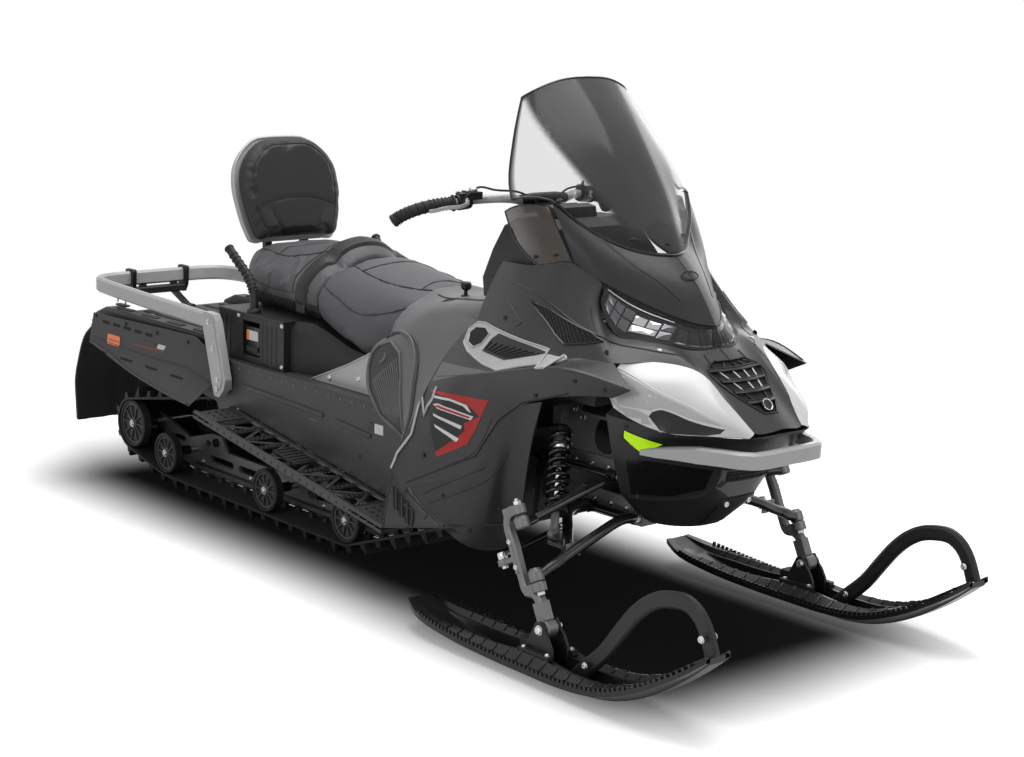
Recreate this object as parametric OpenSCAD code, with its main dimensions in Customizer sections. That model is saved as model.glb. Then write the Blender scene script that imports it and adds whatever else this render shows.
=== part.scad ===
// Two-up utility snowmobile.
// +X points forward, +Y to the rider's left and +Z up; the ground is z = 0.

/* [Skis and front suspension] */
// Distance between the two ski centre lines
ski_stance = 950; // [880:1:1050]
// Width of a ski
ski_width = 168; // [150:1:185]
// Thickness of the ski's moulded base
ski_thickness = 12; // [9:0.5:16]
// Backward lean of the steering axis of each spindle, in degrees
caster = 25.6; // [20:0.5:30]
// Height of the pin on which each ski rocks
ski_pin_z = 118; // [108:1:130]
// Diameter of the ski pin
ski_pin_d = 14; // [10:0.5:18]
// Outside diameter of the suspension arm tubes
arm_tube_d = 28; // [22:1:32]
// Outside diameter of the front coil springs
spring_d = 62; // [50:1:70]

/* [Track and skid frame] */
// Width of the track
track_width = 600; // [500:1:604]
// Thickness of the track's belt
belt_thickness = 8; // [5:0.5:12]
// Height of the track's lugs
lug_height = 32; // [22:1:38]
// Number of lugs round the track
lug_count = 54; // [40:1:60]
// Radius of the lower idler wheels
idler_r = 67.5; // [60:0.5:75]
// Radius of the rear axle wheels
rear_wheel_r = 80; // [70:0.5:90]
// Radius of the drive sprockets
sprocket_r = 85; // [75:0.5:90]
// Width of an idler wheel
wheel_width = 30; // [20:1:36]
// Diameter of the idler axles
axle_d = 20; // [14:1:24]
// Distance between the slide rails, centre to centre
rail_spacing = 340; // [280:1:400]
// Thickness of a slide rail
rail_thickness = 12; // [8:0.5:16]

/* [Tunnel and running boards] */
// Outside width of the tunnel
tunnel_width = 620; // [615:1:640]
// Height of the tunnel's top above the ground
tunnel_top = 487; // [487:1:500]
// Thickness of the tunnel's sheet
tunnel_sheet = 3; // [2:0.5:4]
// Width of a running board
board_width = 140; // [110:1:160]

/* [Steering] */
// Backward lean of the steering post, in degrees
post_lean = 27; // [22:0.5:32]
// Diameter of the handlebar's tube
bar_d = 24; // [20:1:28]
// Diameter of the steering post
post_d = 32; // [26:1:38]
// Half of the handlebar's width, to the end of a grip
bar_reach = 385; // [350:1:400]

/* [Rack and hitch] */
// Height of the rack's flat tube
rack_tube_h = 50; // [36:1:60]
// Thickness of the rack's flat tube
rack_tube_t = 24; // [18:1:30]
// Diameter of the tow pin's hole
hitch_pin_d = 16; // [12:0.5:20]

/* [Bodywork] */
// Thickness of the moulded body panels, measured towards the core of the body
panel_t = 6; // [4:0.5:8]
// Half of the gap between neighbouring body panels
seam = 0.4; // [0.3:0.05:0.45]

/* [Hidden] */
$fn = 32;

// ---------- colours ----------
dark_grey = [0.16, 0.16, 0.17];
black = [0.05, 0.05, 0.05];
silver = [0.62, 0.62, 0.62];
white = [0.88, 0.88, 0.88];
seat_grey = [0.30, 0.30, 0.32];

// ---------- vector and mesh helpers ----------
function unit(v) = v / norm(v);
function flatten(rows) = [for (row = rows) each row];
function transpose(m) = [for (j = [0:len(m[0]) - 1]) [for (row = m) row[j]]];
function toward(a, b, distance) = a + distance * unit(b - a);
function six_volumes(points, faces, i = 0, sum = 0) =
    i == len(faces) ? sum
    : six_volumes(points, faces, i + 1,
        sum + points[faces[i][0]] * cross(points[faces[i][1]], points[faces[i][2]]));
function reversed(list) = [for (i = [len(list) - 1:-1:0]) list[i]];

// A closed mesh whose faces are turned so that they look outward
module closed_mesh(points, faces) {
    outward = six_volumes(points, faces) < 0;
    polyhedron(points, outward ? faces : [for (f = faces) reversed(f)], convexity = 6);
}

// A sheet between two grids of points that have the same rows and columns
module sheet_between(outer, inner) {
    rows = len(outer);
    cols = len(outer[0]);
    count = rows * cols;
    skin = [for (i = [0:rows - 2]) for (j = [0:cols - 2])
        each [[i * cols + j, i * cols + j + 1, (i + 1) * cols + j + 1],
              [i * cols + j, (i + 1) * cols + j + 1, (i + 1) * cols + j]]];
    border = concat(
        [for (j = [0:cols - 1]) j],
        [for (i = [1:rows - 1]) i * cols + cols - 1],
        [for (j = [cols - 2:-1:0]) (rows - 1) * cols + j],
        [for (i = [rows - 2:-1:1]) i * cols]);
    turns = len(border);
    rim = [for (k = [0:turns - 1])
        let (a = border[k], b = border[(k + 1) % turns])
        each [[b, a, a + count], [b, a + count, b + count]]];
    closed_mesh(
        concat(flatten(outer), flatten(inner)),
        concat(skin, [for (f = skin) [f[2] + count, f[1] + count, f[0] + count]], rim));
}

// A solid through closed rings of points, capped at both ends
module ring_loft(rings) {
    n = len(rings[0]);
    last = (len(rings) - 1) * n;
    sides = [for (i = [0:len(rings) - 2]) for (j = [0:n - 1])
        let (k = (j + 1) % n)
        each [[i * n + j, i * n + k, (i + 1) * n + k], [i * n + j, (i + 1) * n + k, (i + 1) * n + j]]];
    start = [for (j = [1:n - 2]) [0, j + 1, j]];
    end = [for (j = [1:n - 2]) [last, last + j, last + j + 1]];
    closed_mesh(flatten(rings), concat(sides, start, end));
}

// Rings of a flat profile carried along a path; ref is a direction the path never takes
function swept_rings(path, profile, ref) = [for (i = [0:len(path) - 1])
    let (
        before = path[max(i - 1, 0)],
        after = path[min(i + 1, len(path) - 1)],
        along = unit(after - before),
        side = unit(cross(along, ref)),
        up = cross(side, along)
    )
    [for (p = profile) path[i] + side * p[0] + up * p[1]]];
function round_profile(d, n = 12) = [for (k = [0:n - 1]) d / 2 * [cos(360 * k / n), sin(360 * k / n)]];
function bar_profile(w, h, c) = [
    [w / 2 - c, -h / 2], [w / 2, -h / 2 + c], [w / 2, h / 2 - c], [w / 2 - c, h / 2],
    [c - w / 2, h / 2], [-w / 2, h / 2 - c], [-w / 2, c - h / 2], [c - w / 2, -h / 2]];

// A quadratic bend of a path at each inner corner
function bend(a, b, c, radius, n = 5) =
    let (p = toward(b, a, radius), q = toward(b, c, radius))
    [for (k = [0:n - 1]) let (t = k / (n - 1)) (1 - t) * (1 - t) * p + 2 * t * (1 - t) * b + t * t * q];
function rounded_path(points, radius) = concat(
    [points[0]],
    [for (i = [1:len(points) - 2]) each bend(points[i - 1], points[i], points[i + 1], radius)],
    [points[len(points) - 1]]);

module bent_tube(points, d, radius, ref = [0, 0, 1], n = 12) {
    ring_loft(swept_rings(rounded_path(points, radius), round_profile(d, n), ref));
}

// A straight round bar between two points
module rod(a, b, d) {
    v = b - a;
    translate(a) rotate([0, acos(v.z / norm(v)), atan2(v.y, v.x)]) cylinder(d = d, h = norm(v));
}

module cross_rod(x, z, half_length, d) {
    translate([x, half_length, z]) rotate([90, 0, 0]) cylinder(d = d, h = 2 * half_length);
}

module on_both_sides() {
    children();
    mirror([0, 1, 0]) children();
}

// ---------- the body's panels ----------
// Panels are nets of [x, outboard, z] points on the right-hand side. Each is given its
// thickness towards the body's core, so that neighbours never run into each other.
core_x = [420, 980];
core_z = 560;
function core(p) = [min(max(p.x, core_x[0]), core_x[1]), 0, core_z];
function sunk(grid, t) = [for (row = grid) [for (p = row) p + t * unit(core(p) - p)]];
function inset_row(row, g) = [for (i = [0:len(row) - 1])
    i == 0 ? toward(row[0], row[1], g)
    : i == len(row) - 1 ? toward(row[i], row[i - 1], g)
    : row[i]];
function inset(grid, g) = transpose([for (c = transpose([for (r = grid) inset_row(r, g)])) inset_row(c,
    g)]);
function to_right(grid) = [for (row = grid) [for (p = row) [p.x, -p.y, p.z]]];
// Rows that end on the centre line, carried over to the other side
function across(grid) = [for (row = grid) concat(
    [for (p = row) [p.x, -p.y, p.z]],
    [for (i = [len(row) - 2:-1:0]) row[i]])];

module right_panel(net, t = panel_t) {
    grid = inset(to_right(net), seam);
    sheet_between(grid, sunk(grid, t));
}

module wide_panel(net, t = panel_t) {
    grid = inset(across(net), seam);
    sheet_between(grid, sunk(grid, t));
}

// Edge shared by the hood with the side panel, and then with the fender
hood_edge = [[500, 262, 772], [700, 303, 764], [810, 311.5, 757], [920, 320, 750], [985, 291.6, 747],
    [1030, 272, 745], [1105, 185, 750], [1180, 128, 733], [1262, 108, 668], [1330, 85, 604]];
shoulder = [[430, 362, 603], [560, 376, 640], [600, 378, 650], [680, 382, 670], [780, 383.7, 693.7],
    [960, 371, 729], [1140, 318, 702]];
step_line = [[358, 430, 366], [405, 426, 321], [660, 386, 447], [733, 372, 557], [800, 354, 608],
    [950, 335, 655], [1075, 315, 672]];
// Lower edge of the cowl, and the lower edge of the headlamp with the hood's rim behind it
cowl_rim = [[829, 224, 959], [894, 190, 919], [962, 140, 880], [1050, 79, 842], [1086, 40, 827],
    [1107, 0, 822]];
lamp_rim = [[897, 203, 886], [967, 205, 796], [1057, 140, 785], [1120, 50, 769], [1122, 0, 771]];
function part_way(a, b, t) = a * (1 - t) + b * t;
// Row of points part of the way from one edge to another, raised off the core
function bowed(a, b, t, rise) = [for (i = [0:len(a) - 1])
    let (p = part_way(a[i], b[i], t)) p + rise * unit(p - core(p))];

side_net = [
    concat([[440, 318, 672]], [for (i = [0:5]) hood_edge[i]]),
    shoulder,
    step_line];
lower_net = [
    concat([for (i = [1:4]) step_line[i]], [[858, 346.7, 626]]),
    [[500, 431, 287], [620, 408, 320], [700, 372, 400], [745, 345, 470], [812, 333, 520]],
    [[590, 435, 255], [622, 398, 215], [650, 360, 196], [690, 315, 200], [745, 300, 300]]];
toe_net = [
    [[360, 430, 363], [383, 425, 341], [404, 426, 320]],
    [[355, 440, 290], [424, 431, 289], [498, 431, 285]],
    [[347.8, 446, 200], [470, 438, 227], [588, 435.5, 253]]];
hood_outer = concat(hood_edge, [[1347, 0, 608]]);
hood_inner = [[540, 212, 930], [700, 238, 940], cowl_rim[0], cowl_rim[1], lamp_rim[0], lamp_rim[1],
    part_way(lamp_rim[1], lamp_rim[2], 0.6), lamp_rim[2], part_way(lamp_rim[2], lamp_rim[3], 0.5),
    lamp_rim[3], lamp_rim[4]];
hood_net = [
    hood_outer,
    bowed(hood_outer, hood_inner, 0.3, 5),
    bowed(hood_outer, hood_inner, 0.65, 6),
    hood_inner];
fender_net = [
    [[1042, 258.1, 745.8], hood_edge[6], hood_edge[7], hood_edge[8], hood_edge[9]],
    [[1034, 290, 700], [1120, 255, 695], [1205, 190, 675], [1285, 150, 637], [1337, 98, 600]],
    [[1050, 286, 640], [1120, 268, 612], [1190, 236, 596], [1262, 172, 594], [1335, 108, 594]]];
belly_net = [
    concat(fender_net[2], [[1350, 0, 598]]),
    [[1000, 262, 612], [1120, 235, 600], [1200, 186, 588], [1270, 142, 587], [1337, 92, 590],
        [1350, 0, 592]],
    [[1010, 245, 510], [1056, 222, 490], [1120, 180, 488], [1190, 130, 488], [1240, 90, 488],
        [1255, 0, 486]],
    [[1000, 200, 400], [1035, 184, 400], [1090, 140, 400], [1150, 100, 400], [1205, 60, 400],
        [1215, 0, 400]],
    [[985, 112, 325], [1015, 102, 315], [1050, 85, 312], [1090, 62, 314], [1120, 34, 318], [1128, 0, 320]]];
screen_foot = [[752, 242, 1110], [810, 200, 1059], [881, 120, 1004], [936, 55, 984], [950, 28, 982],
    [958, 0, 981]];
cowl_net = [
    screen_foot,
    bowed(screen_foot, cowl_rim, 0.5, 16),
    cowl_rim];
// Extra room under the headlamps and beside them, so that they never touch the hood
lamp_gap = 1.5;
lamp_side_gap = 8;
headlight_net = [
    [toward(cowl_rim[1], cowl_rim[2], lamp_side_gap), cowl_rim[2], cowl_rim[3], cowl_rim[4], [1107, 1, 822]],
    [toward(lamp_rim[0], lamp_rim[1], lamp_side_gap) + [0, 0, lamp_gap],
        for (i = [1:3]) lamp_rim[i] + [0, 0, lamp_gap], [1122, 1, 771 + lamp_gap]]];
windshield_net = [
    concat([[668, 300, 1108]], screen_foot),
    [[640, 285, 1142], [722, 232, 1160], [778, 185, 1140], [830, 115, 1112], [862, 58, 1100],
        [868, 28, 1098], [870, 0, 1097]],
    [[605, 246, 1245], [660, 205, 1258], [700, 160, 1258], [735, 104, 1257], [758, 52, 1255],
        [762, 26, 1255], [763, 0, 1255]],
    [[566, 187, 1355], [588, 160, 1375], [598, 125, 1390], [605, 85, 1401], [610, 42, 1406],
        [611, 20, 1406.5], [611, 0, 1407]]];
deflector_net = [
    [[600, 262, 1068], [664, 272, 1090], [740, 238, 1095]],
    [[610, 236, 1000], [690, 246, 1010], [775, 232, 1030]],
    [[705, 237.5, 940.7], [750, 232.6, 947.4], [822, 224.8, 958]]];

module side_panel() { color(dark_grey) right_panel(side_net); }
module side_panel_right() { side_panel(); }
module side_panel_left() { mirror([0, 1, 0]) side_panel(); }
module lower_panels() { color(dark_grey) on_both_sides() right_panel(lower_net); }
module toe_guards() { color(dark_grey) on_both_sides() right_panel(toe_net); }
module fenders() { color(white) on_both_sides() right_panel(fender_net); }
module headlights() { color([0.8, 0.85, 0.9]) on_both_sides() right_panel(headlight_net, 12); }
module windshield_cowl() { color(black) wide_panel(cowl_net); }
module windshield() { color([0.3, 0.3, 0.32, 0.5]) wide_panel(windshield_net, panel_t + 1); }
module belly_pan() { color(black) wide_panel(belly_net); }
module wind_deflectors() { color([0.25, 0.2, 0.15]) on_both_sides() right_panel(deflector_net,
    panel_t - 1); }

// The grille sits in an opening of the hood's nose: [half width, height] of its corners
grille_corners = [[48, 748], [94, 729], [45, 656], [22, 638]];
module grille_shape(grow) {
    half = [
        grille_corners[0] + [grow, grow],
        grille_corners[1] + [grow, 0],
        grille_corners[2] + [grow, 0],
        grille_corners[3] + [grow, -grow]];
    translate([1050, 0, 0]) rotate([90, 0, 90]) linear_extrude(height = 350)
        polygon([for (i = [0:3]) half[i], for (i = [3:-1:0]) [-half[i].x, half[i].y]]);
}
module hood() {
    color(dark_grey) difference() {
        wide_panel(hood_net);
        grille_shape(0);
    }
}
module grille() {
    grid = sunk(inset(across(hood_net), seam), 2);
    color(black) intersection() {
        sheet_between(grid, sunk(grid, panel_t));
        grille_shape(-fit_gap - 0.2);
    }
}

// ---------- track ----------
ground_gap = lug_height + belt_thickness;
idler_z = ground_gap + idler_r;
rear_axle = [-1235, 168];
sprocket = [440, 292];
carrier = [-620, 300];
carrier_r = 60;
second_idler_x = -1026;
third_idler_x = -448;
front_idler_x = -33;
// The belt runs round these circles, in order: [centre x, centre z, radius]
belt_circles = [
    [rear_axle.x, rear_axle.y, rear_wheel_r],
    [carrier.x, carrier.y, carrier_r],
    [sprocket.x, sprocket.y, sprocket_r],
    [front_idler_x, idler_z, idler_r],
    [second_idler_x, idler_z, idler_r]];
belt_n = len(belt_circles);
function xz(c) = [c[0], c[1]];
// Angle of the outward normal on the straight run from circle i to the next one
function run_angle(i) =
    let (a = belt_circles[i % belt_n], b = belt_circles[(i + 1) % belt_n], v = xz(b) - xz(a))
    atan2(v.y, v.x) + acos(max(-1, min(1, (a[2] - b[2]) / norm(v))));
function turned(a) = a > 0 ? a - 360 : a;
// Pieces of the belt's path: straight runs as [0, from, to, angle], turns as [1, centre, radius, from, sweep]
function belt_pieces(offset) = [for (i = [0:belt_n - 1])
    let (
        a = belt_circles[i], b = belt_circles[(i + 1) % belt_n],
        out = run_angle(i), next = run_angle(i + 1), n = [cos(out), sin(out)],
        sweep = turned((next - out) % 360)
    )
    each [
        [0, xz(a) + n * (a[2] + offset), xz(b) + n * (b[2] + offset), out],
        [1, xz(b), b[2] + offset, out, sweep]]];
function piece_length(p) = p[0] == 0 ? norm(p[2] - p[1]) : abs(p[4]) * PI / 180 * p[2];
function total(list, i = 0) = i == len(list) ? 0 : list[i] + total(list, i + 1);
// Point and outward angle at a distance s along the pieces
function at_length(pieces, s, i = 0) =
    let (p = pieces[i], l = piece_length(p))
    s > l && i < len(pieces) - 1 ? at_length(pieces, s - l, i + 1)
    : p[0] == 0 ? [p[1] + (p[2] - p[1]) * s / l, p[3]]
    : let (a = p[3] + p[4] * s / l) [p[1] + p[2] * [cos(a), sin(a)], a];
arc_steps = 10;
// The belt's inner side, with its flats outside the wheels
function inner_outline() = [for (p = belt_pieces(0)) if (p[0] == 1)
    let (r = p[2] / cos(p[4] / arc_steps / 2))
    for (k = [0:arc_steps]) let (a = p[3] + p[4] * k / arc_steps) p[1] + r * [cos(a), sin(a)]];
lug_thickness = 16;
// The belt's outer side with its lugs, and four points between each two lugs
function lug_outline() =
    let (
        pieces = belt_pieces(belt_thickness),
        pitch = total([for (p = pieces) piece_length(p)]) / lug_count
    )
    [for (k = [0:lug_count - 1])
        let (s = (k + 0.5) * pitch, here = at_length(pieces, s), u = [cos(here[1]), sin(here[1])],
            v = [-u.y, u.x] * lug_thickness / 2)
        each concat(
            [here[0] + v, here[0] + v + u * lug_height, here[0] - v + u * lug_height, here[0] - v],
            [for (m = [1:4]) at_length(pieces,
                s + lug_thickness / 2 + (pitch - lug_thickness) * m / 5)[0]])];

module track() {
    color(black) translate([0, track_width / 2, 0]) rotate([90, 0, 0])
        linear_extrude(height = track_width) difference() {
            polygon(lug_outline());
            polygon(inner_outline());
        }
}

// ---------- skid frame ----------
fit_gap = 0.3;
wheel_y = track_width / 2 - wheel_width / 2 - 5;
rail_top = idler_z + 22;
// Straight runs of the belt that the rails follow: [foot, direction]
approach = let (p = belt_pieces(-fit_gap)[4]) [p[2], unit(p[1] - p[2])];
departure = let (p = belt_pieces(-fit_gap)[8]) [p[1], unit(p[2] - p[1])];
rail_nose = 190;
rail_heel = 110;
rail_y = rail_spacing / 2;
// Feet of the two swing arms on the rails
rear_arm_foot = [-900, 152];
front_arm_foot = [-330, 152];
front_arm_top = [60, 320];
arm_pipe_d = 28;

module wheel(x, z, r, y) {
    translate([x, y + wheel_width / 2, z]) rotate([90, 0, 0]) difference() {
        cylinder(r = r - fit_gap, h = wheel_width, $fn = 48);
        for (side = [-1, 1]) translate([0, 0, side > 0 ? wheel_width - 7 : -1])
            difference() {
                cylinder(r = r - 16, h = 8, $fn = 48);
                cylinder(r = axle_d / 2 + 14, h = 8);
            }
    }
}
module wheel_set(x, z, r, wheel_ys) {
    for (y = wheel_ys) wheel(x, z, r, y);
    cross_rod(x, z, wheel_y, axle_d);
}
module track_wheels() {
    outer_pair = [-wheel_y, wheel_y];
    color(black) {
        for (x = [second_idler_x, third_idler_x, front_idler_x])
            wheel_set(x, idler_z, idler_r, outer_pair);
        wheel_set(rear_axle.x, rear_axle.y, rear_wheel_r, [-wheel_y, 0, wheel_y]);
        wheel_set(sprocket.x, sprocket.y, sprocket_r, [-wheel_y / 2, 0, wheel_y / 2]);
        cross_rod(sprocket.x, sprocket.y, tunnel_width / 2 - tunnel_sheet - fit_gap, axle_d);
    }
}
module slide_rails() {
    axles = [
        [second_idler_x, idler_z], [third_idler_x, idler_z], [front_idler_x, idler_z],
        [rear_axle.x, rear_axle.y]];
    color([0.35, 0.35, 0.36]) for (side = [-1, 1])
        translate([0, side * rail_y + rail_thickness / 2, 0]) rotate([90, 0, 0])
            difference() {
                linear_extrude(height = rail_thickness)
                    polygon([
                        [rear_axle.x - 26, rear_axle.y + 24], [rear_axle.x - 26, rear_axle.y - 22],
                        departure[0] + departure[1] * rail_heel, departure[0],
                        approach[0], approach[0] + approach[1] * rail_nose,
                        approach[0] + approach[1] * rail_nose + [-10, 22], [front_idler_x + 60, rail_top],
                        [front_arm_foot.x + 60, rail_top], [front_arm_foot.x + 30, front_arm_foot.y + 24],
                        [front_arm_foot.x - 30, front_arm_foot.y + 24], [front_arm_foot.x - 60, rail_top],
                        [rear_arm_foot.x + 60, rail_top], [rear_arm_foot.x + 30, rear_arm_foot.y + 24],
                        [rear_arm_foot.x - 30, rear_arm_foot.y + 24],
                            [second_idler_x - 40, rail_top + 10]]);
                for (a = axles) translate([a.x, a.y, -1])
                    cylinder(d = axle_d + 2 * fit_gap, h = rail_thickness + 2);
                for (a = [front_arm_foot, rear_arm_foot]) translate([a.x, a.y, -1])
                    cylinder(d = arm_pipe_d + 2 * fit_gap, h = rail_thickness + 2);
            }
}
module swing_arm(foot, top, top_half) {
    foot_half = rail_y + rail_thickness / 2 + 8;
    leg_y = rail_y - 60;
    cross_rod(foot.x, foot.y, foot_half, arm_pipe_d);
    cross_rod(top.x, top.y, top_half, arm_pipe_d);
    for (y = [-leg_y, leg_y]) rod([foot.x, y, foot.y], [top.x, y, top.y], arm_pipe_d - 4);
}
module rear_suspension() {
    mount_half = tunnel_width / 2 - tunnel_sheet - fit_gap;
    color([0.3, 0.3, 0.31]) {
        swing_arm(front_arm_foot, front_arm_top, mount_half);
        swing_arm(rear_arm_foot, carrier, mount_half);
        for (y = [-90, 90]) wheel(carrier.x, carrier.y, carrier_r, y);
    }
    color(black) {
        rod([front_arm_foot.x, 0, front_arm_foot.y], [front_arm_top.x, 0, front_arm_top.y], 50);
        rod([rear_arm_foot.x, 0, rear_arm_foot.y], [carrier.x, 0, carrier.y], 44);
    }
}

// ---------- tunnel, boards and rear ----------
tunnel_half = tunnel_width / 2;
tunnel_rear = -1470;
tunnel_nose = 620;
board_rear = [-600, 348];
board_front = [348, 206];
hanger_drop = 30;
function board_z(x) = board_rear.y + (board_front.y - board_rear.y) * (x - board_rear.x) / (board_front.x
    - board_rear.x);

module side_plate(points) {
    for (side = [-1, 1])
        translate([0, side > 0 ? tunnel_half : -tunnel_half + tunnel_sheet, 0])
            rotate([90, 0, 0]) linear_extrude(height = tunnel_sheet) polygon(points);
}
module tunnel() {
    color([0.2, 0.2, 0.21]) {
        translate([tunnel_rear, -tunnel_half, tunnel_top - tunnel_sheet])
            cube([tunnel_nose - tunnel_rear, tunnel_width, tunnel_sheet]);
        side_plate([
            [tunnel_rear, tunnel_top - 1], [tunnel_nose, tunnel_top - 1], [tunnel_nose, 230],
            [board_front.x, board_front.y], [board_rear.x + 20, board_z(board_rear.x + 20)],
            [carrier.x + 30, carrier.y - hanger_drop], [carrier.x - 30, carrier.y - hanger_drop],
            [carrier.x - 70, 345], [tunnel_rear, 430]]);
        translate([tunnel_nose - tunnel_sheet, -tunnel_half, 230])
            cube([tunnel_sheet, tunnel_width, tunnel_top - 231]);
    }
}

rung_count = 11;
module board() {
    length = board_front.x - board_rear.x;
    slope = atan2(board_front.y - board_rear.y, length);
    run = length / cos(slope);
    rail_w = 16;
    rail_h = 26;
    color([0.22, 0.22, 0.23])
        translate([board_rear.x, -tunnel_half - fit_gap, board_rear.y]) rotate([0, -slope, 0]) {
            translate([0, -board_width, -rail_h]) cube([run, rail_w, rail_h]);
            translate([0, -14, -rail_h / 2]) cube([run, 14, rail_h / 2]);
            translate([0, -board_width, -14]) cube([90, board_width, 8]);
            translate([run - 150, -board_width, -14]) cube([150, board_width, 8]);
            for (k = [0:rung_count - 1])
                translate([110 + k * (run - 270) / (rung_count - 1), -board_width, -14])
                    cube([14, board_width, 8]);
        }
}
module running_boards() { on_both_sides() board(); }

// Flared skirts beside the rear of the track
skirt_t = 4;
module rear_side_panels() {
    outer = [
        [[-1458, tunnel_half + 1, 512], [-1150, tunnel_half + 1, 520], [-812, tunnel_half + 1, 528],
            [-705, tunnel_half + 1, 486]],
        [[-1470, tunnel_half + 6, 430], [-1150, tunnel_half + 10, 425], [-812, tunnel_half + 16, 425],
            [-682, tunnel_half + 20, 400]],
        [[-1462, tunnel_half + 14, 412], [-1150, tunnel_half + 46, 366], [-830, tunnel_half + 80, 340],
            [-702, tunnel_half + 92, 336]]];
    inner = [for (row = outer) [for (p = row) p - [0, skirt_t, -1]]];
    gap = [0, skirt_t + fit_gap - 1, 0];
    color(dark_grey) on_both_sides()
        sheet_between(
            to_right([for (row = outer) [for (p = row) p + gap]]),
            to_right([for (row = inner) [for (p = row) p + gap]]));
}

module snow_flap() {
    outline = [[tunnel_rear - 14, 468], [tunnel_rear - 66, 425], [-1622, 257], [-1606, 112]];
    half = tunnel_half - 8;
    rear = [for (p = outline) [for (y = [-half, -half / 2, 0, half / 2, half]) [p.x, y, p.y]]];
    front = [for (row = rear) [for (p = row) p + [6, 0, 0]]];
    color(black) {
        sheet_between(rear, front);
        translate([tunnel_rear - 10, 1 - tunnel_half, 440]) cube([10 - fit_gap, tunnel_width - 2, 30]);
    }
}

deck_bottom = tunnel_top + fit_gap;
deck_hole_x = 400;
deck_hole_y = 300;
deck_hole_d = 12;
deck_mid_x = -1160;
module cargo_deck() {
    half = tunnel_half - 22;
    top_half = half - 12;
    floor_top = deck_bottom + 16;
    color(black) difference() {
        union() {
            translate([-1470, -half, deck_bottom]) cube([730, 2 * half, 16]);
            for (side = [-1, 1]) translate([0, side * (top_half - 20), 0])
                ring_loft([for (x = [-1490, -1430, -820, -745])
                    let (h = x == -1490 ? 24 : x == -745 ? 40 : 48)
                    [[x, -34, deck_bottom], [x, 34, deck_bottom], [x, 24, deck_bottom + h],
                        [x, -24, deck_bottom + h]]]);
        }
        for (sx = [-1, 1], sy = [-1, 1])
            translate([deck_mid_x + sx * deck_hole_x / 2, sy * deck_hole_y / 2, deck_bottom - 1])
                cylinder(d = deck_hole_d, h = 18);
    }
}

// Flat-tube rack: round the rear and down both sides to the tunnel
rack_half_rear = 258;
rack_half_front = tunnel_half + 22;
rack_z = 600;
module rear_rack() {
    front = [-690, -rack_half_front, rack_z];
    side_a = [-800, -rack_half_front, rack_z + 2];
    corner = [-1563, -rack_half_rear, rack_z];
    path = concat(
        [front],
        bend(front, side_a, corner, 60),
        bend(side_a, corner, [-1563, 0, rack_z], 95, 7),
        reversed([for (p = bend(side_a, corner, [-1563, 0, rack_z], 95, 7)) [p.x, -p.y, p.z]]),
        reversed([for (p = bend(front, side_a, corner, 60)) [p.x, -p.y, p.z]]),
        [[front.x, -front.y, front.z]]);
    color(silver) {
        ring_loft(swept_rings(path, bar_profile(rack_tube_t, rack_tube_h, 5), [0, 0, 1]));
        for (side = [-1, 1]) {
            y = side * rack_half_front;
            translate([0, y + rack_tube_t / 2, 0]) rotate([90, 0, 0]) linear_extrude(height = rack_tube_t)
                polygon([[-712, rack_z + 25], [-655, rack_z + 25], [-640, rack_z + 5], [-588, 430],
                    [-596, 400], [-622, 372], [-650, 372], [-672, 440], [-712, rack_z - 25]]);
            // foot on the tunnel's side
            translate([-640, min(y, side * (tunnel_half + 0.2)), 395]) cube([40,
                rack_half_front - tunnel_half - 0.2, 40]);
        }
        for (y = [-62, 62]) translate([-1572, y - 12, deck_bottom + 16.3]) rack_stay();
    }
}
// Upright from the rear end of the cargo deck to the rack's rear tube
module rack_stay() {
    rotate([90, 0, 0]) translate([0, 0, -24]) linear_extrude(height = 24)
        polygon([[20, rack_z - deck_bottom - 16.3], [6, rack_z - deck_bottom - 16.3],
            [6, 40], [102, 0], [140, 0], [140, 8], [106, 8], [20, 46]]);
}
module taillight() {
    color([0.35, 0.02, 0.02]) difference() {
        translate([-1566, -49.7, 540]) cube([26, 99.4, 34]);
        translate([-1545, -40, 546]) cube([6, 80, 22]);
    }
}
hitch_x = tunnel_rear - 32;
hitch_z = 396;
hitch_t = 12;
module tow_hitch() {
    color([0.1, 0.1, 0.1]) difference() {
        union() {
            translate([tunnel_rear + 2, -90, hitch_z]) cube([60, 180, hitch_t]);
            translate([tunnel_rear + 50, -90, hitch_z]) cube([hitch_t, 180,
                tunnel_top - tunnel_sheet - fit_gap - hitch_z]);
            translate([hitch_x, -30, hitch_z]) cube([40, 60, hitch_t]);
            translate([hitch_x, 0, hitch_z]) cylinder(r = 30, h = hitch_t);
        }
        translate([hitch_x, 0, hitch_z - 1]) cylinder(d = hitch_pin_d, h = hitch_t + 2);
    }
}

// ---------- seats ----------
// Closed ring of a seat: half widths low down, at the bulge and at the crown's edge
function seat_ring(x, bottom, top, w_bottom, w_mid, w_top, crown) =
    let (h = top - bottom,
        half = [[x, w_bottom, bottom], [x, w_mid, bottom + 0.4 * h],
            [x, 0.6 * w_mid + 0.4 * w_top, top - crown - 0.16 * h],
            [x, w_top, top - crown], [x, w_top * 0.5, top - crown * 0.25], [x, 0.001, top]])
    concat(half, [for (i = [len(half) - 2:-1:0]) [half[i].x, -half[i].y, half[i].z]]);

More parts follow.
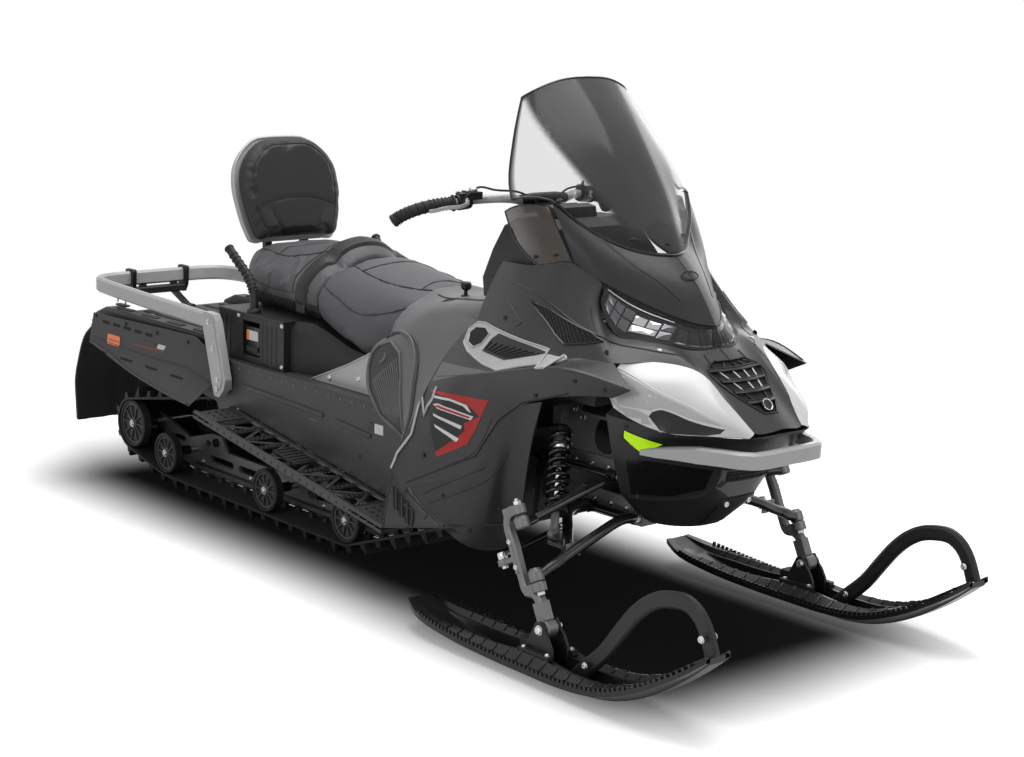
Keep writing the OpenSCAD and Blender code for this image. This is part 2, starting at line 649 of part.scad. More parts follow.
seat_joint = -300;
seat_nose = 85;
module driver_seat() {
    color(seat_grey) ring_loft([
        seat_ring(seat_joint, 640, 832, 205, 222, 140, 30),
        seat_ring(-250, 622, 832, 208, 226, 138, 28),
        seat_ring(-150, 588, 820, 208, 226, 132, 24),
        seat_ring(-60, 572, 809, 206, 222, 122, 20),
        seat_ring(30, 590, 795, 186, 196, 104, 16),
        seat_ring(seat_nose, 620, 784, 150, 160, 84, 14)]);
}
module passenger_seat() {
    color(seat_grey) ring_loft([
        seat_ring(-735, 650, 818, 168, 185, 150, 10),
        seat_ring(-690, 640, 824, 185, 202, 154, 12),
        seat_ring(-560, 640, 828, 200, 220, 156, 16),
        seat_ring(-440, 640, 852, 208, 230, 140, 36),
        seat_ring(-385, 640, 870, 210, 234, 127, 46),
        seat_ring(-340, 640, 862, 208, 230, 127, 42),
        seat_ring(seat_joint - fit_gap, 640, 836, 205, 224, 130, 34)]);
}
// Backrest outline: [height along the rest, half width]
backrest_outline = [[0, 150], [40, 170], [110, 186], [180, 192], [240, 180], [290, 144], [325, 88]];
backrest_foot = [-742, 824];
backrest_lean = 14;
function rest_point(s, y, out) = [
    backrest_foot.x - s * sin(backrest_lean) + out * cos(backrest_lean), y,
    backrest_foot.y + s * cos(backrest_lean) + out * sin(backrest_lean)];
module rest_slab(out_front, out_rear, shrink) {
    ring_loft([for (row = backrest_outline)
        let (w = row[1] - shrink, s = row[0])
        [rest_point(s, -w, out_rear), rest_point(s, -w, (out_front + out_rear) / 2),
         rest_point(s, -w * 0.8, out_front), rest_point(s, w * 0.8, out_front),
         rest_point(s, w, (out_front + out_rear) / 2), rest_point(s, w, out_rear)]]);
}
module backrest() { color([0.12, 0.12, 0.13]) rest_slab(66, 6, 0); }
module backrest_shell() {
    color([0.5, 0.5, 0.5]) {
        rest_slab(6 - fit_gap, -24, 4);
        for (y = [-70, 70]) translate([backrest_foot.x - 40, y - 12, 560])
            cube([20, 24, 285]);
        translate([backrest_foot.x - 60, -100, deck_bottom + 16.3 + 0.1]) cube([60, 200, 57]);
    }
}

// ---------- seat box, tank console, knee pads ----------
box_half = 285;
module seat_box() {
    color(black) difference() {
        union() {
            translate([-715, -box_half, deck_bottom]) cube([355, 2 * box_half, 639 - deck_bottom]);
            ring_loft([
                for (s = [[-360.5, 639, 260], [-301, 639, 240], [-250, 621, 225], [-150, 587, 215],
                    [-60, 571, 200], [0, 560, 180]])
                [[s[0], -s[2], deck_bottom], [s[0], s[2], deck_bottom], [s[0], s[2] - 20, s[1]], [s[0],
                    20 - s[2], s[1]]]]);
        }
        // storage pockets in both sides, and a cut for the backrest's bracket
        for (side = [-1, 1]) translate([-580, side > 0 ? box_half - 60 : -box_half - 1, 510]) cube(
            [90, 61, 105]);
        translate([-716, -110, deck_bottom - 1]) cube([14, 220, 200]);
    }
}
module grab_handles() {
    for (side = [-1, 1])
        color([0.1, 0.1, 0.1]) bent_tube([
            [-556, side * 262, 639.3], [-556, side * 262, 690],
            [-590, side * 264, 748], [-665, side * 280, 822]], 30, 24, ref = [0, 1, 0]);
}

console_top = 822;
// The cover over the tank, from the seat's nose to the dash
function console_ring(x, bottom, top, w_low, w_wide, w_top) =
    let (half = [[x, w_low, bottom], [x, w_wide, bottom + (top - bottom) * 0.35],
        [x, (w_wide + w_top) / 2, bottom + (top - bottom) * 0.72], [x, w_top, top - 14],
            [x, w_top * 0.6, top]])
    concat(half, [for (i = [len(half) - 1:-1:0]) [half[i].x, -half[i].y, half[i].z]]);
module tank_console() {
    color([0.25, 0.25, 0.27]) ring_loft([
        console_ring(seat_nose + fit_gap, 620, 785, 215, 225, 95),
        console_ring(150, 560, 778, 250, 275, 130),
        console_ring(240, deck_bottom, 786, 255, 286, 165),
        console_ring(330, deck_bottom, 800, 255, 290, 190),
        console_ring(420, deck_bottom, 812, 255, 288, 200),
        console_ring(470, deck_bottom, console_top, 250, 276, 205)]);
}
// Bright gussets that carry the tank on the tunnel
module tank_brackets() {
    color(silver) on_both_sides() translate([0, -262, 0]) rotate([90, 0, 0]) linear_extrude(height = 5)
        polygon([[-240, deck_bottom], [235, deck_bottom], [180, 540], [128, 560], [96, 604], [60, 618],
            [-60, 560]]);
}
// Ribbed pads that stand out beside the tank
module knee_pads() {
    color([0.3, 0.3, 0.32]) on_both_sides() right_panel([
        [[180, 288, 690], [260, 262, 748], [400, 250, 770], hood_edge[0]],
        [[120, 318, 640], [210, 320, 660], [350, 318, 670], side_net[0][0]],
        [[112, 334, 560], [210, 344, 560], [330, 356, 580], shoulder[0]],
        [[190, tunnel_half + 35, 470], [250, tunnel_half + 40, 470], [310, tunnel_half + 52, 478],
            part_way(shoulder[0], step_line[0], 0.5)],
        [[300, tunnel_half + 30, 424], [312, tunnel_half + 35, 422], [326, tunnel_half + 42, 420],
            step_line[0]]], 8);
}
module dash() {
    color([0.12, 0.1, 0.09]) difference() {
        ring_loft([
            for (s = [[0, 440, 690, 190], [52, 445, 760, 200], [130, 478, 690, 196], [195, 500, 640, 176],
                [215, 520, 600, 150]])
            let (z = console_top + fit_gap + s[0], a = s[1], b = s[2], w = s[3])
            [[a, w, z], [a, -w, z], [b, -w * 1.02, z], [b, w * 1.02, z]]]);
        steering_space();
    }
}

// ---------- front bumper, frame and engine ----------
bumper_z = 545;
bumper_post_h = 14;
// The pan slopes away across the width of each post
post_gap = 2.1;
// Front of the belly pan beside the bumper's posts, at a height
function belly_front(z) =
    let (a = belly_net[1][4], b = belly_net[2][4]) part_way(a, b, (a.z - z) / (a.z - b.z)).x;
module front_bumper() {
    half_path = [
        [1112, -252, bumper_z - 8], [1150, -232, bumper_z - 4], [1215, -192, bumper_z],
        [1290, -150, bumper_z], [1346, -126, bumper_z], [1362, -100, bumper_z]];
    path = concat(half_path, reversed([for (p = half_path) [p.x, -p.y, p.z]]));
    n = len(path);
    function grow(i) = min(1, 0.35 + 0.25 * min(i, n - 1 - i));
    rings = [for (i = [0:n - 1])
        let (one = swept_rings(path, bar_profile(30 * grow(i), 42 * grow(i), 6 * grow(i)),
            [0, 0, 1])) one[i]];
    low = bumper_z - bumper_post_h / 2;
    high = bumper_z + bumper_post_h / 2;
    color(silver) {
        ring_loft(rings);
        for (side = [-1, 1]) translate([0, side * 88 + 4, 0]) rotate([90, 0, 0]) linear_extrude(height = 8)
            polygon([[belly_front(low) + post_gap, low], [half_path[5].x, low],
                [half_path[5].x, high], [belly_front(high) + post_gap, high]]);
    }
}

rail_sheet = 8;
pivot_bar_d = 20;
lower_rail_y = 92;
upper_rail_y = 164;
lower_pivot_y = lower_rail_y + rail_sheet / 2 + pivot_bar_d / 2 + fit_gap;
upper_pivot_y = upper_rail_y + rail_sheet / 2 + pivot_bar_d / 2 + fit_gap;
lower_pivot_z = 314;
upper_pivot_z = 436;
shock_head = [800, -220, 567];
shock_foot = [930, -ski_stance / 2 + 119, 305];
// Half of the room that a spring and an arm tube need side by side
spring_room = (spring_d + arm_tube_d - 6) / 2;
shock_eye_r = 15;
shock_eye_w = 17.4;
frame_rear = 740;
upper_front_x = shock_foot.x + spring_room - 12;
frame_front = upper_front_x + 16;
rail_start = tunnel_nose + fit_gap;
frame_top = 600;
module frame_plate(x) {
    translate([x, 0, 0]) rotate([90, 0, 90]) linear_extrude(height = rail_sheet)
        polygon([[-95.5, 292], [95.5, 292], [95.5, 345], [168, 410], [168, 470], [190, frame_top],
            [-190, frame_top], [-168, 470], [-168, 410], [-95.5, 345]]);
}
module shock_tower(side) {
    inner_y = 140;
    width = 98;
    translate([shock_head.x - shock_eye_w / 2 - fit_gap - rail_sheet,
        side > 0 ? inner_y : -inner_y - width, shock_head.z - 22])
        cube([rail_sheet, width, 44]);
}
module front_frame() {
    length = frame_front - frame_rear;
    color([0.35, 0.35, 0.36]) {
        difference() {
            union() {
                frame_plate(frame_rear);
                frame_plate(frame_front - rail_sheet);
                translate([frame_rear, -96, 292]) cube([length, 192, rail_sheet]);
                for (side = [-1, 1]) {
                    translate([rail_start, side * upper_rail_y - rail_sheet / 2, 420])
                        cube([frame_front - rail_start, rail_sheet, 50]);
                    translate([rail_start, side * lower_rail_y - rail_sheet / 2, 292])
                        cube([frame_front - rail_start, rail_sheet, 66]);
                    shock_tower(side);
                }
                translate([frame_rear, -150, 560]) cube([length, 300, rail_sheet]);
            }
            for (x = [frame_rear - 1, frame_front - 9])
                translate([x, 0, 480]) rotate([0, 90, 0]) cylinder(d = 110, h = 10);
        }
    }
}
engine_size = [280, 380, 214];
module engine() {
    color([0.4, 0.4, 0.4]) translate([606, -engine_size.y / 2, frame_top + fit_gap]) cube(engine_size);
}

// Lower and upper suspension arms, each a bent A of tube with a ball joint boss
kingpin_y = ski_stance / 2;
kingpin_foot = [1052, -kingpin_y, ski_pin_z + 14];
function kingpin(s) = kingpin_foot + s * [-sin(caster), 0, cos(caster)];
lower_joint = kingpin(112);
upper_joint = kingpin(246);
joint_r = 19;
boss_low = -12;
upper_rear_x = 690;
boss_high = 24;
shock_bar_d = 18;
// Where the lower arm's two tubes part, and where they meet the pivot bar
arm_fork = [1006, -kingpin_y + 86, 268];
module ball_joint(at) {
    translate(at) rotate([0, -caster, 0]) translate([0, 0, boss_low])
        cylinder(r = joint_r, h = boss_high - boss_low);
}
module lower_arm() {
    neck = lower_joint + [0, joint_r * 0.6, 4];
    bar_z = shock_foot.z - shock_eye_r - fit_gap - shock_bar_d / 2;
    bent_tube([neck, arm_fork, [1006, -200, 334], [frame_front - 16, -lower_pivot_y, lower_pivot_z]],
        arm_tube_d, 24, ref = [1, 0, 0], n = 10);
    bent_tube([neck, arm_fork + [-2, 0, 0], [830, -210, 322], [800, -lower_pivot_y, lower_pivot_z]],
        arm_tube_d, 24, ref = [1, 0, 0.2], n = 10);
    ball_joint(lower_joint);
    rod([frame_rear + 12, -lower_pivot_y, lower_pivot_z], [frame_front, -lower_pivot_y, lower_pivot_z],
        pivot_bar_d);
    rod([shock_foot.x - 14, shock_foot.y, bar_z], [arm_fork.x, shock_foot.y, bar_z], shock_bar_d);
}
module upper_arm() {
    fork = upper_joint + [spring_room - 62, 50, 0];
    ball_joint(upper_joint);
    rod(upper_joint + [0, joint_r * 0.6, 1], fork + [0, 5, 0], arm_tube_d - 3);
    for (x = [upper_front_x, upper_rear_x]) rod(fork, [x, -upper_pivot_y, upper_pivot_z], arm_tube_d - 6);
    rod([upper_rear_x - 20, -upper_pivot_y, upper_pivot_z], [frame_front, -upper_pivot_y, upper_pivot_z],
        pivot_bar_d);
}
module front_arms() {
    color([0.13, 0.13, 0.13]) on_both_sides() {
        lower_arm();
        upper_arm();
    }
}
module front_shocks() {
    color(black) on_both_sides() {
        for (p = [shock_head, shock_foot]) translate(p - [shock_eye_w / 2, 0, 0]) rotate([0, 90, 0])
            cylinder(r = shock_eye_r, h = shock_eye_w);
        rod(part_way(shock_head, shock_foot, 0.035), shock_foot, 22);
        rod(part_way(shock_head, shock_foot, 0.14), part_way(shock_head, shock_foot, 0.82), spring_d);
    }
}

// ---------- steering ----------
steer_centre = [446, 0, 1052];
module along_post() { translate(steer_centre) rotate([0, -post_lean, 0]) children(); }
post_bearing_h = 16;
// Room for the post to turn in, less the bearing that holds it
module steering_space() {
    along_post() difference() {
        translate([0, 0, -420]) cylinder(d = post_d + 24, h = 460);
        translate([0, 0, -210]) difference() {
            cylinder(d = post_d + 30, h = post_bearing_h);
            translate([0, 0, -1]) cylinder(d = post_d + 2 * fit_gap, h = post_bearing_h + 2);
        }
    }
}
grip_in = [372, 245, 1066];
grip_out = [332, bar_reach - 20, 1040];
function bar_side(s) = [
    [steer_centre.x, s * 46, steer_centre.z + 10], [steer_centre.x + 2, s * 96, steer_centre.z + 24],
    [grip_in.x + 10, s * (grip_in.y - 60), grip_in.z + 6], [grip_in.x, s * grip_in.y, grip_in.z]];
module handlebar() {
    path = concat(reversed([for (p = bar_side(-1)) p]), bar_side(1));
    color(silver) {
        bent_tube(path, bar_d, 20, ref = [0.2, 0, 1]);
        along_post() {
            translate([0, 0, -260]) cylinder(d = post_d, h = 262);
            translate([-20, -52, -10]) cube([40, 104, 34]);
        }
    }
}
module grips() {
    for (s = [-1, 1]) color([0.08, 0.08, 0.08]) bent_tube([
        [grip_in.x - 0.4, s * (grip_in.y + 3), grip_in.z - 0.2],
        [grip_out.x + 14, s * (grip_out.y - 66), grip_out.z + 18],
        [grip_out.x - 34, s * bar_reach, grip_out.z - 20]], 36, 30, ref = [0.2, 0, 1]);
}
module hand_controls() {
    for (s = [-1, 1]) {
        bar_end = [grip_in.x, s * grip_in.y, grip_in.z];
        bar_start = bar_side(s)[2];
        a = part_way(bar_start, bar_end, 0.2);
        b = part_way(bar_start, bar_end, 0.8);
        color(black) difference() {
            union() {
                rod(a, b, bar_d + 20);
                bent_tube([
                    part_way(a, b, 0.5) + [bar_d / 2 + 5, 0, 0], [grip_in.x + 52, s * (grip_in.y + 8),
                        grip_in.z],
                    [grip_out.x + 52, s * (grip_out.y - 40), grip_out.z + 8]], 10, 20, ref = [0.2, 0, 1],
                        n = 8);
            }
            rod(bar_start, part_way(bar_start, bar_end, 1.4), bar_d + 2 * fit_gap);
        }
    }
}

// ---------- spindles, tie rods and skis ----------
arm_eye = [882, -kingpin_y, 240];
steer_arm_t = 16;
lug_t = 24;
module on_kingpin(p) { translate(p) rotate([0, -caster, 0]) children(); }
module spindle() {
    leg_x = -64;
    leg_w = 26;
    lower_lug = 112 + boss_low - fit_gap - lug_t;
    upper_lug = 246 + boss_high + fit_gap;
    color([0.36, 0.36, 0.38]) difference() {
        union() {
            on_kingpin(kingpin_foot) {
                // lugs that hold the arms' ball joints, on the leg behind them
                for (z = [lower_lug, upper_lug]) {
                    translate([0, 0, z]) cylinder(r = joint_r, h = lug_t);
                    translate([-50, -leg_w / 2, z]) cube([50, leg_w, lug_t]);
                }
                translate([leg_x, -leg_w / 2, lower_lug]) cube([leg_w, leg_w,
                    upper_lug + lug_t - lower_lug]);
                translate([-26, -15, 6]) cube([34, 30, lower_lug - 4]);
            }
            translate([kingpin_foot.x, -kingpin_y + 17, ski_pin_z]) rotate([90, 0, 0]) cylinder(d = 42,
                h = 34);
            // steering arm, pointing rearward
            on_kingpin(arm_eye) {
                translate([0, 0, -steer_arm_t / 2]) cylinder(d = 30, h = steer_arm_t);
                translate([0, -9, -steer_arm_t / 2]) cube([66, 18, steer_arm_t]);
            }
        }
        translate([kingpin_foot.x, -kingpin_y + 40, ski_pin_z]) rotate([90, 0, 0])
            cylinder(d = ski_pin_d + 0.1, h = 80);
    }
}
module spindle_right() { spindle(); }
module spindle_left() { mirror([0, 1, 0]) spindle(); }

module tie_rod() {
    hub_low = steer_arm_t / 2 + fit_gap;
    middle = arm_eye + (hub_low + 9) * [-sin(caster), 0, cos(caster)];
    color([0.6, 0.6, 0.6]) {
        on_kingpin(arm_eye) translate([0, 0, hub_low]) cylinder(d = 24, h = 18);
        rod(middle, middle + [-46, 245, 26], 16);
    }
}
module tie_rod_right() { tie_rod(); }
module tie_rod_left() { mirror([0, 1, 0]) tie_rod(); }

ski_y = ski_stance / 2;
// Stations of the ski's base: [x, underside at the middle, underside at the edge, half width]
ski_stations = [
    [560, 58, 62, 46], [620, 36, 48, 70], [760, 10, 32, ski_width / 2], [900, 0, 24, ski_width / 2],
        [1050, 0, 22, ski_width / 2],
    [1200, 0, 24, ski_width / 2], [1300, 14, 36, ski_width / 2 - 2], [1400, 50, 70, ski_width / 2 - 8],
    [1500, 108, 122, ski_width / 2 - 18], [1560, 152, 160, ski_width / 2 - 28], [1606, 190, 196, 40]];
// Height of the two ribs along the top of the ski, over its base
function rib(x) = x < 700 || x > 1480 ? 0.5 : 44 - abs(x - 1060) * 0.085;
module ski() {
    t = ski_thickness;
    top = [for (s = ski_stations) let (b = s[1] + t, e = s[2] + t, w = s[3], r = rib(s[0]))
        [[s[0], -w, e], [s[0], -w * 0.62, e + r * 0.6], [s[0], -36, b + 3 + r], [s[0], -26, b + 3 + r],
            [s[0], -22, b + 3],
         [s[0], 22, b + 3], [s[0], 26, b + 3 + r], [s[0], 36, b + 3 + r], [s[0], w * 0.62, e + r * 0.6],
             [s[0], w, e]]];
    under = [for (s = ski_stations) let (b = s[1], e = s[2], w = s[3])
        [[s[0], -w, e], [s[0], -w * 0.62, e - (e - b) * 0.4], [s[0], -34, b + 8], [s[0], -26, b], [s[0],
            -22, b],
         [s[0], 22, b], [s[0], 26, b], [s[0], 34, b + 8], [s[0], w * 0.62, e - (e - b) * 0.4], [s[0], w,
             e]]];
    color(black) translate([0, -ski_y, 0]) {
        sheet_between(top, under);
        // saddle and pin that hold the spindle
        translate([kingpin_foot.x, 0, 0]) {
            for (side = [-1, 1]) translate([-45, side > 0 ? 22 : -30, 40]) cube([90, 8, 60]);
            for (side = [-1, 1]) translate([0, side > 0 ? 30 : -22, ski_pin_z]) rotate(
                [90, 0, 0]) cylinder(d = 44, h = 8);
            translate([0, 38, ski_pin_z]) rotate([90, 0, 0]) cylinder(d = ski_pin_d, h = 76);
        }
    }
}
module ski_right() { ski(); }
module ski_left() { mirror([0, 1, 0]) ski(); }

// From the floor of the ski's channel up and over to its tip
loop_path = [[1161, 0, 30.1], [1250, 0, 112], [1352, 0, 238], [1420, 0, 286], [1510, 0, 300],
    [1562, 0, 262],
    [1590, 0, 199.8]];
module ski_loop() {
    color([0.09, 0.09, 0.1]) translate([0, -ski_y, 0])
        ring_loft(swept_rings(
            rounded_path(loop_path, 14),
            bar_profile(40, 20, 5), [0, 1, 0]));
}
module ski_loop_right() { ski_loop(); }
module ski_loop_left() { mirror([0, 1, 0]) ski_loop(); }

// ---------- assembly ----------
tunnel();
running_boards();
rear_side_panels();
snow_flap();
cargo_deck();
rear_rack();
taillight();
tow_hitch();
seat_box();
driver_seat();
passenger_seat();
backrest();
backrest_shell();
grab_handles();
tank_console();
tank_brackets();
knee_pads();
dash();
side_panel_right();
side_panel_left();
lower_panels();
toe_guards();
hood();
fenders();
grille();
headlights();
windshield_cowl();
windshield();
wind_deflectors();
front_bumper();
belly_pan();
front_frame();
engine();
front_arms();
front_shocks();
slide_rails();
track_wheels();
rear_suspension();
track();
handlebar();
grips();
hand_controls();
spindle_right();
spindle_left();
tie_rod_right();
tie_rod_left();
ski_right();
ski_left();
ski_loop_right();
ski_loop_left();
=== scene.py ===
"""Two-up utility snowmobile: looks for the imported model.

Lengths are in millimetres, but the camera, lights and floor are in metres, as the frame is."""
import math

import bmesh
import bpy
import numpy as np
from mathutils import Matrix, Vector
from mathutils.bvhtree import BVHTree
from mathutils.kdtree import KDTree

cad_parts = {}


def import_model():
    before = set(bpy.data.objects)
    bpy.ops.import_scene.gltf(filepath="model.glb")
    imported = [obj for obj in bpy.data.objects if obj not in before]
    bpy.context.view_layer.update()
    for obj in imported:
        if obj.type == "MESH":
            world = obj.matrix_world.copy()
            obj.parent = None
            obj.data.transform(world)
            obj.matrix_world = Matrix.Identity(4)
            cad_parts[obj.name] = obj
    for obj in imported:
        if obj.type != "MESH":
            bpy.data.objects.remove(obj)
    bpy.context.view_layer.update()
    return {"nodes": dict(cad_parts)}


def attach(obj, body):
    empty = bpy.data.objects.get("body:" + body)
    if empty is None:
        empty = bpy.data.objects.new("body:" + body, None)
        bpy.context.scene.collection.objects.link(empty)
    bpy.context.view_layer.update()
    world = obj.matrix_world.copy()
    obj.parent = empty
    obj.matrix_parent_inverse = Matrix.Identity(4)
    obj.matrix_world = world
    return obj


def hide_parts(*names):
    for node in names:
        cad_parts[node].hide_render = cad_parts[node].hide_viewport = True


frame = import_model()
nodes = frame["nodes"]
# millimetres to the frame's metres
MM = 0.001


# ------------------------------ camera, light, floor
def camera():
    eye = Vector((4.359, -3.505, 1.630))
    azimuth, pitch, roll = (math.radians(a) for a in (48.861, 11.357, 1.745))
    away = Vector((-math.sin(azimuth) * math.cos(pitch), math.cos(azimuth) * math.cos(pitch),
                   -math.sin(pitch)))
    level = away.cross(Vector((0, 0, 1))).normalized()
    above = level.cross(away)
    right = level * math.cos(roll) + above * math.sin(roll)
    up = above * math.cos(roll) - level * math.sin(roll)
    data = bpy.data.cameras.new("camera")
    data.lens = 68.364
    data.sensor_width = 36
    data.clip_end = 100
    cam = bpy.data.objects.new("camera", data)
    cam.matrix_world = Matrix((right, up, -away)).transposed().to_4x4()
    cam.location = eye
    bpy.context.scene.collection.objects.link(cam)
    bpy.context.scene.camera = cam


camera()


def area_light(name, place, aim, size, power, size_y=None):
    data = bpy.data.lights.new(name, "AREA")
    data.energy = power
    data.size = size
    if size_y:
        data.shape = "RECTANGLE"
        data.size_y = size_y
    lamp = bpy.data.objects.new(name, data)
    lamp.location = place
    lamp.rotation_euler = (Vector(aim) - Vector(place)).to_track_quat("-Z", "Y").to_euler()
    bpy.context.scene.collection.objects.link(lamp)


area_light("overhead", (0.2, 0.3, 3.6), (0.1, 0, 0.4), 3.4, 112, 2.4)
area_light("side", (1.2, -4.2, 2.2), (0.2, 0, 0.6), 2.6, 44, 1.8)
area_light("nose", (4.6, 0.6, 1.9), (1.0, 0, 0.6), 1.8, 26, 1.6)
area_light("far", (-0.6, 4.0, 2.0), (0.2, 0, 0.7), 2.6, 26, 1.6)


def node_tree(owner):
    owner.use_nodes = True
    tree = owner.node_tree
    tree.nodes.clear()
    return tree


def link(tree, a, b):
    tree.links.new(a, b)


def seen_directly(tree):
    """1 for rays that carry the background to the eye: from the camera, or through a reflection or glass"""
    path = tree.nodes.new("ShaderNodeLightPath")
    total = path.outputs["Is Camera Ray"]
    for extra in ("Is Glossy Ray", "Is Transmission Ray"):
        m = tree.nodes.new("ShaderNodeMath")
        m.operation = "MAXIMUM"
        link(tree, total, m.inputs[0])
        link(tree, path.outputs[extra], m.inputs[1])
        total = m.outputs[0]
    return total


def world():
    w = bpy.data.worlds.new("studio")
    bpy.context.scene.world = w
    t = node_tree(w)
    out = t.nodes.new("ShaderNodeOutputWorld")
    pale, white = t.nodes.new("ShaderNodeBackground"), t.nodes.new("ShaderNodeBackground")
    pale.inputs[1].default_value = 0.34
    white.inputs[1].default_value = 1.0
    for b in (pale, white):
        b.inputs[0].default_value = (1, 1, 1, 1)
    mix = t.nodes.new("ShaderNodeMixShader")
    link(t, seen_directly(t), mix.inputs[0])
    link(t, pale.outputs[0], mix.inputs[1])
    link(t, white.outputs[0], mix.inputs[2])
    link(t, mix.outputs[0], out.inputs[0])


world()


def floor():
    """White ground with a painted shadow that goes near-black under the machine, and that turns to plain
    white away from the machine
    """
    bpy.ops.mesh.primitive_plane_add(size=60, location=(0, 0, -0.0005))
    o = bpy.context.object
    o.name = "floor"
    m = bpy.data.materials.new("floor")
    t = node_tree(m)

    def math_node(operation, a, b=None):
        n = t.nodes.new("ShaderNodeMath")
        n.operation = operation
        for k, v in enumerate((a, b)):
            if v is None:
                continue
            if isinstance(v, (int, float)):
                n.inputs[k].default_value = v
            else:
                link(t, v, n.inputs[k])
        return n.outputs[0]

    coords = t.nodes.new("ShaderNodeTexCoord")
    split = t.nodes.new("ShaderNodeSeparateXYZ")
    link(t, coords.outputs["Object"], split.inputs[0])
    x = math_node("MAXIMUM",
                  math_node("SUBTRACT",
                            math_node("ABSOLUTE", math_node("SUBTRACT", split.outputs[0], 0.02)), 1.22),
                            0.0)
    y = math_node("MAXIMUM", math_node("SUBTRACT", math_node("ABSOLUTE", split.outputs[1]), 0.30), 0.0)
    away = math_node("SQRT", math_node("ADD", math_node("MULTIPLY", x, x), math_node("MULTIPLY", y, y)))

    def ramp(low, high, start, end):
        r = t.nodes.new("ShaderNodeMapRange")
        r.interpolation_type = "SMOOTHSTEP"
        for k, v in enumerate((low, high, start, end)):
            r.inputs[k + 1].default_value = v
        link(t, away, r.inputs[0])
        return r.outputs[0]

    # painted shadow: the floor's colour and glow fall to near-black within half a metre of the machine's
    # footprint
    soft = ramp(0.0, 0.50, 0.007, 1.0)
    far = ramp(0.9, 2.4, 0.0, 1.0)
    near = math_node("SUBTRACT", 1.0, far)
    out = t.nodes.new("ShaderNodeOutputMaterial")
    lit = t.nodes.new("ShaderNodeBsdfDiffuse")
    level = t.nodes.new("ShaderNodeCombineColor")
    pale = math_node("MULTIPLY", math_node("MULTIPLY", soft, near), 0.9)
    for k in range(3):
        link(t, pale, level.inputs[k])
    link(t, level.outputs[0], lit.inputs[0])
    glow = t.nodes.new("ShaderNodeEmission")
    power = math_node("ADD", math_node("MULTIPLY", math_node("MULTIPLY", soft, near), 0.5), far)
    link(t, math_node("MULTIPLY", power, seen_directly(t)), glow.inputs[1])
    both = t.nodes.new("ShaderNodeAddShader")
    link(t, lit.outputs[0], both.inputs[0])
    link(t, glow.outputs[0], both.inputs[1])
    link(t, both.outputs[0], out.inputs[0])
    o.data.materials.append(m)


floor()
bpy.context.scene.view_settings.view_transform = "Standard"


# ------------------------------ materials
def surface(name, color, rough, metal=0.0, grain=(900, 0.15), var=0.12, rough_var=0.08, coat=0.0,
            alpha=None,
            stretch=(1, 1, 1), leather=False, painted_glow=0.0, attribute=None, specular=0.28, dust=0.0):
    """A procedural finish: colour and roughness drift with soft noise, and fine grain stands as bump"""
    m = bpy.data.materials.new(name)
    t = node_tree(m)
    out = t.nodes.new("ShaderNodeOutputMaterial")
    b = t.nodes.new("ShaderNodeBsdfPrincipled")
    link(t, b.outputs[0], out.inputs[0])
    b.inputs["Metallic"].default_value = metal
    b.inputs["Specular IOR Level"].default_value = specular
    b.inputs["Coat Weight"].default_value = coat
    b.inputs["Coat Roughness"].default_value = 0.12
    coords = t.nodes.new("ShaderNodeTexCoord")
    place = t.nodes.new("ShaderNodeMapping")
    place.inputs["Scale"].default_value = stretch
    link(t, coords.outputs["Object"], place.inputs[0])
    broad = t.nodes.new("ShaderNodeTexNoise")
    broad.inputs["Scale"].default_value = 9
    broad.inputs["Detail"].default_value = 6
    link(t, place.outputs[0], broad.inputs["Vector"])
    mix = t.nodes.new("ShaderNodeMix")
    mix.data_type = "RGBA"
    pale = [min(1, c * (1 + var) + 0.25 * dust) for c in color[:3]]
    mix.inputs[6].default_value = (*[c * (1 - var) for c in color[:3]], 1)
    mix.inputs[7].default_value = (*pale, 1)
    link(t, broad.outputs["Fac"], mix.inputs[0])
    link(t, mix.outputs[2], b.inputs["Base Color"])
    level = t.nodes.new("ShaderNodeMapRange")
    level.inputs[3].default_value = max(0.02, rough - rough_var)
    level.inputs[4].default_value = min(1, rough + rough_var)
    link(t, broad.outputs["Fac"], level.inputs[0])
    link(t, level.outputs[0], b.inputs["Roughness"])
    if leather:
        fine = t.nodes.new("ShaderNodeTexVoronoi")
        fine.feature = "DISTANCE_TO_EDGE"
    else:
        fine = t.nodes.new("ShaderNodeTexNoise")
        fine.inputs["Detail"].default_value = 3
    fine.inputs["Scale"].default_value = grain[0]
    link(t, place.outputs[0], fine.inputs["Vector"])
    bump = t.nodes.new("ShaderNodeBump")
    bump.inputs["Strength"].default_value = grain[1]
    bump.inputs["Distance"].default_value = 0.0006
    link(t, fine.outputs["Distance" if leather else "Fac"], bump.inputs["Height"])
    link(t, bump.outputs[0], b.inputs["Normal"])
    # painted glow: the colour also emits light of its own
    if painted_glow:
        b.inputs["Emission Color"].default_value = (*color[:3], 1)
        b.inputs["Emission Strength"].default_value = painted_glow
    if alpha is not None:
        b.inputs["Alpha"].default_value = alpha
    if attribute:
        a = t.nodes.new("ShaderNodeAttribute")
        a.attribute_name = attribute
        link(t, a.outputs["Fac"], b.inputs["Alpha"])
    return m


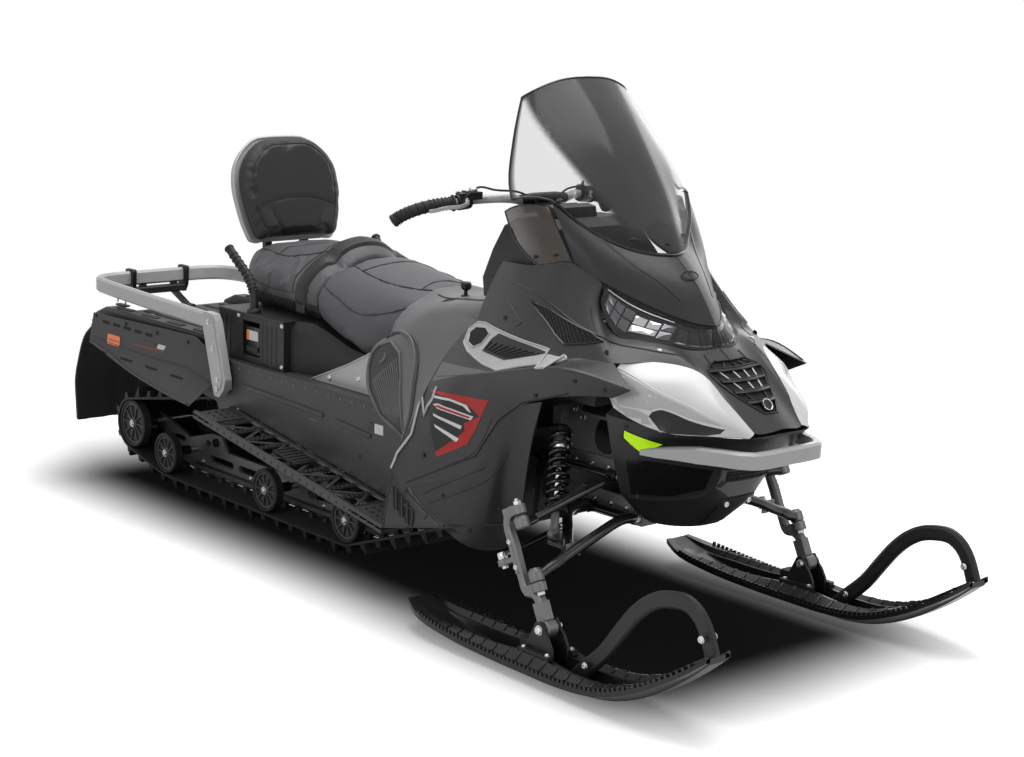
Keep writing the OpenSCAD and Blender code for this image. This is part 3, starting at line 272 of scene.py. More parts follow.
M = dict(
    charcoal=surface("charcoal_plastic", (0.026, 0.026, 0.028), 0.38, grain=(1400, 0.05), coat=0.06),
    graphite=surface("graphite_plastic", (0.020, 0.020, 0.022), 0.42, grain=(1400, 0.06), coat=0.04),
    black=surface("black_plastic", (0.012, 0.012, 0.012), 0.45, grain=(1300, 0.2)),
    gloss=surface("gloss_black", (0.007, 0.007, 0.007), 0.2, grain=(60, 0.02), coat=0.15),
    cowl=surface("satin_black", (0.019, 0.019, 0.020), 0.38, grain=(1500, 0.04), coat=0.04),
    white=surface("light_silver", (0.60, 0.60, 0.61), 0.34, metal=0.1, grain=(1800, 0.03), var=0.04,
                  coat=0.3),
    silver=surface("silver_grey", (0.40, 0.40, 0.405), 0.36, metal=0.1, grain=(1600, 0.06), var=0.06,
                   coat=0.1),
    rack=surface("rack_silver", (0.42, 0.42, 0.425), 0.38, metal=0.1, grain=(1500, 0.06), var=0.06),
    panel=surface("tunnel_coat", (0.044, 0.044, 0.046), 0.46, metal=0.1, grain=(1500, 0.12)),
    skirt=surface("skirt_plastic", (0.040, 0.040, 0.042), 0.55, grain=(1100, 0.18)),
    grey=surface("grey_plastic", (0.115, 0.116, 0.12), 0.44, grain=(1200, 0.12)),
    vinyl=surface("grey_vinyl", (0.082, 0.083, 0.088), 0.50, grain=(620, 0.16), leather=True),
    vinyl_dark=surface("charcoal_vinyl", (0.021, 0.021, 0.023), 0.55, grain=(620, 0.2), leather=True),
    vinyl_black=surface("black_vinyl", (0.012, 0.012, 0.012), 0.42, grain=(620, 0.14), leather=True),
    rubber=surface("black_rubber", (0.013, 0.013, 0.013), 0.66, grain=(420, 0.4), dust=0.012),
    wheel=surface("wheel_plastic", (0.052, 0.052, 0.053), 0.55, grain=(900, 0.2)),
    rail=surface("rail_alloy", (0.14, 0.14, 0.142), 0.42, metal=0.6, grain=(900, 0.15),
                 stretch=(0.1, 1, 4)),
    cast=surface("cast_alloy", (0.16, 0.16, 0.163), 0.46, metal=0.55, grain=(700, 0.4), var=0.2),
    zinc=surface("zinc_steel", (0.5, 0.5, 0.5), 0.28, metal=1.0, grain=(900, 0.1)),
    mirror=surface("dark_reflector", (0.16, 0.16, 0.17), 0.14, metal=1.0, grain=(60, 0.02), rough_var=0.04),
    chrome=surface("chrome", (0.75, 0.75, 0.77), 0.08, metal=1.0, grain=(60, 0.02), var=0.02,
                   rough_var=0.03),
    arm=surface("gloss_arm", (0.009, 0.009, 0.009), 0.24, grain=(500, 0.08), coat=0.15),
    ski=surface("ski_plastic", (0.008, 0.008, 0.008), 0.32, grain=(500, 0.15), dust=0.004),
    smoke=surface("smoked_screen", (0.055, 0.042, 0.030), 0.07, grain=(40, 0.02), alpha=0.8, coat=0.5),
    screen=surface("tinted_screen", (0.050, 0.050, 0.051), 0.16, grain=(30, 0.01), attribute="tint",
                   specular=0.16),
    lens=surface("clear_lens", (0.05, 0.052, 0.055), 0.03, grain=(30, 0.01), alpha=0.14, coat=0.35),
    # painted glow: the two reflector colours emit light of their own, though they are no lamps
    green=surface("lime_reflector", (0.50, 0.86, 0.0), 0.3, grain=(300, 0.5), painted_glow=0.28, var=0.02),
    orange=surface("orange_reflector", (0.75, 0.14, 0.01), 0.25, grain=(300, 0.6), painted_glow=0.1, coat=0.4),
    red=surface("red_graphic", (0.36, 0.018, 0.016), 0.36, grain=(1500, 0.03), var=0.04),
    paper=surface("white_graphic", (0.62, 0.62, 0.62), 0.38, grain=(1500, 0.03), var=0.03),
    ink=surface("black_graphic", (0.010, 0.010, 0.010), 0.3, grain=(1500, 0.03)),
    red_lens=surface("red_lens", (0.35, 0.008, 0.008), 0.14, grain=(220, 0.4), coat=0.6),
    # painted shade: near-black that stands in for the shade inside slots, vents, openings and panel gaps
    void=surface("painted_shade_black", (0.004, 0.004, 0.004), 0.8, grain=(200, 0.1)),
)


# ------------------------------ shape helpers
def arr(p):
    return np.array(p, float)


def spline(points, k=6, creases=(), closed=False):
    """Smooth curve through points, k steps for each span, with a corner at each index in creases"""
    P = arr(points)
    if closed:
        n = len(P)
        Q = np.vstack([P[-2:], P, P[:3]])
        full = spline(Q, k)
        return full[2 * k:(2 + n) * k]
    if len(P) < 3:
        t = np.linspace(0, 1, k + 1)[:, None]
        return P[0] * (1 - t) + P[-1] * t
    cuts = [0, *sorted(c for c in creases if 0 < c < len(P) - 1), len(P) - 1]
    out = []
    for a, b in zip(cuts, cuts[1:]):
        S = P[a:b + 1]
        if len(S) == 2:
            t = np.linspace(0, 1, k + 1)[:, None]
            seg = S[0] * (1 - t) + S[1] * t
        else:
            d = np.maximum(np.linalg.norm(np.diff(S, axis=0), axis=1), 1e-6)[:, None]
            slope = np.diff(S, axis=0) / d
            mid = (slope[:-1] * d[1:] + slope[1:] * d[:-1]) / (d[:-1] + d[1:])
            T = np.vstack([1.5 * slope[:1] - 0.5 * mid[:1], mid, 1.5 * slope[-1:] - 0.5 * mid[-1:]])
            seg = []
            t = np.linspace(0, 1, k + 1)[:-1, None]
            h = (2 * t**3 - 3 * t**2 + 1, t**3 - 2 * t**2 + t, -2 * t**3 + 3 * t**2, t**3 - t**2)
            for i in range(len(S) - 1):
                seg.append(h[0] * S[i] + h[1] * d[i] * T[i] + h[2] * S[i + 1] + h[3] * d[i] * T[i + 1])
            seg = np.vstack([*seg, S[-1:]])
        out.append(seg if not out else seg[1:])
    return np.vstack(out)


def dense(net, ki=6, kj=6, ci=(), cj=()):
    """A smooth grid through a net of points, creased at the rows ci and the columns cj"""
    rows = [spline(r, kj, cj) for r in net]
    cols = [spline([r[j] for r in rows], ki, ci) for j in range(len(rows[0]))]
    return np.array(cols).transpose(1, 0, 2)


def across(net):
    """Rows of [x, outboard, z] that end on the centre line, from the right side to the left"""
    return [[(p[0], -p[1], p[2]) for p in r] + [tuple(p) for p in reversed(r[:-1])] for r in net]


def core(P):
    """Point of the machine's core line that a place on its bodywork looks in to"""
    c = np.zeros_like(P)
    c[..., 0] = np.clip(P[..., 0], 420, 980)
    c[..., 2] = 560
    return c


def sunk(P, t):
    """Places moved in toward the core line by t"""
    d = core(P) - P
    return P + t * d / np.linalg.norm(d, axis=-1, keepdims=True)


def curve(points, k=6):
    """Smooth curve through 2-D points"""
    return spline([(*p, 0) for p in points], k)[:, :2]


def grid_faces(rows, cols, base=0, flip=False):
    """Quads of a grid whose first vertex is base"""
    f = [(base + i * cols + j, base + i * cols + j + 1, base + (i + 1) * cols + j + 1,
          base + (i + 1) * cols + j)
         for i in range(rows - 1) for j in range(cols - 1)]
    return [tuple(reversed(q)) for q in f] if flip else f


def edge_of(rows, cols):
    """Indices round a grid's edge"""
    return [*range(cols), *[i * cols + cols - 1 for i in range(1, rows)],
            *[(rows - 1) * cols + j for j in range(cols - 2, -1, -1)],
            *[i * cols for i in range(rows - 2, 0, -1)]]


def shell(G, inner):
    """Vertices and faces of a closed sheet between two grids of the same size"""
    r, c = G.shape[:2]
    n = r * c
    edge = edge_of(r, c)
    f = grid_faces(r, c) + grid_faces(r, c, n, True)
    f += [(b, a, a + n, b + n) for a, b in zip(edge, edge[1:] + edge[:1])]
    return np.vstack([G.reshape(-1, 3), inner.reshape(-1, 3)]), f


def sheet(G, t):
    """Sheet of thickness t whose outer face is the grid G"""
    return shell(G, sunk(G, t))


def skin(rings):
    """Closed loft through rings of points, with flat ends"""
    R = arr(rings)
    n, m = R.shape[:2]
    f = [(i * m + j, i * m + (j + 1) % m, (i + 1) * m + (j + 1) % m, (i + 1) * m + j)
         for i in range(n - 1) for j in range(m)]
    f += [tuple(range(m - 1, -1, -1)), tuple((n - 1) * m + j for j in range(m))]
    return R.reshape(-1, 3), f


def unit(v):
    v = arr(v)
    return v / max(np.linalg.norm(v), 1e-9)


def sweep(path, profile, ref=(0, 0, 1), caps=True, scale=None, closed=False):
    """Profile of (side, up) points carried along a path"""
    P, Q = arr(path), arr(profile)
    n, m = len(P), len(Q)
    v = []
    for i in range(n):
        a, b = (P[(i - 1) % n], P[(i + 1) % n]) if closed else (P[max(i - 1, 0)], P[min(i + 1, n - 1)])
        along = unit(b - a)
        side = unit(np.cross(along, ref))
        up = np.cross(side, along)
        s = 1 if scale is None else scale[i]
        v += [P[i] + s * (side * q[0] + up * q[1]) for q in Q]
    f = []
    for i in range(n if closed else n - 1):
        k = (i + 1) % n
        f += [(i * m + j, i * m + (j + 1) % m, k * m + (j + 1) % m, k * m + j) for j in range(m)]
    if caps and not closed:
        f += [tuple(range(m - 1, -1, -1)), tuple((n - 1) * m + j for j in range(m))]
    return np.array(v), f


def ring(r, n=12, squash=1.0):
    """Round profile for a sweep"""
    return [(r * math.cos(2 * math.pi * k / n), r * squash * math.sin(2 * math.pi * k / n))
            for k in range(n)]


def tube(path, r, n=12, k=5, ref=(0, 0, 1), smooth=True):
    """Round bar along a path"""
    P = spline(path, k) if smooth and len(path) > 2 else arr(path)
    return sweep(P, ring(r, n), ref)


def box_profile(w, h, c):
    """Rectangle with corners cut by c, for a sweep"""
    return [(w / 2 - c, -h / 2), (w / 2, -h / 2 + c), (w / 2, h / 2 - c), (w / 2 - c, h / 2),
            (-w / 2 + c, h / 2), (-w / 2, h / 2 - c), (-w / 2, -h / 2 + c), (-w / 2 + c, -h / 2)]


def frame_at(axis):
    """Turn that carries +Z to an axis"""
    return Vector(axis).normalized().to_track_quat("Z", "Y").to_matrix()


def lathe(profile, place, axis=(0, 0, 1), n=20, closed=False):
    """Solid of revolution: profile of (radius, height) along the axis from place"""
    R = np.array(frame_at(axis))
    pr = arr(profile)
    v = []
    for r, h in pr:
        for k in range(n):
            a = 2 * math.pi * k / n
            v.append(R @ arr((r * math.cos(a), r * math.sin(a), h)) + arr(place))
    m = len(pr)
    f = []
    for i in range(m if closed else m - 1):
        q = (i + 1) % m
        f += [(i * n + k, i * n + (k + 1) % n, q * n + (k + 1) % n, q * n + k) for k in range(n)]
    if not closed:
        if pr[0][0] > 1e-6:
            f.append(tuple(range(n - 1, -1, -1)))
        if pr[-1][0] > 1e-6:
            f.append(tuple((m - 1) * n + k for k in range(n)))
    return np.array(v), f


def block(center, size, turn=None):
    """Box, turned by a matrix of its axes where one is given"""
    c, s = arr(center), arr(size) / 2
    v = np.array([(x, y, z) for x in (-1, 1) for y in (-1, 1) for z in (-1, 1)], float) * s
    if turn is not None:
        v = v @ np.array(turn).T
    return v + c, [(0, 1, 3, 2), (4, 6, 7, 5), (0, 4, 5, 1), (2, 3, 7, 6), (0, 2, 6, 4), (1, 5, 7, 3)]


def prism(outline, normal_axis, low, high):
    """Outline raised along an axis: its points are (y, z) for axis 0, (x, z) for 1 and (x, y) for 2"""
    def at(p, h):
        q = list(p)
        q.insert(normal_axis, h)
        return q
    n = len(outline)
    v = [at(p, low) for p in outline] + [at(p, high) for p in outline]
    f = [tuple(range(n)), tuple(2 * n - 1 - k for k in range(n))]
    f += [((k + 1) % n, k, n + k, n + (k + 1) % n) for k in range(n)]
    return np.array(v, float), f


def bush(place, axis, inner, outer, half, n=20):
    """Plain ring from -half to half along an axis"""
    return lathe([(inner, -half), (outer, -half), (outer, half), (inner, half)], place, axis, n,
                 closed=True)


def bolt(place, axis, r=6, h=4):
    """Round socket head"""
    return lathe([(r * 1.25, 0), (r * 1.25, h * 0.25), (r, h * 0.3), (r, h * 0.85), (r * 0.8, h),
                  (r * 0.45, h), (r * 0.4, h * 0.6), (0, h * 0.6)],
                 place, axis, 12)


def shade(me, angle):
    """Smooth shading that breaks at edges sharper than the angle"""
    me.polygons.foreach_set("use_smooth", [True] * len(me.polygons))
    me.set_sharp_from_angle(angle=math.radians(angle))


def soften(o, width, angle, segments=1):
    """Rounds the edges that are sharper than the angle"""
    b = o.modifiers.new("edges", "BEVEL")
    b.width = width * MM
    b.segments = segments
    b.limit_method = "ANGLE"
    b.angle_limit = math.radians(angle)
    b.harden_normals = True


def shown(name, me):
    """A new object in the scene"""
    o = bpy.data.objects.new(name, me)
    bpy.context.scene.collection.objects.link(o)
    return o


def baked(o):
    """Takes the object's modifiers into its mesh"""
    bpy.context.view_layer.update()
    me = bpy.data.meshes.new_from_object(o.evaluated_get(bpy.context.evaluated_depsgraph_get()))
    o.modifiers.clear()
    o.data = me
    return me


def cut_out(o, tool, overlapping=False):
    """Takes the tool's mesh out of the object"""
    t = shown("cutter", tool)
    b = o.modifiers.new("cut", "BOOLEAN")
    b.object = t
    b.solver = "EXACT"
    b.use_self = overlapping
    me = baked(o)
    bpy.data.objects.remove(t)
    return me


class Part:
    """Meshes gathered under one name, then made into one object that rides on a body"""

    def __init__(self, name, mat, body="chassis"):
        self.name, self.body, self.mats = name, body, [mat]
        self.v, self.f, self.m, self.count = [], [], [], 0

    def add(self, shape, mat=None):
        v, f = shape
        if mat and mat not in self.mats:
            self.mats.append(mat)
        k = self.mats.index(mat) if mat else 0
        self.v.append(arr(v))
        self.f += [tuple(i + self.count for i in q) for q in f]
        self.m += [k] * len(f)
        self.count += len(v)
        return self

    def both(self, shape, mat=None):
        """The shape on the right side, and its mirror image on the left"""
        v, f = shape
        w = arr(v) * (1, -1, 1)
        self.add((v, f), mat)
        return self.add((w, [tuple(reversed(q)) for q in f]), mat)

    def mesh(self, weld=False):
        me = bpy.data.meshes.new(self.name)
        me.from_pydata((np.vstack(self.v) * MM).tolist(), [], self.f)
        for k in self.mats:
            me.materials.append(M[k])
        me.polygons.foreach_set("material_index", self.m)
        bm = bmesh.new()
        bm.from_mesh(me)
        if weld:
            bmesh.ops.remove_doubles(bm, verts=bm.verts, dist=1e-6)
        bmesh.ops.recalc_face_normals(bm, faces=bm.faces)
        bm.to_mesh(me)
        bm.free()
        return me

    def done(self, bevel=0.0, angle=32, replaces=()):
        me = self.mesh()
        shade(me, angle)
        o = shown(self.name, me)
        if bevel:
            soften(o, bevel, angle, 2)
        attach(o, self.body)
        if replaces:
            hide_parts(*replaces)
        return o


def carve(name, mat, node, cutters, bevel):
    """A node's own shape with cutters, each (vertices, faces), taken out of it"""
    src = nodes[node]
    me = src.data.copy()
    me.transform(src.matrix_world)
    o = shown(name, me)
    cut = Part(name + "_cut", mat)
    for c in cutters:
        cut.add(c)
    new = cut_out(o, cut.mesh(), overlapping=True)
    new.materials.clear()
    new.materials.append(M[mat])
    new.polygons.foreach_set("material_index", [0] * len(new.polygons))
    shade(new, 32)
    soften(o, bevel, 34)
    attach(o, "chassis")
    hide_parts(node)
    return o


def paint(mat, *names):
    """A better material for CAD nodes that stay"""
    for n in names:
        nodes[n].data.materials.clear()
        nodes[n].data.materials.append(M[mat])


def tree_of(o):
    """Ray target of an object's mesh, in millimetres"""
    me = o.data
    return BVHTree.FromPolygons([tuple(v.co * 1000) for v in me.vertices],
                                [tuple(p.vertices) for p in me.polygons])


def onto(tree, p, direction, lift=0.6):
    """Where a ray from p meets the target, raised by lift towards where it came from"""
    hit = tree.ray_cast(Vector(p), Vector(direction))
    if hit[0] is None:
        hit = tree.find_nearest(Vector(p))
    n = hit[1]
    if n.dot(Vector(direction)) > 0:
        n = -n
    return arr(hit[0] + n * lift)


def decal(outline, tree, start, direction, step=14, lift=0.6):
    """Flat 2-D outline laid on a surface: start(u, v) gives the ray's start"""
    bm = bmesh.new()
    bm.faces.new([bm.verts.new((u, v, 0)) for u, v in outline])
    for axis in (0, 1):
        lo, hi = min(p[axis] for p in outline), max(p[axis] for p in outline)
        c = math.ceil(lo / step) * step
        while c < hi:
            geom = bm.verts[:] + bm.edges[:] + bm.faces[:]
            co, no = [0, 0, 0], [0, 0, 0]
            co[axis], no[axis] = c, 1
            bmesh.ops.bisect_plane(bm, geom=geom, plane_co=co, plane_no=no, dist=1e-4)
            c += step
    bmesh.ops.triangulate(bm, faces=bm.faces)
    bm.verts.ensure_lookup_table()
    v = [onto(tree, start(w.co.x, w.co.y), direction, lift) for w in bm.verts]
    f = [tuple(q.index for q in p.verts) for p in bm.faces]
    bm.free()
    return np.array(v), f


# ------------------------------ body panels
hood_edge = [(500, 262, 772), (700, 303, 764), (810, 311.5, 757), (920, 320, 750), (985, 291.6, 747),
             (1030, 272, 745), (1105, 185, 750), (1180, 128, 733), (1262, 108, 668), (1330, 85, 604)]
shoulder = [(430, 362, 603), (560, 376, 640), (600, 378, 650), (680, 382, 670), (780, 383.7, 693.7),
            (960, 371, 729), (1140, 318, 702)]
step_line = [(358, 430, 366), (405, 426, 321), (660, 386, 447), (733, 372, 557), (800, 354, 608),
             (950, 335, 655), (1075, 315, 672)]
cowl_rim = [(829, 224, 959), (894, 190, 919), (962, 140, 880), (1050, 79, 842), (1086, 40, 827),
            (1107, 0, 822)]
lamp_rim = [(897, 203, 886), (967, 205, 796), (1057, 140, 785), (1120, 50, 769), (1122, 0, 771)]
screen_foot = [(752, 242, 1110), (810, 200, 1059), (881, 120, 1004), (936, 55, 984), (950, 28, 982),
               (958, 0, 981)]


def part_way(a, b, t):
    """Point between a and b"""
    return tuple(arr(a) * (1 - t) + arr(b) * t)


def bowed(a, b, t, rise):
    """Row between two rows, pushed out by rise"""
    out = []
    for p, q in zip(a, b):
        m = arr(part_way(p, q, t))
        out.append(tuple(m + rise * unit(m - core(m))))
    return out


def side(net):
    """Rows of [x, outboard, z] on the right side"""
    return [[(p[0], -p[1], p[2]) for p in r] for r in net]


side_net = [[(440, 318, 672), *hood_edge[:6]], shoulder, step_line]
lower_net = [
    [*step_line[1:5], (858, 346.7, 626)],
    [(500, 431, 287), (620, 408, 320), (700, 372, 400), (745, 345, 470), (812, 333, 520)],
    [(590, 435, 255), (622, 398, 215), (650, 360, 196), (690, 315, 200), (745, 300, 300)]]
hood_outer = [*hood_edge, (1347, 0, 608)]
hood_inner = [(540, 212, 930), (700, 238, 940), cowl_rim[0], cowl_rim[1], lamp_rim[0], lamp_rim[1],
              part_way(lamp_rim[1], lamp_rim[2], 0.6), lamp_rim[2], part_way(lamp_rim[2], lamp_rim[3], 0.5),
              lamp_rim[3], lamp_rim[4]]
hood_net = [hood_outer, bowed(hood_outer, hood_inner, 0.3, 5), bowed(hood_outer, hood_inner, 0.65, 6),
            hood_inner]
fender_net = [
    [(1042, 258.1, 745.8), *hood_edge[6:]],
    [(1034, 290, 700), (1120, 255, 695), (1205, 190, 675), (1285, 150, 637), (1337, 98, 600)],
    [(1050, 286, 640), (1120, 268, 612), (1190, 236, 596), (1262, 172, 594), (1335, 108, 594)]]
belly_net = [
    [*fender_net[2], (1350, 0, 598)],
    [(1000, 262, 612), (1120, 235, 600), (1200, 186, 588), (1270, 142, 587), (1337, 92, 590),
     (1350, 0, 592)],
    [(1010, 245, 510), (1056, 222, 490), (1120, 180, 488), (1190, 130, 488), (1240, 90, 488),
     (1255, 0, 486)],
    [(1000, 200, 400), (1035, 184, 400), (1090, 140, 400), (1150, 100, 400), (1205, 60, 400),
     (1215, 0, 400)],
    [(985, 112, 325), (1015, 102, 315), (1050, 85, 312), (1090, 62, 314), (1120, 34, 318), (1128, 0, 320)]]
cowl_net = [screen_foot, bowed(screen_foot, cowl_rim, 0.5, 16), cowl_rim]
windshield_net = [
    [(668, 300, 1108), *screen_foot],
    [(640, 285, 1142), (722, 232, 1160), (778, 185, 1140), (830, 115, 1112), (862, 58, 1100),
     (868, 28, 1098), (870, 0, 1097)],
    [(605, 246, 1245), (660, 205, 1258), (700, 160, 1258), (735, 104, 1257), (758, 52, 1255),
     (762, 26, 1255), (763, 0, 1255)],
    [(566, 187, 1355), (588, 160, 1375), (598, 125, 1390), (605, 85, 1401), (610, 42, 1406),
     (611, 20, 1406.5), (611, 0, 1407)]]
deflector_net = [
    [(600, 262, 1068), (664, 272, 1090), (740, 238, 1095)],
    [(610, 236, 1000), (690, 246, 1010), (775, 232, 1030)],
    [(705, 237.5, 940.7), (750, 232.6, 947.4), (822, 224.8, 958)]]


def panel(name, mat, net, t=5, both=True, ki=6, kj=6, ci=(), cj=(), replaces=()):
    """A panel made from a net of points, and the grid of its outer face"""
    G = dense(side(net) if both else across(net), ki, kj, ci, cj)
    p = Part(name, mat)
    (p.both if both else p.add)(sheet(G, t))
    return p.done(bevel=1.2, angle=38, replaces=replaces), G


side_obj = panel("side_panels", "charcoal", side_net, ci=(1,),
                 replaces=("side_panel_right", "side_panel_left"))[0]
lower_obj = panel("lower_side_panels", "graphite", lower_net, replaces=("lower_panels",))[0]
fender_obj = panel("nose_fenders", "white", fender_net, replaces=("fenders",))[0]
belly_obj = panel("belly_pan_shell", "graphite", belly_net, both=False, ci=(1, 2, 3),
                  replaces=("belly_pan",))[0]
cowl_obj = panel("cowl_shell", "cowl", cowl_net, both=False, cj=(5,), ki=8,
                 replaces=("windshield_cowl",))[0]
hood_obj, hood_grid = panel("hood_shell", "charcoal", hood_net, both=False, replaces=("hood",))


def windshield():
    G = dense(across(windshield_net), 8, 6)
    p = Part("windshield_sheet", "screen")
    p.add(sheet(G, 4))
    o = p.done(replaces=("windshield",), angle=50)
    r, c = G.shape[:2]
    u = np.abs(np.linspace(-1, 1, c))[None, :].repeat(r, 0)
    v = np.linspace(0, 1, r)[:, None].repeat(c, 1)
    # dark centre between clear side bands, which widen toward the cowl
    edge = np.clip((0.40 + 0.60 * v - u) / 0.09, 0, 1)
    foot = np.clip((v - 0.06 - 0.20 * np.clip(0.4 - u, 0, 1)) / 0.12, 0, 1)
    tint = 0.13 + 0.85 * (edge * edge * (3 - 2 * edge)) * (foot * foot * (3 - 2 * foot))
    rim = np.maximum(u > 0.985, v > 0.985)
    tint = np.where(rim, 0.9, tint)
    a = o.data.attributes.new("tint", "FLOAT", "POINT")
    a.data.foreach_set("value", np.concatenate([tint.ravel(), tint.ravel()]).astype(np.float32))
    return G


windshield_grid = windshield()
deflector_grid = panel("deflector_sheets", "smoke", deflector_net, t=4, replaces=("wind_deflectors",))[1]

# ------------------------------ plain finishes for CAD pieces that stay
paint("panel", "tunnel")
paint("arm", "tow_hitch")
paint("black", "dash")
paint("cast", "front_frame", "engine")


# ------------------------------ track, wheels and rails
# half spacings of the outer wheels and of the rails, and the number of steps round the belt
WHEEL_Y = 280
RAIL_Y = 170
PITCHES = 108
IDLERS = [(-1026, 107.5), (-448, 107.5), (-33, 107.5)]
REAR_AXLE, SPROCKET, CARRIER = (-1235, 168), (440, 292), (-620, 300)
BELT = [(*REAR_AXLE, 80), (*CARRIER, 60), (*SPROCKET, 85), (-33, 107.5, 67.5), (-1026, 107.5, 67.5)]


def belt(offset, arc_steps=9):
    """Closed path of (x, z) round the wheels, raised by offset"""
    n = len(BELT)
    normals = []
    for i in range(n):
        (ax, az, ar), (bx, bz, br) = BELT[i], BELT[(i + 1) % n]
        d = math.hypot(bx - ax, bz - az)
        normals.append(math.atan2(bz - az, bx - ax) + math.acos(max(-1, min(1, (ar - br) / d))))
    pts = []
    for i in range(n):
        x, z, r = BELT[i]
        before, after = normals[i - 1], normals[i]
        turn = (after - before) % (2 * math.pi) - 2 * math.pi
        turn = turn if turn > -math.pi * 1.5 else turn + 2 * math.pi
        for k in range(arc_steps + 1):
            a = before + turn * k / arc_steps
            pts.append((x + (r + offset) * math.cos(a), z + (r + offset) * math.sin(a)))
    return arr(pts)


def along_belt(offset, count):
    """Evenly spaced places on the belt, with the directions along it and out of it"""
    P = belt(offset)
    Q = np.vstack([P, P[:1]])
    d = np.concatenate([[0], np.cumsum(np.linalg.norm(np.diff(Q, axis=0), axis=1))])
    s = np.arange(count) * d[-1] / count
    at = np.array([np.interp(s, d, Q[:, k]) for k in (0, 1)]).T
    ahead, behind = (np.array([np.interp((s + e) % d[-1], d, Q[:, k]) for k in (0, 1)]).T for e in (6, -6))
    T = ahead - behind
    T /= np.linalg.norm(T, axis=1)[:, None]
    N = np.stack([-T[:, 1], T[:, 0]], 1)
    return at, T, N


def standing(at, T, N, y, base, top, height, lift=0.0):
    """Block on the belt: base and top are (half length, half width)"""
    v = []
    for (l, w), h in ((base, lift), (top, height)):
        for sx, sy in ((-1, -1), (1, -1), (1, 1), (-1, 1)):
            p = at + T * l * sx + N * h
            v.append((p[0], y + sy * w, p[1]))
    return np.array(v), [(3, 2, 1, 0), (4, 5, 6, 7), (0, 1, 5, 4), (1, 2, 6, 5), (2, 3, 7, 6), (3, 0, 4, 7)]


def track_piece():
    p = Part("track_belt", "rubber", "chassis")
    outer, inner = belt(7.6), belt(0.4)
    n = len(outer)
    v, f = [], []
    for y in (-299, 299):
        v += [(q[0], y, q[1]) for q in outer] + [(q[0], y, q[1]) for q in inner]
    for i in range(n):
        k = (i + 1) % n
        f += [(i, k, k + 2 * n, i + 2 * n), (n + k, n + i, i + 3 * n, k + 3 * n), (n + i, n + k, k, i),
              (i + 2 * n, k + 2 * n, k + 3 * n, i + 3 * n)]
    p.add((np.array(v), f))
    at, T, N = along_belt(8, PITCHES)
    wide_row, narrow_row = ((-236, 58), (-92, 50), (92, 50), (236, 58)), ((-164, 46), (0, 60), (164, 46))
    for k in range(PITCHES):
        if k % 2 == 0:
            tall = (k // 2) % 2 == 0
            for y, w in wide_row if tall else narrow_row:
                p.add(standing(at[k], T[k], N[k], y, (9, w), (4.5, w - 5), 31, -1))
                for e in (-1, 1):
                    p.add(standing(at[k], T[k], N[k], y + e * (w - 12), (15, 5), (6, 4), 24, -1))
            for y in (-284, 284):
                p.add(standing(at[k], T[k], N[k], y, (13, 12), (8, 9), 19, -1))
        else:
            for y, w in ((-250, 34), (-120, 34), (0, 30), (120, 34), (250, 34)):
                p.add(standing(at[k], T[k], N[k], y, (4, w), (3, w - 3), 5, -1))
    inner_at, T, N = along_belt(0, PITCHES)
    for k in range(0, PITCHES, 2):
        for y in (-205, -75, 75, 205):
            p.add(standing(inner_at[k], T[k], -N[k], y, (11, 9), (6, 6), 14, -0.5))
        for y in (-RAIL_Y, RAIL_Y):
            p.add(standing(inner_at[k], T[k], -N[k], y, (16, 13), (15, 12), 1.6, 0), "zinc")
            p.add(standing(at[k], T[k], N[k], y, (14, 12), (13, 11), 1.8, 0), "zinc")
    return p.done(angle=30, replaces=("track",))


track_piece()


def wheel(p, x, z, r, y, w=30):
    """Rubber-tyred wheel with a spoked web, on the axle at (x, z)"""
    r -= 0.6
    place, h = (x, y, z), w / 2
    p.add(lathe([(r, -h + 3), (r, h - 3), (r - 3, h), (r - 11, h), (r - 12, h - 3), (r - 12, -h + 3),
                 (r - 11, -h), (r - 3, -h)],
                place, (0, 1, 0), 44, closed=True), "rubber")
    p.add(lathe([(r - 12, -h + 3.5), (r - 12, h - 3.5), (r - 18, h - 4.5), (r - 18, -h + 4.5)], place,
                (0, 1, 0), 44, closed=True), "wheel")
    p.add(lathe([(12, -2), (12, 2), (r - 17, 2), (r - 17, -2)], place, (0, 1, 0), 36, closed=True), "wheel")
    p.add(lathe([(0, -h + 1), (13, -h + 1), (19, -h + 5), (19, h - 5), (13, h - 1), (0, h - 1)], place,
                (0, 1, 0), 24), "wheel")
    p.add(lathe([(8, -h - 1), (12, -h - 1), (12, h + 1), (8, h + 1)], place, (0, 1, 0), 20, closed=True),
          "zinc")
    span = r - 17 - 17
    for k in range(10):
        a = 2 * math.pi * k / 10
        c = (x + (17 + span / 2) * math.cos(a), y, z + (17 + span / 2) * math.sin(a))
        turn = ((math.cos(a), 0, -math.sin(a)), (0, 1, 0), (math.sin(a), 0, math.cos(a)))
        p.add(block(c, (span + 2, w - 11, 5), turn), "wheel")


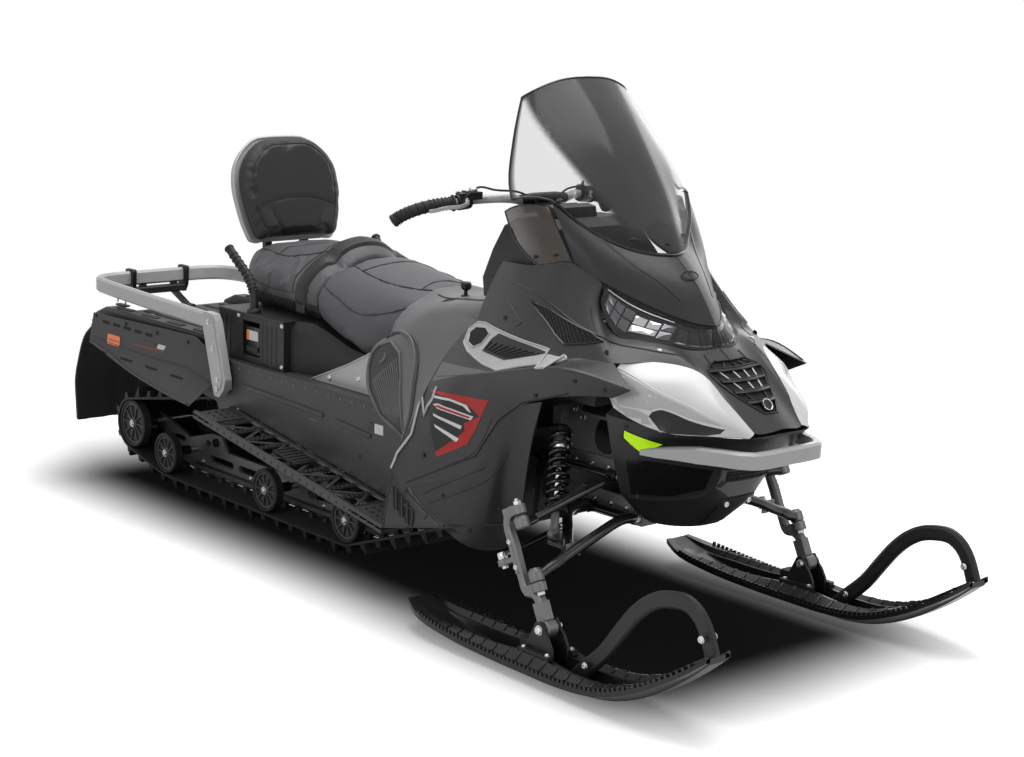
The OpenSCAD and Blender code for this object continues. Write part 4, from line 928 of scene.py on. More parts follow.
def wheels_piece():
    p = Part("idler_wheels", "wheel", "chassis")
    for x, z in IDLERS:
        for y in (-WHEEL_Y, WHEEL_Y):
            wheel(p, x, z, 67.5, y)
    for y in (-WHEEL_Y, 0, WHEEL_Y):
        wheel(p, *REAR_AXLE, 80, y)
    for x, z in [*IDLERS, REAR_AXLE]:
        p.add(tube([(x, -WHEEL_Y - 13, z), (x, WHEEL_Y + 13, z)], 10, 16, ref=(1, 0, 0), smooth=False),
              "zinc")
        for s in (-1, 1):
            p.add(bolt((x, s * (WHEEL_Y + 12), z), (0, s, 0), 8, 8), "zinc")
            p.add(lathe([(10.2, 0), (15, 0), (15, 60), (10.2, 60)], (x, s * (WHEEL_Y - 78), z), (0, s, 0),
                        16, closed=True), "black")
    x, z = SPROCKET
    for y in (-140, 0, 140):
        p.add(lathe([(12, -12), (12, 12), (74, 12), (78, 9), (78, -9), (74, -12)], (x, y, z), (0, 1, 0), 36,
                    closed=True), "black")
        for k in range(12):
            a = 2 * math.pi * k / 12
            p.add(tube([(x + 79 * math.cos(a), y - 14, z + 79 * math.sin(a)),
                        (x + 79 * math.cos(a), y + 14, z + 79 * math.sin(a))],
                       5, 8, ref=(math.cos(a), 0, math.sin(a)), smooth=False), "black")
    p.add(tube([(x, -306, z), (x, 306, z)], 10, 16, ref=(1, 0, 0), smooth=False), "zinc")
    return p.done(bevel=0.6, angle=34, replaces=("track_wheels",))


wheels_piece()


def rails_piece():
    cuts = []
    for x0, x1, z0, z1 in ((-940, -800, 82, 104), (-770, -620, 82, 104), (-590, -520, 82, 104),
                           (-385, -250, 82, 104), (-220, -110, 82, 104),
                           (-1175, -1090, 118, 136), (45, 140, 108, 122), (-965, -935, 124, 150),
                           (-385, -365, 120, 146)):
        w = [(x0 + 8, z0), (x1 - 8, z0), (x1, z0 + 8), (x1, z1 - 8), (x1 - 8, z1), (x0 + 8, z1),
             (x0, z1 - 8), (x0, z0 + 8)]
        for y in (-RAIL_Y, RAIL_Y):
            cuts.append(prism(w, 1, y - 20, y + 20))
    carve("skid_rails", "rail", "slide_rails", cuts, bevel=1.0)
    p = Part("rail_fittings", "black")
    for y in (-RAIL_Y, RAIL_Y):
        s = 1 if y > 0 else -1
        for x in (-980, -700, -560, -300, -180, -80):
            p.add(bolt((x, y + s * 6.2, 74), (0, s, 0), 6, 4), "zinc")
        p.add(block((-520, y, 62), (1010, 18, 8)))
    p.done(bevel=0.8)


rails_piece()


def coil(a, b, r, turns, wire, n, per=18):
    """Open spring between two points"""
    A, B = arr(a), arr(b)
    R = np.array(frame_at(B - A))
    length = np.linalg.norm(B - A)
    pts = []
    total = int(turns * per)
    for k in range(total + 1):
        t = k / total
        w = 2 * math.pi * turns * t
        ease = t + math.sin(2 * math.pi * t) * 0.012
        pts.append(A + R @ arr((r * math.cos(w), r * math.sin(w), ease * length)))
    return sweep(pts, ring(wire, n), ref=unit(B - A))


def rod_shape(a, b, r, n=20, r2=None):
    """Straight rod of radius r, or one that tapers to r2"""
    A, B = arr(a), arr(b)
    L = np.linalg.norm(B - A)
    return lathe([(r, 0), (r if r2 is None else r2, L)], A, B - A, n)


def swing_arms_piece():
    p = Part("swing_arms", "arm")
    for foot, top in (((-330, 152), (60, 320)), ((-900, 152), (-620, 300))):
        p.add(rod_shape((foot[0], -184, foot[1]), (foot[0], 184, foot[1]), 14))
        p.add(rod_shape((top[0], -306, top[1]), (top[0], 306, top[1]), 14))
        for y in (-110, 110):
            p.add(rod_shape((foot[0], y, foot[1]), (top[0], y, top[1]), 12))
            for q in (foot, top):
                p.add(bush((q[0], y, q[1]), (0, 1, 0), 14.5, 20, 16))
        a, b = arr((foot[0], 0, foot[1])), arr((top[0], 0, top[1]))
        x, _, z = part_way(a, b, 0.55)
        p.add(rod_shape((x, -112, z), (x, 112, z), 9))
        p.add(rod_shape(a, b, 9), "zinc")
        p.add(rod_shape(a + (b - a) * 0.42, a + (b - a) * 0.9, 17), "black")
        p.add(coil(a + (b - a) * 0.14, a + (b - a) * 0.84, 20, 9, 3.6, 8))
        for q in (a, b):
            p.add(bush(q, (0, 1, 0), 14.4, 19, 13), "zinc")
    for y in (-90, 90):
        wheel(p, *CARRIER, 60, y)
    for x, z in ((60, 320), (-620, 300)):
        for s in (-1, 1):
            p.add(bolt((x, s * 305, z), (0, s, 0), 8, 5), "zinc")
    p.done(bevel=0.6, angle=34, replaces=("rear_suspension",))


swing_arms_piece()

# ------------------------------ tunnel, running boards, skirts
# half width of the tunnel
HALF = 310


def rounded(x0, x1, z0, z1, r, n=4):
    """Outline of a rectangle with round corners"""
    out = []
    for cx, cz, a0 in ((x1 - r, z1 - r, 0), (x0 + r, z1 - r, 90), (x0 + r, z0 + r, 180),
                       (x1 - r, z0 + r, 270)):
        for k in range(n + 1):
            a = math.radians(a0 + 90 * k / n)
            out.append((cx + r * math.cos(a), cz + r * math.sin(a)))
    return out


def rivet(place, axis):
    return lathe([(4.2, 0), (4.2 * 0.92, 2.2 * 0.5), (4.2 * 0.55, 2.2 * 0.9), (0, 2.2)], place, axis, 10)


def tunnel_details():
    p = Part("tunnel_trim", "panel")
    for s in (-1, 1):
        for x in range(-560, 600, 58):
            p.add(rivet((x, s * (HALF + 0.2), 468), (0, s, 0)), "rail")
        for k in range(13):
            x = -560 + 72 * k
            z = 348 - (x + 600) * 0.1498 + 14
            p.add(rivet((x, s * (HALF + 0.2), z), (0, s, 0)))
        # pressed strengthening swages and the folded top edge
        for x0, x1, z in ((-540, -120, 418), (-60, 110, 400)):
            p.add(sweep([(x0, s * (HALF + 0.4), z), (x0 + 14, s * (HALF + 2.4), z),
                         (x1 - 14, s * (HALF + 2.4), z - 12), (x1, s * (HALF + 0.4), z - 12)],
                        [(-3, -5), (0, -7), (3, -5), (3, 5), (0, 7), (-3, 5)], ref=(0, 0, 1)))
        p.add(sweep([(-700, s * (HALF + 1.2), 484), (612, s * (HALF + 1.2), 484)], box_profile(3.5, 7, 1),
                    ref=(0, 0, 1)))
        for x0, x1, z0, z1, mat in ((96, 124, 400, 428, "ink"), (126, 166, 400, 428, "paper"),
                                    (-190, -150, 380, 384, "grey")):
            p.add(prism(rounded(x0, x1, z0, z1, 2), 1, s * (HALF + 0.3), s * (HALF + 1.0)), mat)
    for y in (-170, 0, 170):
        p.add(block((-1250, y, 487.4), (380, 26, 1.6)))
    p.done(bevel=0.4)


tunnel_details()


def boards_piece():
    p = Part("board_ladder", "panel")
    ax, az, bx, bz = -600, 348, 348, 206
    run = math.hypot(bx - ax, bz - az)
    ux, uz = (bx - ax) / run, (bz - az) / run

    def at(t, y, h):
        return (ax + ux * t - uz * h, -y, az + uz * t + ux * h)
    turn = np.array(((ux, 0, uz), (0, 1, 0), (-uz, 0, ux))).T

    def bar(t0, t1, y0, y1, h0, h1, mat=None):
        v, f = block(at((t0 + t1) / 2, (y0 + y1) / 2, (h0 + h1) / 2), (t1 - t0, y1 - y0, h1 - h0), turn)
        p.both((v, f), mat)
    rail = [(-8, -26), (-4, -26), (4, -26), (8, -20), (8, -5), (4, 0), (-4, 0), (-8, -5)]
    v, f = sweep([at(0, 442, 0), at(run, 442, 0)], rail, ref=(0, 0, 1))
    p.both((v, f))
    bar(0, run, 310.5, 324, -13, -3)
    bar(0, 92, 311, 450, -14, -7)
    bar(run - 150, run, 311, 450, -14, -7)
    for k in range(11):
        t = 110 + k * (run - 270) / 10
        bar(t + 1, t + 13, 312, 446, -14, -9)
        # serrated top edge of each rung
        for e in (2, 10.5):
            n = 15
            pts = []
            for m in range(n):
                y = 326 + m * (434 - 326) / (n - 1)
                pts.append((y, -9 if m % 2 == 0 else -2.5))
            outline = [(326, -13), *pts, (434, -13)]
            vv = [at(t + e - 1, y, h) for y, h in outline] + [at(t + e + 1, y, h) for y, h in outline]
            c = len(outline)
            ff = [tuple(range(c)), tuple(2 * c - 1 - q for q in range(c))]
            ff += [((q + 1) % c, q, c + q, c + (q + 1) % c) for q in range(c)]
            p.both((np.array(vv), ff))
        if k < 10:
            # diagonal braces between the rungs
            step = (run - 270) / 10
            a, b = at(t + 7, 330 if k % 2 else 434, -11.5), at(t + 7 + step, 434 if k % 2 else 330, -11.5)
            p.both(sweep([a, b], box_profile(9, 5, 1), ref=(0, 0, 1)))
    for t in np.arange(30, run - 20, 36):
        p.both(lathe([(5.4, 0), (5.4, 1.0), (0, 1.0)], at(t, 450.2, -13), (0, -1, 0), 10), "black")
    for t0 in (8, run - 140):
        for i in range(5 if t0 > 100 else 3):
            for j in range(5):
                p.both(lathe([(6, 0), (5, 2.4), (3.4, 2.4), (3.2, 0.6), (0, 0.6)],
                             at(t0 + 14 + i * 26, 332 + j * 25, -7), (-uz, 0, ux), 10), "black")
    p.done(bevel=0.6, angle=30, replaces=("running_boards",))
    q = Part("step_pads", "rubber")
    for s in (-1, 1):
        base = arr(at(430, 372, -4)) * (1, -s, 1)
        q.add(block(base, (120, 74, 8), turn))
        for i in range(6):
            q.add(block(base + arr((ux * (i * 20 - 50), 0, uz * (i * 20 - 50) + 5)), (8, 66, 5), turn))
    q.done(bevel=1.4)


boards_piece()

skirt_net = [
    [(-1458, 311.3, 512), (-1150, 311.3, 520), (-812, 311.3, 528), (-705, 311.3, 486)],
    [(-1470, 319, 430), (-1150, 323, 425), (-812, 329, 425), (-682, 333, 400)],
    [(-1462, 325, 412), (-1150, 359, 366), (-830, 393, 340), (-702, 405, 336)]]


def skirts_piece():
    G = dense([[(x, -y + 0.6, z) for x, y, z in r] for r in skirt_net], 8, 8, ci=(1,), cj=(2,))
    p = Part("side_skirts", "skirt")
    p.both(shell(G, G + arr((0, 3.6, 0.6))))
    o = p.done(bevel=1.0, angle=30, replaces=("rear_side_panels",))
    tree = tree_of(o)
    q = Part("skirt_trim", "void")

    def lay(outline, mat, lift=0.7):
        q.both(decal(outline, tree, lambda u, w: (u, -520, w), (0, 1, 0), 40, lift), mat)
    # slots of painted shade in the skirt
    for x in (-1392, -1322, -1252, -1182, -1112):
        lay(rounded(x, x + 48, 487, 497, 4.5), "void")
    for x in (-1395, -1230, -1065, -900):
        lay(rounded(x, x + 78, 392, 399, 3), "void")
    # reflector; its orange has a painted glow from its material
    lay(rounded(-1350, -1266, 424, 458, 6), "orange", 1.4)
    lay(rounded(-1345, -1271, 438, 441, 1.4), "red", 2.0)
    lay([(-1185, 454), (-1050, 458), (-1042, 474), (-1180, 470)], "ink", 0.9)
    lay([(-1030, 457), (-985, 458), (-975, 473), (-1022, 473)], "paper", 0.9)
    lay([(-1180, 447), (-990, 451), (-990, 454), (-1180, 450)], "red", 0.9)
    for x in (-1440, -1240, -1040, -850):
        q.both(bolt(onto(tree, (x, -520, 505), (0, 1, 0), 0.2), (0, -1, 0), 6, 3.5), "black")
    # folded lip along the lower edge
    lip = [onto(tree, (x, -520, z), (0, 1, 0), 1.2)
           for x, z in ((-1456, 415), (-1300, 396), (-1150, 370), (-1000, 356), (-840, 345), (-716, 340))]
    q.both(tube(lip, 4, 8, 6), "skirt")
    crease = [onto(tree, (x, -520, z), (0, 1, 0), 0.6)
              for x, z in ((-1462, 431), (-1300, 428), (-1150, 426), (-980, 426), (-815, 426), (-700, 404))]
    q.both(tube(crease, 2.2, 8, 6), "skirt")
    q.done()


skirts_piece()


def flap_piece():
    p = Part("flap_sheet", "rubber")
    outline = spline([(-1482, 468), (-1500, 452), (-1536, 425), (-1590, 330), (-1615, 250), (-1612, 180),
                      (-1606, 112)], 6)
    ys = np.linspace(-302, 302, 25)
    G = np.array([[(x + 3 * math.cos(y * 0.09), y * (1 - 0.02 * (i / len(outline))), z) for y in ys]
                  for i, (x, z) in enumerate(outline)])
    p.add(shell(G, G + arr((6, 0, -1))))
    for y in (-292, 292):
        p.add(sweep([(x - 4, y, z) for x, z in outline], box_profile(10, 9, 2), ref=(0, 1, 0)))
    p.add(block((-1475, 0, 455), (9.4, 616, 30)))
    for y in range(-270, 271, 90):
        p.add(bolt((-1480, y, 455), (-1, 0, 0), 6, 4), "zinc")
    p.done(bevel=0.8, replaces=("snow_flap",))


flap_piece()


def deck_piece():
    p = Part("deck_tray", "black")
    p.add(block((-1105, 0, 495), (728, 574, 15.6)))
    for s in (-1, 1):
        rings = []
        for x, h in ((-1488, 22), (-1430, 45), (-1300, 47), (-1100, 47), (-900, 47), (-820, 46),
                     (-747, 38)):
            rings.append([(x, s * 256 - 33, 488), (x, s * 256 + 33, 488), (x, s * 256 + 30, 488 + h * 0.8),
                          (x, s * 256 + 23, 488 + h),
                          (x, s * 256 - 23, 488 + h), (x, s * 256 - 30, 488 + h * 0.8)])
        p.add(skin(rings))
        for x in (-1380, -1220, -1060, -900):
            p.add(prism(rounded(x, x + 90, s * 256 - 12, s * 256 + 12, 6), 2, 534.5, 537.5), "rubber")
    for y in range(-180, 181, 60):
        p.add(sweep([(-1440, y, 503), (-770, y, 503)], box_profile(16, 5, 1.5), ref=(0, 0, 1)), "rubber")
    for x, y in ((-1360, 150), (-960, 150), (-1360, -150), (-960, -150)):
        p.add(lathe([(6.2, 0), (15, 0), (14, 3), (6.2, 3)], (x, y, 503.3), (0, 0, 1), 20, closed=True),
              "zinc")
    # lashing ring in its plate
    p.add(block((-1392, -236, 540), (60, 22, 6)))
    loop = [(-1400 + 26 * math.cos(a), -236, 552 + 18 * math.sin(a))
            for a in np.linspace(-0.6, math.pi + 0.6, 16)]
    p.add(tube(loop, 3.6, 8, 1, ref=(0, 1, 0), smooth=False), "zinc")
    p.done(bevel=1.6, angle=30, replaces=("cargo_deck",))


deck_piece()


def rack_piece():
    p = Part("rack_tube", "rack")
    H = HALF + 22
    half = [(-700, -H, 600), (-740, -H, 600.7), (-800, -H + 2, 601.5), (-860, -H + 7, 601.5),
            (-1000, -316.5, 601), (-1250, -292.5, 600.4), (-1440, -273, 600),
            (-1500, -262, 600), (-1541, -232, 600), (-1560, -185, 600), (-1563, -120, 600), (-1563, 0, 600)]
    path = half + [(x, -y, z) for x, y, z in reversed(half[:-1])]
    p.add(sweep(spline(path, 5), box_profile(23.6, 49.6, 7), ref=(0, 0, 1)))
    outline = [(-714, 626), (-690, 627), (-655, 625), (-640, 605), (-618, 532), (-588, 430), (-596, 400),
               (-622, 372), (-650, 372), (-664, 410),
               (-676, 452), (-700, 530), (-714, 575)]
    for s in (-1, 1):
        y = s * H
        p.add(prism(outline, 1, y - 11.8, y + 11.8))
        # stepped face of the leg
        inset = [(-700, 612), (-664, 612), (-652, 596), (-630, 520), (-604, 432), (-612, 404), (-634, 386),
                 (-646, 392), (-662, 448), (-688, 530), (-700, 570)]
        p.add(prism(inset, 1, y + s * 11.8, y + s * 14.6))
        for x, z in ((-680, 598), (-655, 520), (-628, 426), (-632, 398)):
            p.add(bolt((x, y + s * 14.4, z), (0, s, 0), 7.5, 5), "zinc")
        p.add(block((-620, s * (HALF + 6.5), 415), (38, 11, 38)))
        # thin shim inside the tube
        p.add(block((-1160, s * 300, 597), (2, 0.1, 2)))
    for y in (-62, 62):
        stay = [(-1552, 600), (-1566, 600), (-1566, 544), (-1470, 504), (-1432, 504), (-1432, 512),
                (-1466, 512), (-1552, 550)]
        p.add(prism(stay, 1, y - 12, y + 12), "black")
    # brackets and the light bar that hangs between them
    for s in (-1, 1):
        y = s * 105
        p.add(prism([(-1584, 632), (-1540, 632), (-1536, 626), (-1540, 566), (-1556, 540), (-1572, 540),
                     (-1588, 566), (-1590, 626)], 1, y - 7, y + 7), "black")
        p.add(bolt((-1563, y + s * 7, 616), (0, s, 0), 6, 4), "zinc")
        p.add(bolt((-1563, y + s * 7, 560), (0, s, 0), 6, 4), "zinc")
    p.done(bevel=1.0, angle=28, replaces=("rear_rack",))
    q = Part("tail_lamp", "black")
    q.add(sweep([(-1556, -98, 556), (-1556, 98, 556)], box_profile(34, 26, 5), ref=(0, 0, 1)))
    q.add(sweep([(-1573.5, -84, 556), (-1573.5, 84, 556)], box_profile(4, 18, 1.5), ref=(0, 0, 1)),
          "red_lens")
    for y in np.arange(-72, 73, 24):
        q.add(block((-1575.6, y, 556), (1.0, 2, 16)), "gloss")
    q.done(bevel=0.8, replaces=("taillight",))


rack_piece()


# ------------------------------ nose: lamps, grille, hood trim, bumper, belly
hood_tree, side_tree, lower_tree = tree_of(hood_obj), tree_of(side_obj), tree_of(lower_obj)
fender_tree, belly_tree, cowl_tree = tree_of(fender_obj), tree_of(belly_obj), tree_of(cowl_obj)
# how far the lamps stay from the panels below and beside them
lamp_gap, lamp_side_gap = 1.5, 8


def toward(a, b, d):
    """Point at the distance d from a toward b"""
    a, b = arr(a), arr(b)
    return tuple(a + d * unit(b - a))


def lifted(p, dz):
    return (p[0], p[1], p[2] + dz)


lamp_top = [toward(cowl_rim[1], cowl_rim[2], lamp_side_gap), *cowl_rim[2:5], (1107, 1, 822)]
lamp_low = [lifted(p, lamp_gap) for p in (toward(lamp_rim[0], lamp_rim[1], lamp_side_gap), *lamp_rim[1:4],
                                          (1122, 1, 771))]


def lamps():
    G = dense(side([lamp_top, lamp_low]), 8, 8)
    r, c = G.shape[:2]
    # clear outer cover
    cover = Part("lamp_covers", "lens")
    cover.both(sheet(sunk(G, 0.6), 1.6))
    cover.done()
    inner = Part("lamp_units", "gloss")
    # dark tray behind the cover
    inner.both(sheet(sunk(G, 9.6), 1.8))
    n, m = r - 1, c - 1

    def at(u, v):
        i, j = v * n, u * m
        i0, j0 = min(int(i), n - 1), min(int(j), m - 1)
        fi, fj = i - i0, j - j0
        upper = (1 - fj) * G[i0, j0] + fj * G[i0, j0 + 1]
        lower = (1 - fj) * G[i0 + 1, j0] + fj * G[i0 + 1, j0 + 1]
        return (1 - fi) * upper + fi * lower

    def deep(p, d):
        q = core(arr(p)) - p
        return p + d * q / np.linalg.norm(q)

    def tile(u0, u1, v0, v1, depth, mat, raise_by):
        quad = [deep(at(u, v), depth) for u, v in ((u0, v0), (u1, v0), (u1, v1), (u0, v1))]
        mid = deep(at((u0 + u1) / 2, (v0 + v1) / 2), depth - raise_by)
        low = [deep(q, 2.5) for q in quad]
        v = np.array([*quad, mid, *low])
        f = [(0, 1, 4), (1, 2, 4), (2, 3, 4), (3, 0, 4), (1, 0, 5, 6), (2, 1, 6, 7), (3, 2, 7, 8),
             (0, 3, 8, 5), (5, 8, 7, 6)]
        inner.both((v, f), mat)
    # reflector facets: dark steps round a bright bowl, and black louvres toward the nose
    for u0, u1 in ((0.05, 0.12), (0.13, 0.20), (0.21, 0.28), (0.45, 0.53)):
        for v0, v1 in ((0.24, 0.48), (0.52, 0.80)):
            tile(u0, u1, v0, v1, 6.6, "mirror", 3.6)
    for u0, u1, v0, v1 in ((0.29, 0.36, 0.30, 0.52), (0.37, 0.44, 0.30, 0.52), (0.29, 0.44, 0.56, 0.74)):
        tile(u0, u1, v0, v1, 6.0, "chrome", 3.4)
    for u0 in (0.57, 0.66, 0.75, 0.84):
        tile(u0, u0 + 0.07, 0.30, 0.74, 6.6, "black", 2.0)
        tile(u0, u0 + 0.07, 0.78, 0.86, 6.0, "mirror", 0.8)
    strip = [deep(at(u, 0.14), 4.0) for u in np.linspace(0.03, 0.5, 12)]
    inner.both(sweep(strip, box_profile(3, 3, 1), ref=(0, 0, 1)), "zinc")
    edges = [*((u, 0.025) for u in np.linspace(0.02, 0.98, 20)),
             *((0.98, v) for v in np.linspace(0.1, 0.9, 6)),
             *((u, 0.975) for u in np.linspace(0.98, 0.02, 20)),
             *((0.02, v) for v in np.linspace(0.9, 0.1, 6))]
    rim = [deep(at(u, v), 2.4) for u, v in edges]
    inner.both(sweep(rim, box_profile(5, 4, 1), ref=(0.3, 0, 1), closed=True), "black")
    inner.done(angle=20, replaces=("headlights",))


lamps()

grille_corners = [(48, 748), (94, 729), (45, 656), (22, 638)]


def grille_half(z, less=0.0):
    """Half width of the grille's opening at a height"""
    zs, ws = [c[1] for c in reversed(grille_corners)], [c[0] for c in reversed(grille_corners)]
    return float(np.interp(z, zs, ws)) - less


def grille_piece():
    p = Part("grille_bars", "black")

    def on(y, z, lift):
        return onto(hood_tree_full, (1500, y, z), (-1, 0, 0), lift)
    # recessed near-black sheet behind a rim, as painted shade behind the grille, four slanted bars and the
    # dividers between them
    rows, cols = 22, 16
    G = np.array([[on(grille_half(z, 0.6) * (2 * j / cols - 1), z, -3.6) for j in range(cols + 1)]
                  for z in np.linspace(747.2, 638.8, rows + 1)])
    p.add(sheet(G, 1.8), "void")
    # fine crossed wires over the near-black sheet of painted shade
    for z in np.arange(643, 745, 6.5):
        w = grille_half(z, 2)
        p.add(sweep([on(y, z, -3.2) for y in np.linspace(-w, w, 9)], ring(0.9, 4), ref=(0.6, 0, 1)))
    heights = (728, 706, 684, 663)
    for z in heights:
        w = grille_half(z, 1.5)
        row = [on(y, z, 0.0) for y in np.linspace(-w, w, 15)]
        p.add(sweep(row, box_profile(8.5, 7.5, 1.6), ref=(0.6, 0, 1)), "gloss")
        # a paler tube along each bar's top edge: painted highlight
        edge = [on(y, z + 4.6, 1.6) for y in np.linspace(-w, w, 15)]
        p.add(sweep(edge, ring(1.1, 5), ref=(0.6, 0, 1)), "graphite")
    for s in (-1, 1):
        edge = [on(s * (w - 1.6), z, -0.6) for w, z in curve(grille_corners, 5)]
        p.add(sweep(edge, box_profile(4, 6.5, 1), ref=(0.6, 0, 1)), "gloss")
    top = [on(y, 746.4, -0.6) for y in np.linspace(-46, 46, 11)]
    low = [on(y, 639.6, -0.6) for y in np.linspace(-20, 20, 7)]
    for row in (top, low):
        p.add(sweep(row, box_profile(4, 6.5, 1), ref=(0.6, 0, 1)), "gloss")
    for k, (z0, z1) in enumerate(zip((745, *heights), (*heights, 641))):
        for f in ((-0.45, 0.0, 0.45), (-0.62, -0.2, 0.2, 0.62), (-0.55, 0.0, 0.55), (-0.5, 0.5), ())[k]:
            a, b = on(f * grille_half(z0), z0 - 2, -1.5), on((f + 0.05) * grille_half(z1), z1 + 2, -1.5)
            p.add(sweep([a, b], box_profile(3.2, 5, 0.8), ref=(0, 1, 0)),
                  "zinc" if k in (1, 2) else "black")
    # plain round boss where a badge would sit
    c = on(0, 655, 2.6)
    p.add(lathe([(17, -5), (17, 1.2), (15, 3), (13.5, 2.2), (0, 2.6)], c, (0.82, 0, 0.57), 28), "gloss")
    p.add(lathe([(14.4, 2.4), (15.6, 3.4), (14.6, 3.8), (13.4, 2.8)], c, (0.82, 0, 0.57), 28, closed=True),
          "zinc")
    p.done(angle=32, replaces=("grille",))


def tree_of_grid(G):
    r, c = G.shape[:2]
    return BVHTree.FromPolygons([tuple(q) for q in G.reshape(-1, 3)], grid_faces(r, c))


hood_tree_full = tree_of_grid(hood_grid)
grille_piece()


def hood_opening():
    """The grille's opening, cut through the hood"""
    w = Part("hood_cut", "charcoal")
    half = [(w_ - 0.2, z) for w_, z in grille_corners]
    w.add(prism([*half, *[(-y, z) for y, z in reversed(half)]], 0, 1050, 1400))
    hood_obj.modifiers.remove(hood_obj.modifiers["edges"])
    shade(cut_out(hood_obj, w.mesh()), 30)


hood_opening()


def flank(u, w):
    """Start of a ray that comes in from beside the machine"""
    return (u, -620, w)


def beside(tree, x, z, lift):
    """Point of the right flank, raised by lift"""
    return onto(tree, flank(x, z), (0, 1, 0), lift)


def nose(u, w):
    """Start of a ray that comes in from before the nose"""
    return (1700, -u, w)


def lay_on(part, tree, outline, mat, start, direction, lift, step, both=True):
    """A flat outline laid on a panel, on both sides unless both is False"""
    shape = decal(outline, tree, start, direction, step, lift)
    (part.both if both else part.add)(shape, mat)


def hood_trim():
    p = Part("hood_trim", "black")
    # mesh vents in the hood's flank: a near-black patch of painted shade behind crossed wires
    vent = [(722, 857), (800, 846), (880, 824), (941, 806), (976, 788), (940, 780), (893, 773), (850, 790),
            (806, 815)]
    lay_on(p, hood_tree, vent, "void", lambda u, w: (u, -480, w), (0, 1, 0), 0.6, 14)
    sides = list(zip(vent, vent[1:] + vent[:1]))
    loop = []
    for a, b in sides:
        loop += [onto(hood_tree, (a[0] * (1 - t) + b[0] * t, -480, a[1] * (1 - t) + b[1] * t), (0, 1, 0),
                      1.4)
                 for t in np.linspace(0, 1, 6)[:-1]]
    p.both(sweep(loop, ring(2.6, 6), ref=(0, 1, 0), closed=True), "gloss")

    def inside(x, z):
        turns = [(b[0] - a[0]) * (z - a[1]) - (b[1] - a[1]) * (x - a[0]) > 0 for a, b in sides]
        return all(turns) or not any(turns)
    # crossed wires clipped to the outline
    xs, zs = [q[0] for q in vent], [q[1] for q in vent]
    for slope in (1, -1):
        for c in np.arange(-200, 200, 11):
            run = []
            for x in np.arange(min(xs), max(xs), 3):
                z = (min(zs) + max(zs)) / 2 + slope * (x - (min(xs) + max(xs)) / 2) + c
                if inside(x, z):
                    run.append(onto(hood_tree, (x, -480, z), (0, 1, 0), 1.5))
            if len(run) > 2:
                p.both(sweep(run, ring(1.1, 5), ref=(0, 1, 0)))
    # folds pressed into the hood: beside the lamps, over the vents and down the nose
    inward = unit((0, 0.75, -0.35))
    for pts, r in (([(640, -250, 885), (760, -262, 866), (918, -276, 816), (999, -226, 782)], 3.0),
                   ([(640, -275, 842), (700, -290, 806), (712, -294, 800), (690, -295, 786)], 2.0),
                   ([(905, -232, 862), (962, -228, 788), (1050, -176, 768), (1118, -100, 748)], 2.4)):
        fold = [onto(hood_tree, q - inward * 250, inward, 0.0) for q in spline(pts, 6)]
        p.both(tube(fold, r, 8, smooth=False), "charcoal")
    # seam lines beside the nose, drawn as painted shade in the gaps
    for s in (-1, 1):
        seam_line = [onto(hood_tree, (x, s * y, 900), (0, 0, -1), 0.2)
                     for x, y in ((1130, 62), (1160, 66), (1190, 68))]
        p.add(tube(seam_line, 1.6, 6, 4), "void")
    # seam down the middle of the nose, drawn as painted shade in the gap, and its screw
    mid = [onto(hood_tree, (x, 0, 1000), (0, 0, -1), 0.1) for x in np.linspace(1126, 1180, 8)]
    p.add(sweep(mid, ring(1.3, 6), ref=(0, 1, 0)), "void")
    p.both(bolt(onto(hood_tree, (1080, -164, 1000), (0, 0, -1), 0.2), (0.2, -0.1, 1), 6.5, 3.5), "zinc")
    for x, y, z in ((640, -480, 800), (1000, -480, 765)):
        p.both(bolt(onto(hood_tree, (x, y, z), (0, 1, 0), 0.2), (0, -1, 0.2), 6, 3))
    p.done(angle=30)


hood_trim()


def cowl_trim():
    p = Part("cowl_trim", "cowl")
    mid = [onto(cowl_tree, (x, 0, 1200), (-0.2, 0, -1), 0.0) for x in np.linspace(1000, 1103, 10)]
    p.add(sweep(mid, [(-3, -2), (0, 1.6), (3, -2)], ref=(0, 0, 1)))
    for s in (-1, 1):
        fold = [onto(cowl_tree, (x, s * y, 1300), (0, 0, -1), 0.0) for x, y in
                curve([(800, 196), (880, 142), (960, 96), (1040, 54)], 6)]
        p.add(sweep(fold, [(-5, -3), (0, 1.6), (5, -3)], ref=(0, 0, 1)))
    # bare recess where a badge would sit
    c = onto(cowl_tree, (1013, 0, 1300), (0, 0, -1), 0.0)
    n = unit((0.62, 0, 0.78))
    t = unit(np.cross((0, 1, 0), n))
    out = [arr(c) + 26 * math.cos(a) * arr((0, 1, 0)) + 14 * math.sin(a) * t
           for a in np.linspace(0, 2 * math.pi, 25)[:-1]]
    p.add(sweep(out, ring(1.8, 6), ref=n, closed=True), "gloss")
    # lower lip of the cowl over the lamps
    for s in (-1, 1):
        lip = spline([(x, s * y, z) for x, y, z in cowl_rim], 6)
        lip = np.array([q + 1.2 * unit(q - core(q)) for q in lip])
        p.add(sweep(lip, ring(2.2, 6), ref=(0, 0, 1)), "gloss")
    p.done(angle=25)


cowl_trim()


